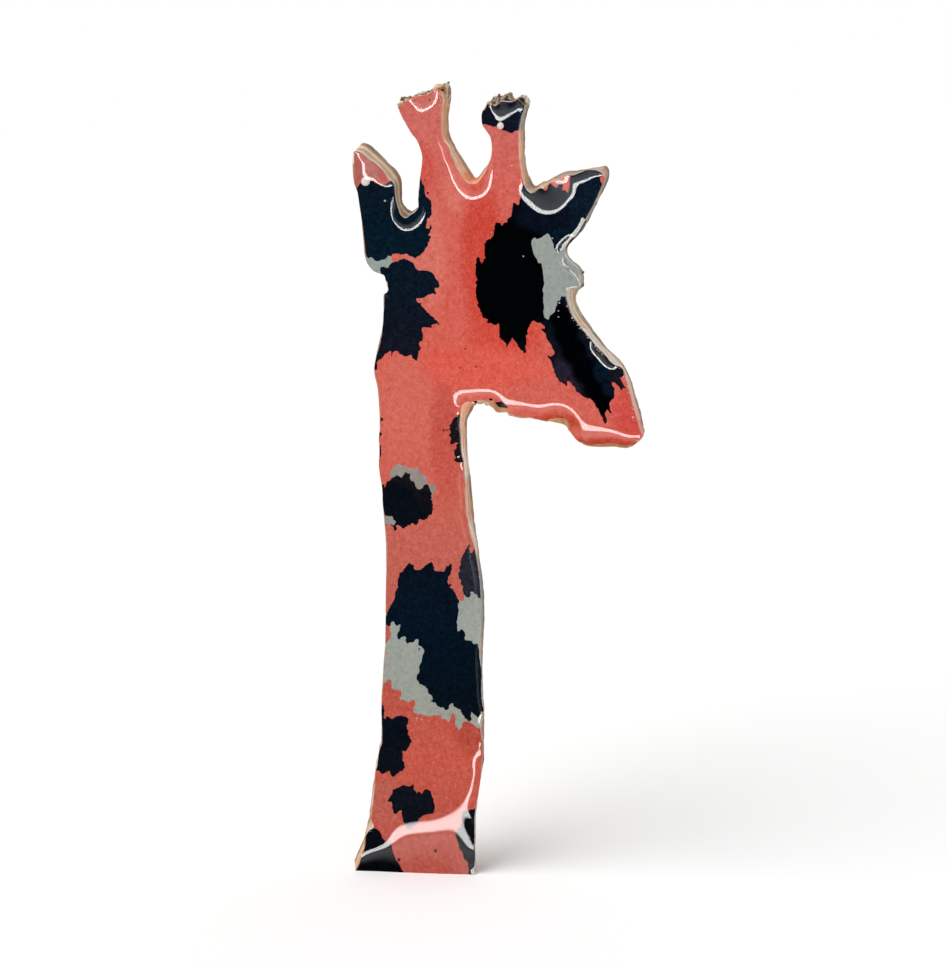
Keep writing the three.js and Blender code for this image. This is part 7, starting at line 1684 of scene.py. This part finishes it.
def settle(free, pinned, pinned_h, target):
    """Solve the pour over the triangles by conjugate gradients."""
    n_ = len(v2)
    P = v2[tri]
    e = [P[:, 2] - P[:, 1], P[:, 0] - P[:, 2], P[:, 1] - P[:, 0]]
    two_a = np.abs(np.cross(e[2], -e[1]))
    ea, eb, ew = [], [], []
    for k_, (i_, j_) in enumerate(((1, 2), (2, 0), (0, 1))):
        cot = -(e[i_] * e[j_]).sum(1) / two_a      # of the corner facing edge k_
        ea += [tri[:, i_], tri[:, j_]]
        eb += [tri[:, j_], tri[:, i_]]
        w_ = np.clip(cot, -4, 4) * 0.5 * CAP_L ** 2
        ew += [w_, w_]
    ea, eb, ew = np.concatenate(ea), np.concatenate(eb), np.concatenate(ew)
    mass = np.bincount(tri.ravel(), np.repeat(two_a / 6, 3), n_)
    diag = np.bincount(ea, ew, n_) + mass
    spread = lambda f: diag * f - np.bincount(ea, ew * f[eb], n_)
    x = np.where(free, target, 0.0)
    x[pinned] = pinned_h
    r = np.where(free, mass * target - spread(x), 0.0)
    z_ = r / diag
    p_, rz = z_.copy(), (r * z_).sum()
    for _ in range(900):
        q_ = np.where(free, spread(p_), 0.0)
        al = rz / (p_ * q_).sum()
        x += al * p_
        r -= al * q_
        z_ = r / diag
        rn = (r * z_).sum()
        if rn < 1e-10:
            break
        p_ = z_ + rn / rz * p_
        rz = rn
    return x


hv = settle(~border, np.nonzero(border)[0], rim, crown_field(v2[:, 0], v2[:, 1]))
hv[border] = 0.62 * rim + 0.03 * noise3(v2[border, 0] * 1.2, 0, v2[border, 1] * 1.2, 61)
nv = len(v2)
verts = [np.column_stack([v2[:, 0], Y_PAPER - hv, v2[:, 1]]),
         np.column_stack([v2[:, 0], np.full(nv, Y_PAPER + 0.004), v2[:, 1]])]
faces = [tuple(int(q) for q in t) for t in tri] + [tuple(int(q) + nv for q in t[::-1]) for t in tri]
for a, b in edge_count:
    faces.append((b, a, a + nv, b + nv))
resin = new_mesh("resin_pour", np.vstack(verts), faces, [RESIN], None, smooth=True)
sm = np.ones(len(resin.data.polygons), bool)
sm[len(tri):2 * len(tri)] = False
resin.data.polygons.foreach_set("use_smooth", sm)


def evened(mesh, passes):
    """Even out the shading of the poured face, which the eye reads as polished."""
    V, T = verts[0], np.asarray(tri)
    fn = np.cross(V[T[:, 1]] - V[T[:, 0]], V[T[:, 2]] - V[T[:, 0]])
    if float(np.dot(fn[0], mesh.polygons[0].normal)) < 0:
        fn = -fn
    vn, flat = np.zeros((nv, 3)), np.zeros((nv, 3))
    whole = ~border[T].any(1)      # triangles clear of the rim's rounding
    for k_ in range(3):
        np.add.at(vn, T[:, k_], fn)
        np.add.at(flat, T[whole, k_], fn[whole])
    calm = (np.abs(flat).sum(1) > 0) & ~border
    vn[calm] = flat[calm]
    vn /= np.maximum(np.linalg.norm(vn, axis=1), 1e-12)[:, None]
    ea = np.concatenate([T[:, 0], T[:, 1], T[:, 2], T[:, 1], T[:, 2], T[:, 0]])
    eb = np.concatenate([T[:, 1], T[:, 2], T[:, 0], T[:, 0], T[:, 1], T[:, 2]])
    inner = calm[eb]
    ea, eb = ea[inner], eb[inner]
    deg = np.bincount(ea, minlength=nv).astype(float)
    keep = calm & (deg > 2)
    deg = np.maximum(deg, 1.0)
    for _ in range(passes):
        mean = np.stack([np.bincount(ea, vn[eb, c_], nv) for c_ in range(3)], 1) / deg[:, None]
        vn[keep] = 0.5 * vn[keep] + 0.5 * mean[keep]
        vn /= np.maximum(np.linalg.norm(vn, axis=1), 1e-12)[:, None]
    idx = np.zeros(len(mesh.loops), np.int32)
    mesh.loops.foreach_get("vertex_index", idx)
    out_ = np.zeros((len(idx), 3))
    n_ = 3 * len(T)
    out_[:n_] = vn[idx[:n_]]
    mesh.normals_split_custom_set(out_.tolist())


evened(resin.data, 6)
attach(resin, "brooch")
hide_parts("resin_dome")

# -------------------------------------------------- bubbles, flecks and beads
def balls(name, items, mat, seg=10, rings_=6):
    """Many small flattened balls as one mesh: x, y, z, radius, thickness."""
    V, Fc = [], []
    for x, y, z, r, th in items:
        o = len(V)
        V.append((x, y - th, z))
        for i in range(1, rings_):
            a_ = math.pi * i / rings_
            for j in range(seg):
                b_ = 2 * math.pi * j / seg
                V.append((x + r * math.sin(a_) * math.cos(b_), y - th * math.cos(a_), z + r * math.sin(a_) * math.sin(b_)))
        V.append((x, y + th, z))
        last = o + 1 + (rings_ - 1) * seg
        for j in range(seg):
            j2 = (j + 1) % seg
            Fc.append((o, o + 1 + j, o + 1 + j2))
            for i in range(rings_ - 2):
                p_ = o + 1 + i * seg
                Fc.append((p_ + j, p_ + seg + j, p_ + seg + j2, p_ + j2))
            Fc.append((last, last - seg + j2, last - seg + j))
    ob = new_mesh(name, V, Fc, [mat], None, smooth=True)
    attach(ob, "brooch")
    return ob


def milky(name, colour, rough):
    m, nt, out = material(name)
    k = Kit(nt)
    n1 = k.noise(k.coords(), 3000.0, 3.0, 0.6)
    col = k.mix(k.math("MULTIPLY", n1, 0.5), colour, tuple(c * 0.7 for c in colour))
    k.principled(out, Base_Color=col, Roughness=rough, Specular_IOR_Level=0.4)
    return m


# The bubbles are opaque balls whose white and grey are painted reflection, the light a bubble in resin mirrors.
BUBBLE_SHEEN_WHITE = milky("bubble_painted_reflection", srgb(236, 224, 216), 0.35)
BUBBLE_SHEEN_GREY = milky("small_bubble_painted_reflection", srgb(196, 186, 182), 0.45)
FLECK = milky("fleck_dark", srgb(92, 18, 18), 0.8)
TANNED = milky("rim_fibre", srgb(176, 158, 132), 0.7)
# The creeping resin's white is a painted highlight along the rim.
CREEP_HIGHLIGHT = milky("resin_creep_painted_highlight", srgb(222, 222, 216), 0.4)
CHIP_MATS = {"pale": milky("chip_pale", srgb(214, 200, 182), 0.8), "tan": milky("chip_tan", srgb(166, 142, 120), 0.8),
             "brown": milky("chip_brown", srgb(120, 98, 80), 0.85), "dark": milky("chip_dark", srgb(66, 54, 46), 0.9),
             "amber": milky("chip_amber", srgb(188, 132, 82), 0.8)}


def top_y(x, z):
    return Y_PAPER - float(hv[int(np.argmin((v2[:, 0] - x) ** 2 + (v2[:, 1] - z) ** 2))])


# Bubbles drawn as opaque balls in painted-reflection white and grey.
balls("trapped_bubbles", [(x, top_y(x, z) + 0.25, z, r, 0.2) for x, z, r in BUBBLES if r > 0.3], BUBBLE_SHEEN_WHITE)
balls("small_bubbles", [(x, top_y(x, z) + 0.16, z, r * 0.72, r * 0.5) for x, z, r in BUBBLES if r < 0.3], BUBBLE_SHEEN_GREY)
balls("paper_flecks", [(x, Y_PAPER - 0.012, z, r, 0.03) for x, z, r in SPECKS], FLECK)
beads = []
for run in BEADED:
    for (xa, za), (xb, zb) in zip(run, run[1:]):
        ln = math.hypot(xb - xa, zb - za)
        for q in range(int(ln / 0.17)):
            t_ = (q + rng.random()) * 0.17 / ln
            x, z = xa + (xb - xa) * t_, za + (zb - za) * t_
            i_ = int(np.argmin((F[:, 0] - x) ** 2 + (F[:, 1] - z) ** 2))
            r = 0.04 + 0.06 * rng.random()
            ins_ = 0.02 + 0.20 * rng.random()
            beads.append((F[i_, 0] - nF[i_, 0] * ins_, Y_PAPER - 0.10 - 0.25 * ins_, F[i_, 1] - nF[i_, 1] * ins_, r, r * 0.8))
balls("rim_bubbles", beads, TANNED, 8, 5)


def strands(name, runs, mat, y0, deep):
    """Wobbly strands along runs of x, z; deep is their reach along y."""
    V, Fc = [], []
    for run in runs:
        r0, pts = run[0], run[1:]
        path = []
        for (xa, za), (xb, zb) in zip(pts, pts[1:]):
            n_ = max(1, int(math.hypot(xb - xa, zb - za) / 0.07))
            path += [(xa + (xb - xa) * i / n_, za + (zb - za) * i / n_) for i in range(n_)]
        path = np.array(path + [pts[-1]], float)
        tan = np.gradient(path, axis=0) if len(path) > 1 else np.array([[1.0, 0.0]])
        tan /= np.maximum(np.hypot(tan[:, 0], tan[:, 1]), 1e-9)[:, None]
        wob_ = noise3(path[:, 0] * 6, path[:, 1] * 6, 0, 61)
        fat = np.clip(1.0 + 0.45 * noise3(path[:, 0] * 9, path[:, 1] * 9, 0, 67), 0.5, 1.5)
        first = len(V)
        V.append((path[0, 0] - tan[0, 0] * r0, y0, path[0, 1] - tan[0, 1] * r0))
        for q, (x, z) in enumerate(path):
            nx_, nz_ = -tan[q, 1], tan[q, 0]
            cx, cz = x + nx_ * wob_[q] * 0.3 * r0, z + nz_ * wob_[q] * 0.3 * r0
            for j in range(7):
                a_ = 2 * math.pi * j / 7
                V.append((cx + nx_ * r0 * fat[q] * math.cos(a_), y0 + deep(r0) * fat[q] * math.sin(a_), cz + nz_ * r0 * fat[q] * math.cos(a_)))
        V.append((path[-1, 0] + tan[-1, 0] * r0, y0, path[-1, 1] + tan[-1, 1] * r0))
        last = len(V) - 1
        for j in range(7):
            j2 = (j + 1) % 7
            Fc.append((first, first + 1 + j2, first + 1 + j))
            for q in range(len(path) - 1):
                a_, b_ = first + 1 + q * 7, first + 1 + (q + 1) * 7
                Fc.append((a_ + j, a_ + j2, b_ + j2, b_ + j))
            Fc.append((last, first + 1 + (len(path) - 1) * 7 + j, first + 1 + (len(path) - 1) * 7 + j2))
    ob = new_mesh(name, V, Fc, [mat], None, smooth=True)
    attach(ob, "brooch")
    return ob


# White strands round the right ear and the bump below it: a painted highlight along the rim.
strands("resin_creep", CREEP, CREEP_HIGHLIGHT, Y_PAPER - 0.16, lambda r: r)
for tone_ in sorted({c_[0] for c_ in CHIPS}):
    strands("chips_%s" % tone_, [c_[1:] for c_ in CHIPS if c_[0] == tone_], CHIP_MATS[tone_],
            -WOOD + 0.75 - 0.1 * (tone_ == "pale"), lambda r: 0.7)

# --------------------------------------------------------------- the bar pin
for node, mat in (("base_bar", NICKEL), ("hinge_rivet", NICKEL), ("pin_stem", STEEL),
                  ("catch_housing", NICKEL), ("catch_rivet", NICKEL), ("catch_rotor", NICKEL),
                  ("adhesive_bond", GLUE)):
    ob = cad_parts[node]
    ob = bpy.data.objects[ob] if isinstance(ob, str) else ob
    ob.data.materials.clear()
    ob.data.materials.append(mat)

# ------------------------------------------------------------ stage and light
bpy.context.scene.view_settings.view_transform = "Standard"
floor_mat, nt, out = material("stage_floor")
k = Kit(nt)
k.principled(out, Base_Color=(0.93, 0.93, 0.928, 1), Roughness=0.85, Specular_IOR_Level=0.0)
bpy.ops.mesh.primitive_plane_add(size=1, location=(0, 0, 0))
floor = bpy.context.active_object
floor.name = "floor"
floor.scale = (30.0, 30.0, 1)
floor.data.materials.append(floor_mat)

floor.visible_glossy = False   # the resin mirrors the lamps, not the floor

world = bpy.data.worlds.new("studio")
bpy.context.scene.world = world
world.use_nodes = True
wn = world.node_tree
for n in list(wn.nodes):
    wn.nodes.remove(n)
wk = Kit(wn)
wo = wn.nodes.new("ShaderNodeOutputWorld")
ray = wk.node("ShaderNodeTexCoord").outputs["Generated"]
xyz = wk.node("ShaderNodeSeparateXYZ")
wn.links.new(ray, xyz.inputs[0])
EL = wk.math("MULTIPLY", wk.math("ARCSINE", xyz.outputs[2]), 180 / math.pi)
AZ = wk.math("MULTIPLY", wk.math("ARCTAN2", xyz.outputs[0], wk.math("MULTIPLY", xyz.outputs[1], -1.0)), 180 / math.pi)


def smooth(v, a, b):
    n = wk.node("ShaderNodeMapRange")
    n.interpolation_type = "SMOOTHSTEP"
    wn.links.new(v, n.inputs["Value"])
    n.inputs["From Min"].default_value = a
    n.inputs["From Max"].default_value = b
    return n.outputs["Result"]


def window(v, a, sa, b, sb):
    return wk.math("MULTIPLY", smooth(v, a - sa, a + sa), wk.math("SUBTRACT", 1.0, smooth(v, b - sb, b + sb)))


def lamp(el0, s0_, el1, s1_, az0, s2_, az1, s3_, strength, bowed):
    """A soft lamp mirrored in the resin: a patch of the sky in degrees."""
    el = EL
    if not bowed:
        hi = wk.math("MAXIMUM", wk.math("SUBTRACT", AZ, 24.0), 0.0)
        el = wk.math("SUBTRACT", el, wk.math("MULTIPLY", wk.math("MULTIPLY", hi, hi), 0.010))
    else:
        lo = wk.math("MAXIMUM", wk.math("SUBTRACT", -3.0, AZ), 0.0)
        hi = wk.math("MAXIMUM", wk.math("SUBTRACT", AZ, -3.0), 0.0)
        el = wk.math("ADD", el, wk.math("MULTIPLY", wk.math("MULTIPLY", lo, lo), 0.007))
        el = wk.math("ADD", el, wk.math("MULTIPLY", wk.math("MULTIPLY", hi, hi), 0.026))
    both = wk.math("MULTIPLY", window(el, el0, s0_, el1, s1_), window(AZ, az0, s2_, az1, s3_))
    return wk.math("MULTIPLY", both, strength)


glow = 0.006
for spec in LAMPS:
    glow = wk.math("ADD", lamp(*spec), glow)
behind = wk.math("MULTIPLY", smooth(xyz.outputs[1], 0.0, 0.45), wk.math("ADD", wk.math("MULTIPLY", smooth(xyz.outputs[2], -0.25, 0.7), 1.7), 0.5))
glow = wk.math("ADD", glow, behind)
bg_camera = wk.node("ShaderNodeBackground", Color=(1, 1, 1, 1), Strength=1.0)
bg_glossy = wk.node("ShaderNodeBackground", Color=(1, 1, 1, 1), Strength=glow)
bg_soft = wk.node("ShaderNodeBackground", Color=(1, 1, 1, 1), Strength=SKY)
lp = wk.node("ShaderNodeLightPath")
m1 = wn.nodes.new("ShaderNodeMixShader")
m2 = wn.nodes.new("ShaderNodeMixShader")
wn.links.new(lp.outputs["Is Glossy Ray"], m1.inputs[0])
wn.links.new(bg_soft.outputs[0], m1.inputs[1])
wn.links.new(bg_glossy.outputs[0], m1.inputs[2])
wn.links.new(lp.outputs["Is Camera Ray"], m2.inputs[0])
wn.links.new(m1.outputs[0], m2.inputs[1])
wn.links.new(bg_camera.outputs[0], m2.inputs[2])
wn.links.new(m2.outputs[0], wo.inputs["Surface"])


sun = bpy.data.lights.new("soft_key", "SUN")
sun.energy = 2.1
sun.angle = math.radians(48)
key = bpy.data.objects.new("soft_key", sun)
key.rotation_euler = (-Vector((-0.42, -0.40, 0.82))).to_track_quat("-Z", "Y").to_euler()
key.visible_glossy = False
bpy.context.scene.collection.objects.link(key)

# --------------------------------------------------------------------- camera
cam = bpy.data.cameras.new("camera")
cam.lens = 85.0
cam.sensor_width = 36.0
cam.sensor_fit = "AUTO"
cam.clip_start, cam.clip_end = 0.01, 20
co = bpy.data.objects.new("camera", cam)
bpy.context.scene.collection.objects.link(co)
right, up, fwd = Vector(CAM_RIGHT), Vector(CAM_UP), Vector(CAM_FWD)
m = Matrix((right, up, -fwd)).transposed().to_4x4()
m.translation = Vector(CAM_LOC) * MM
co.matrix_world = m
bpy.context.scene.camera = co
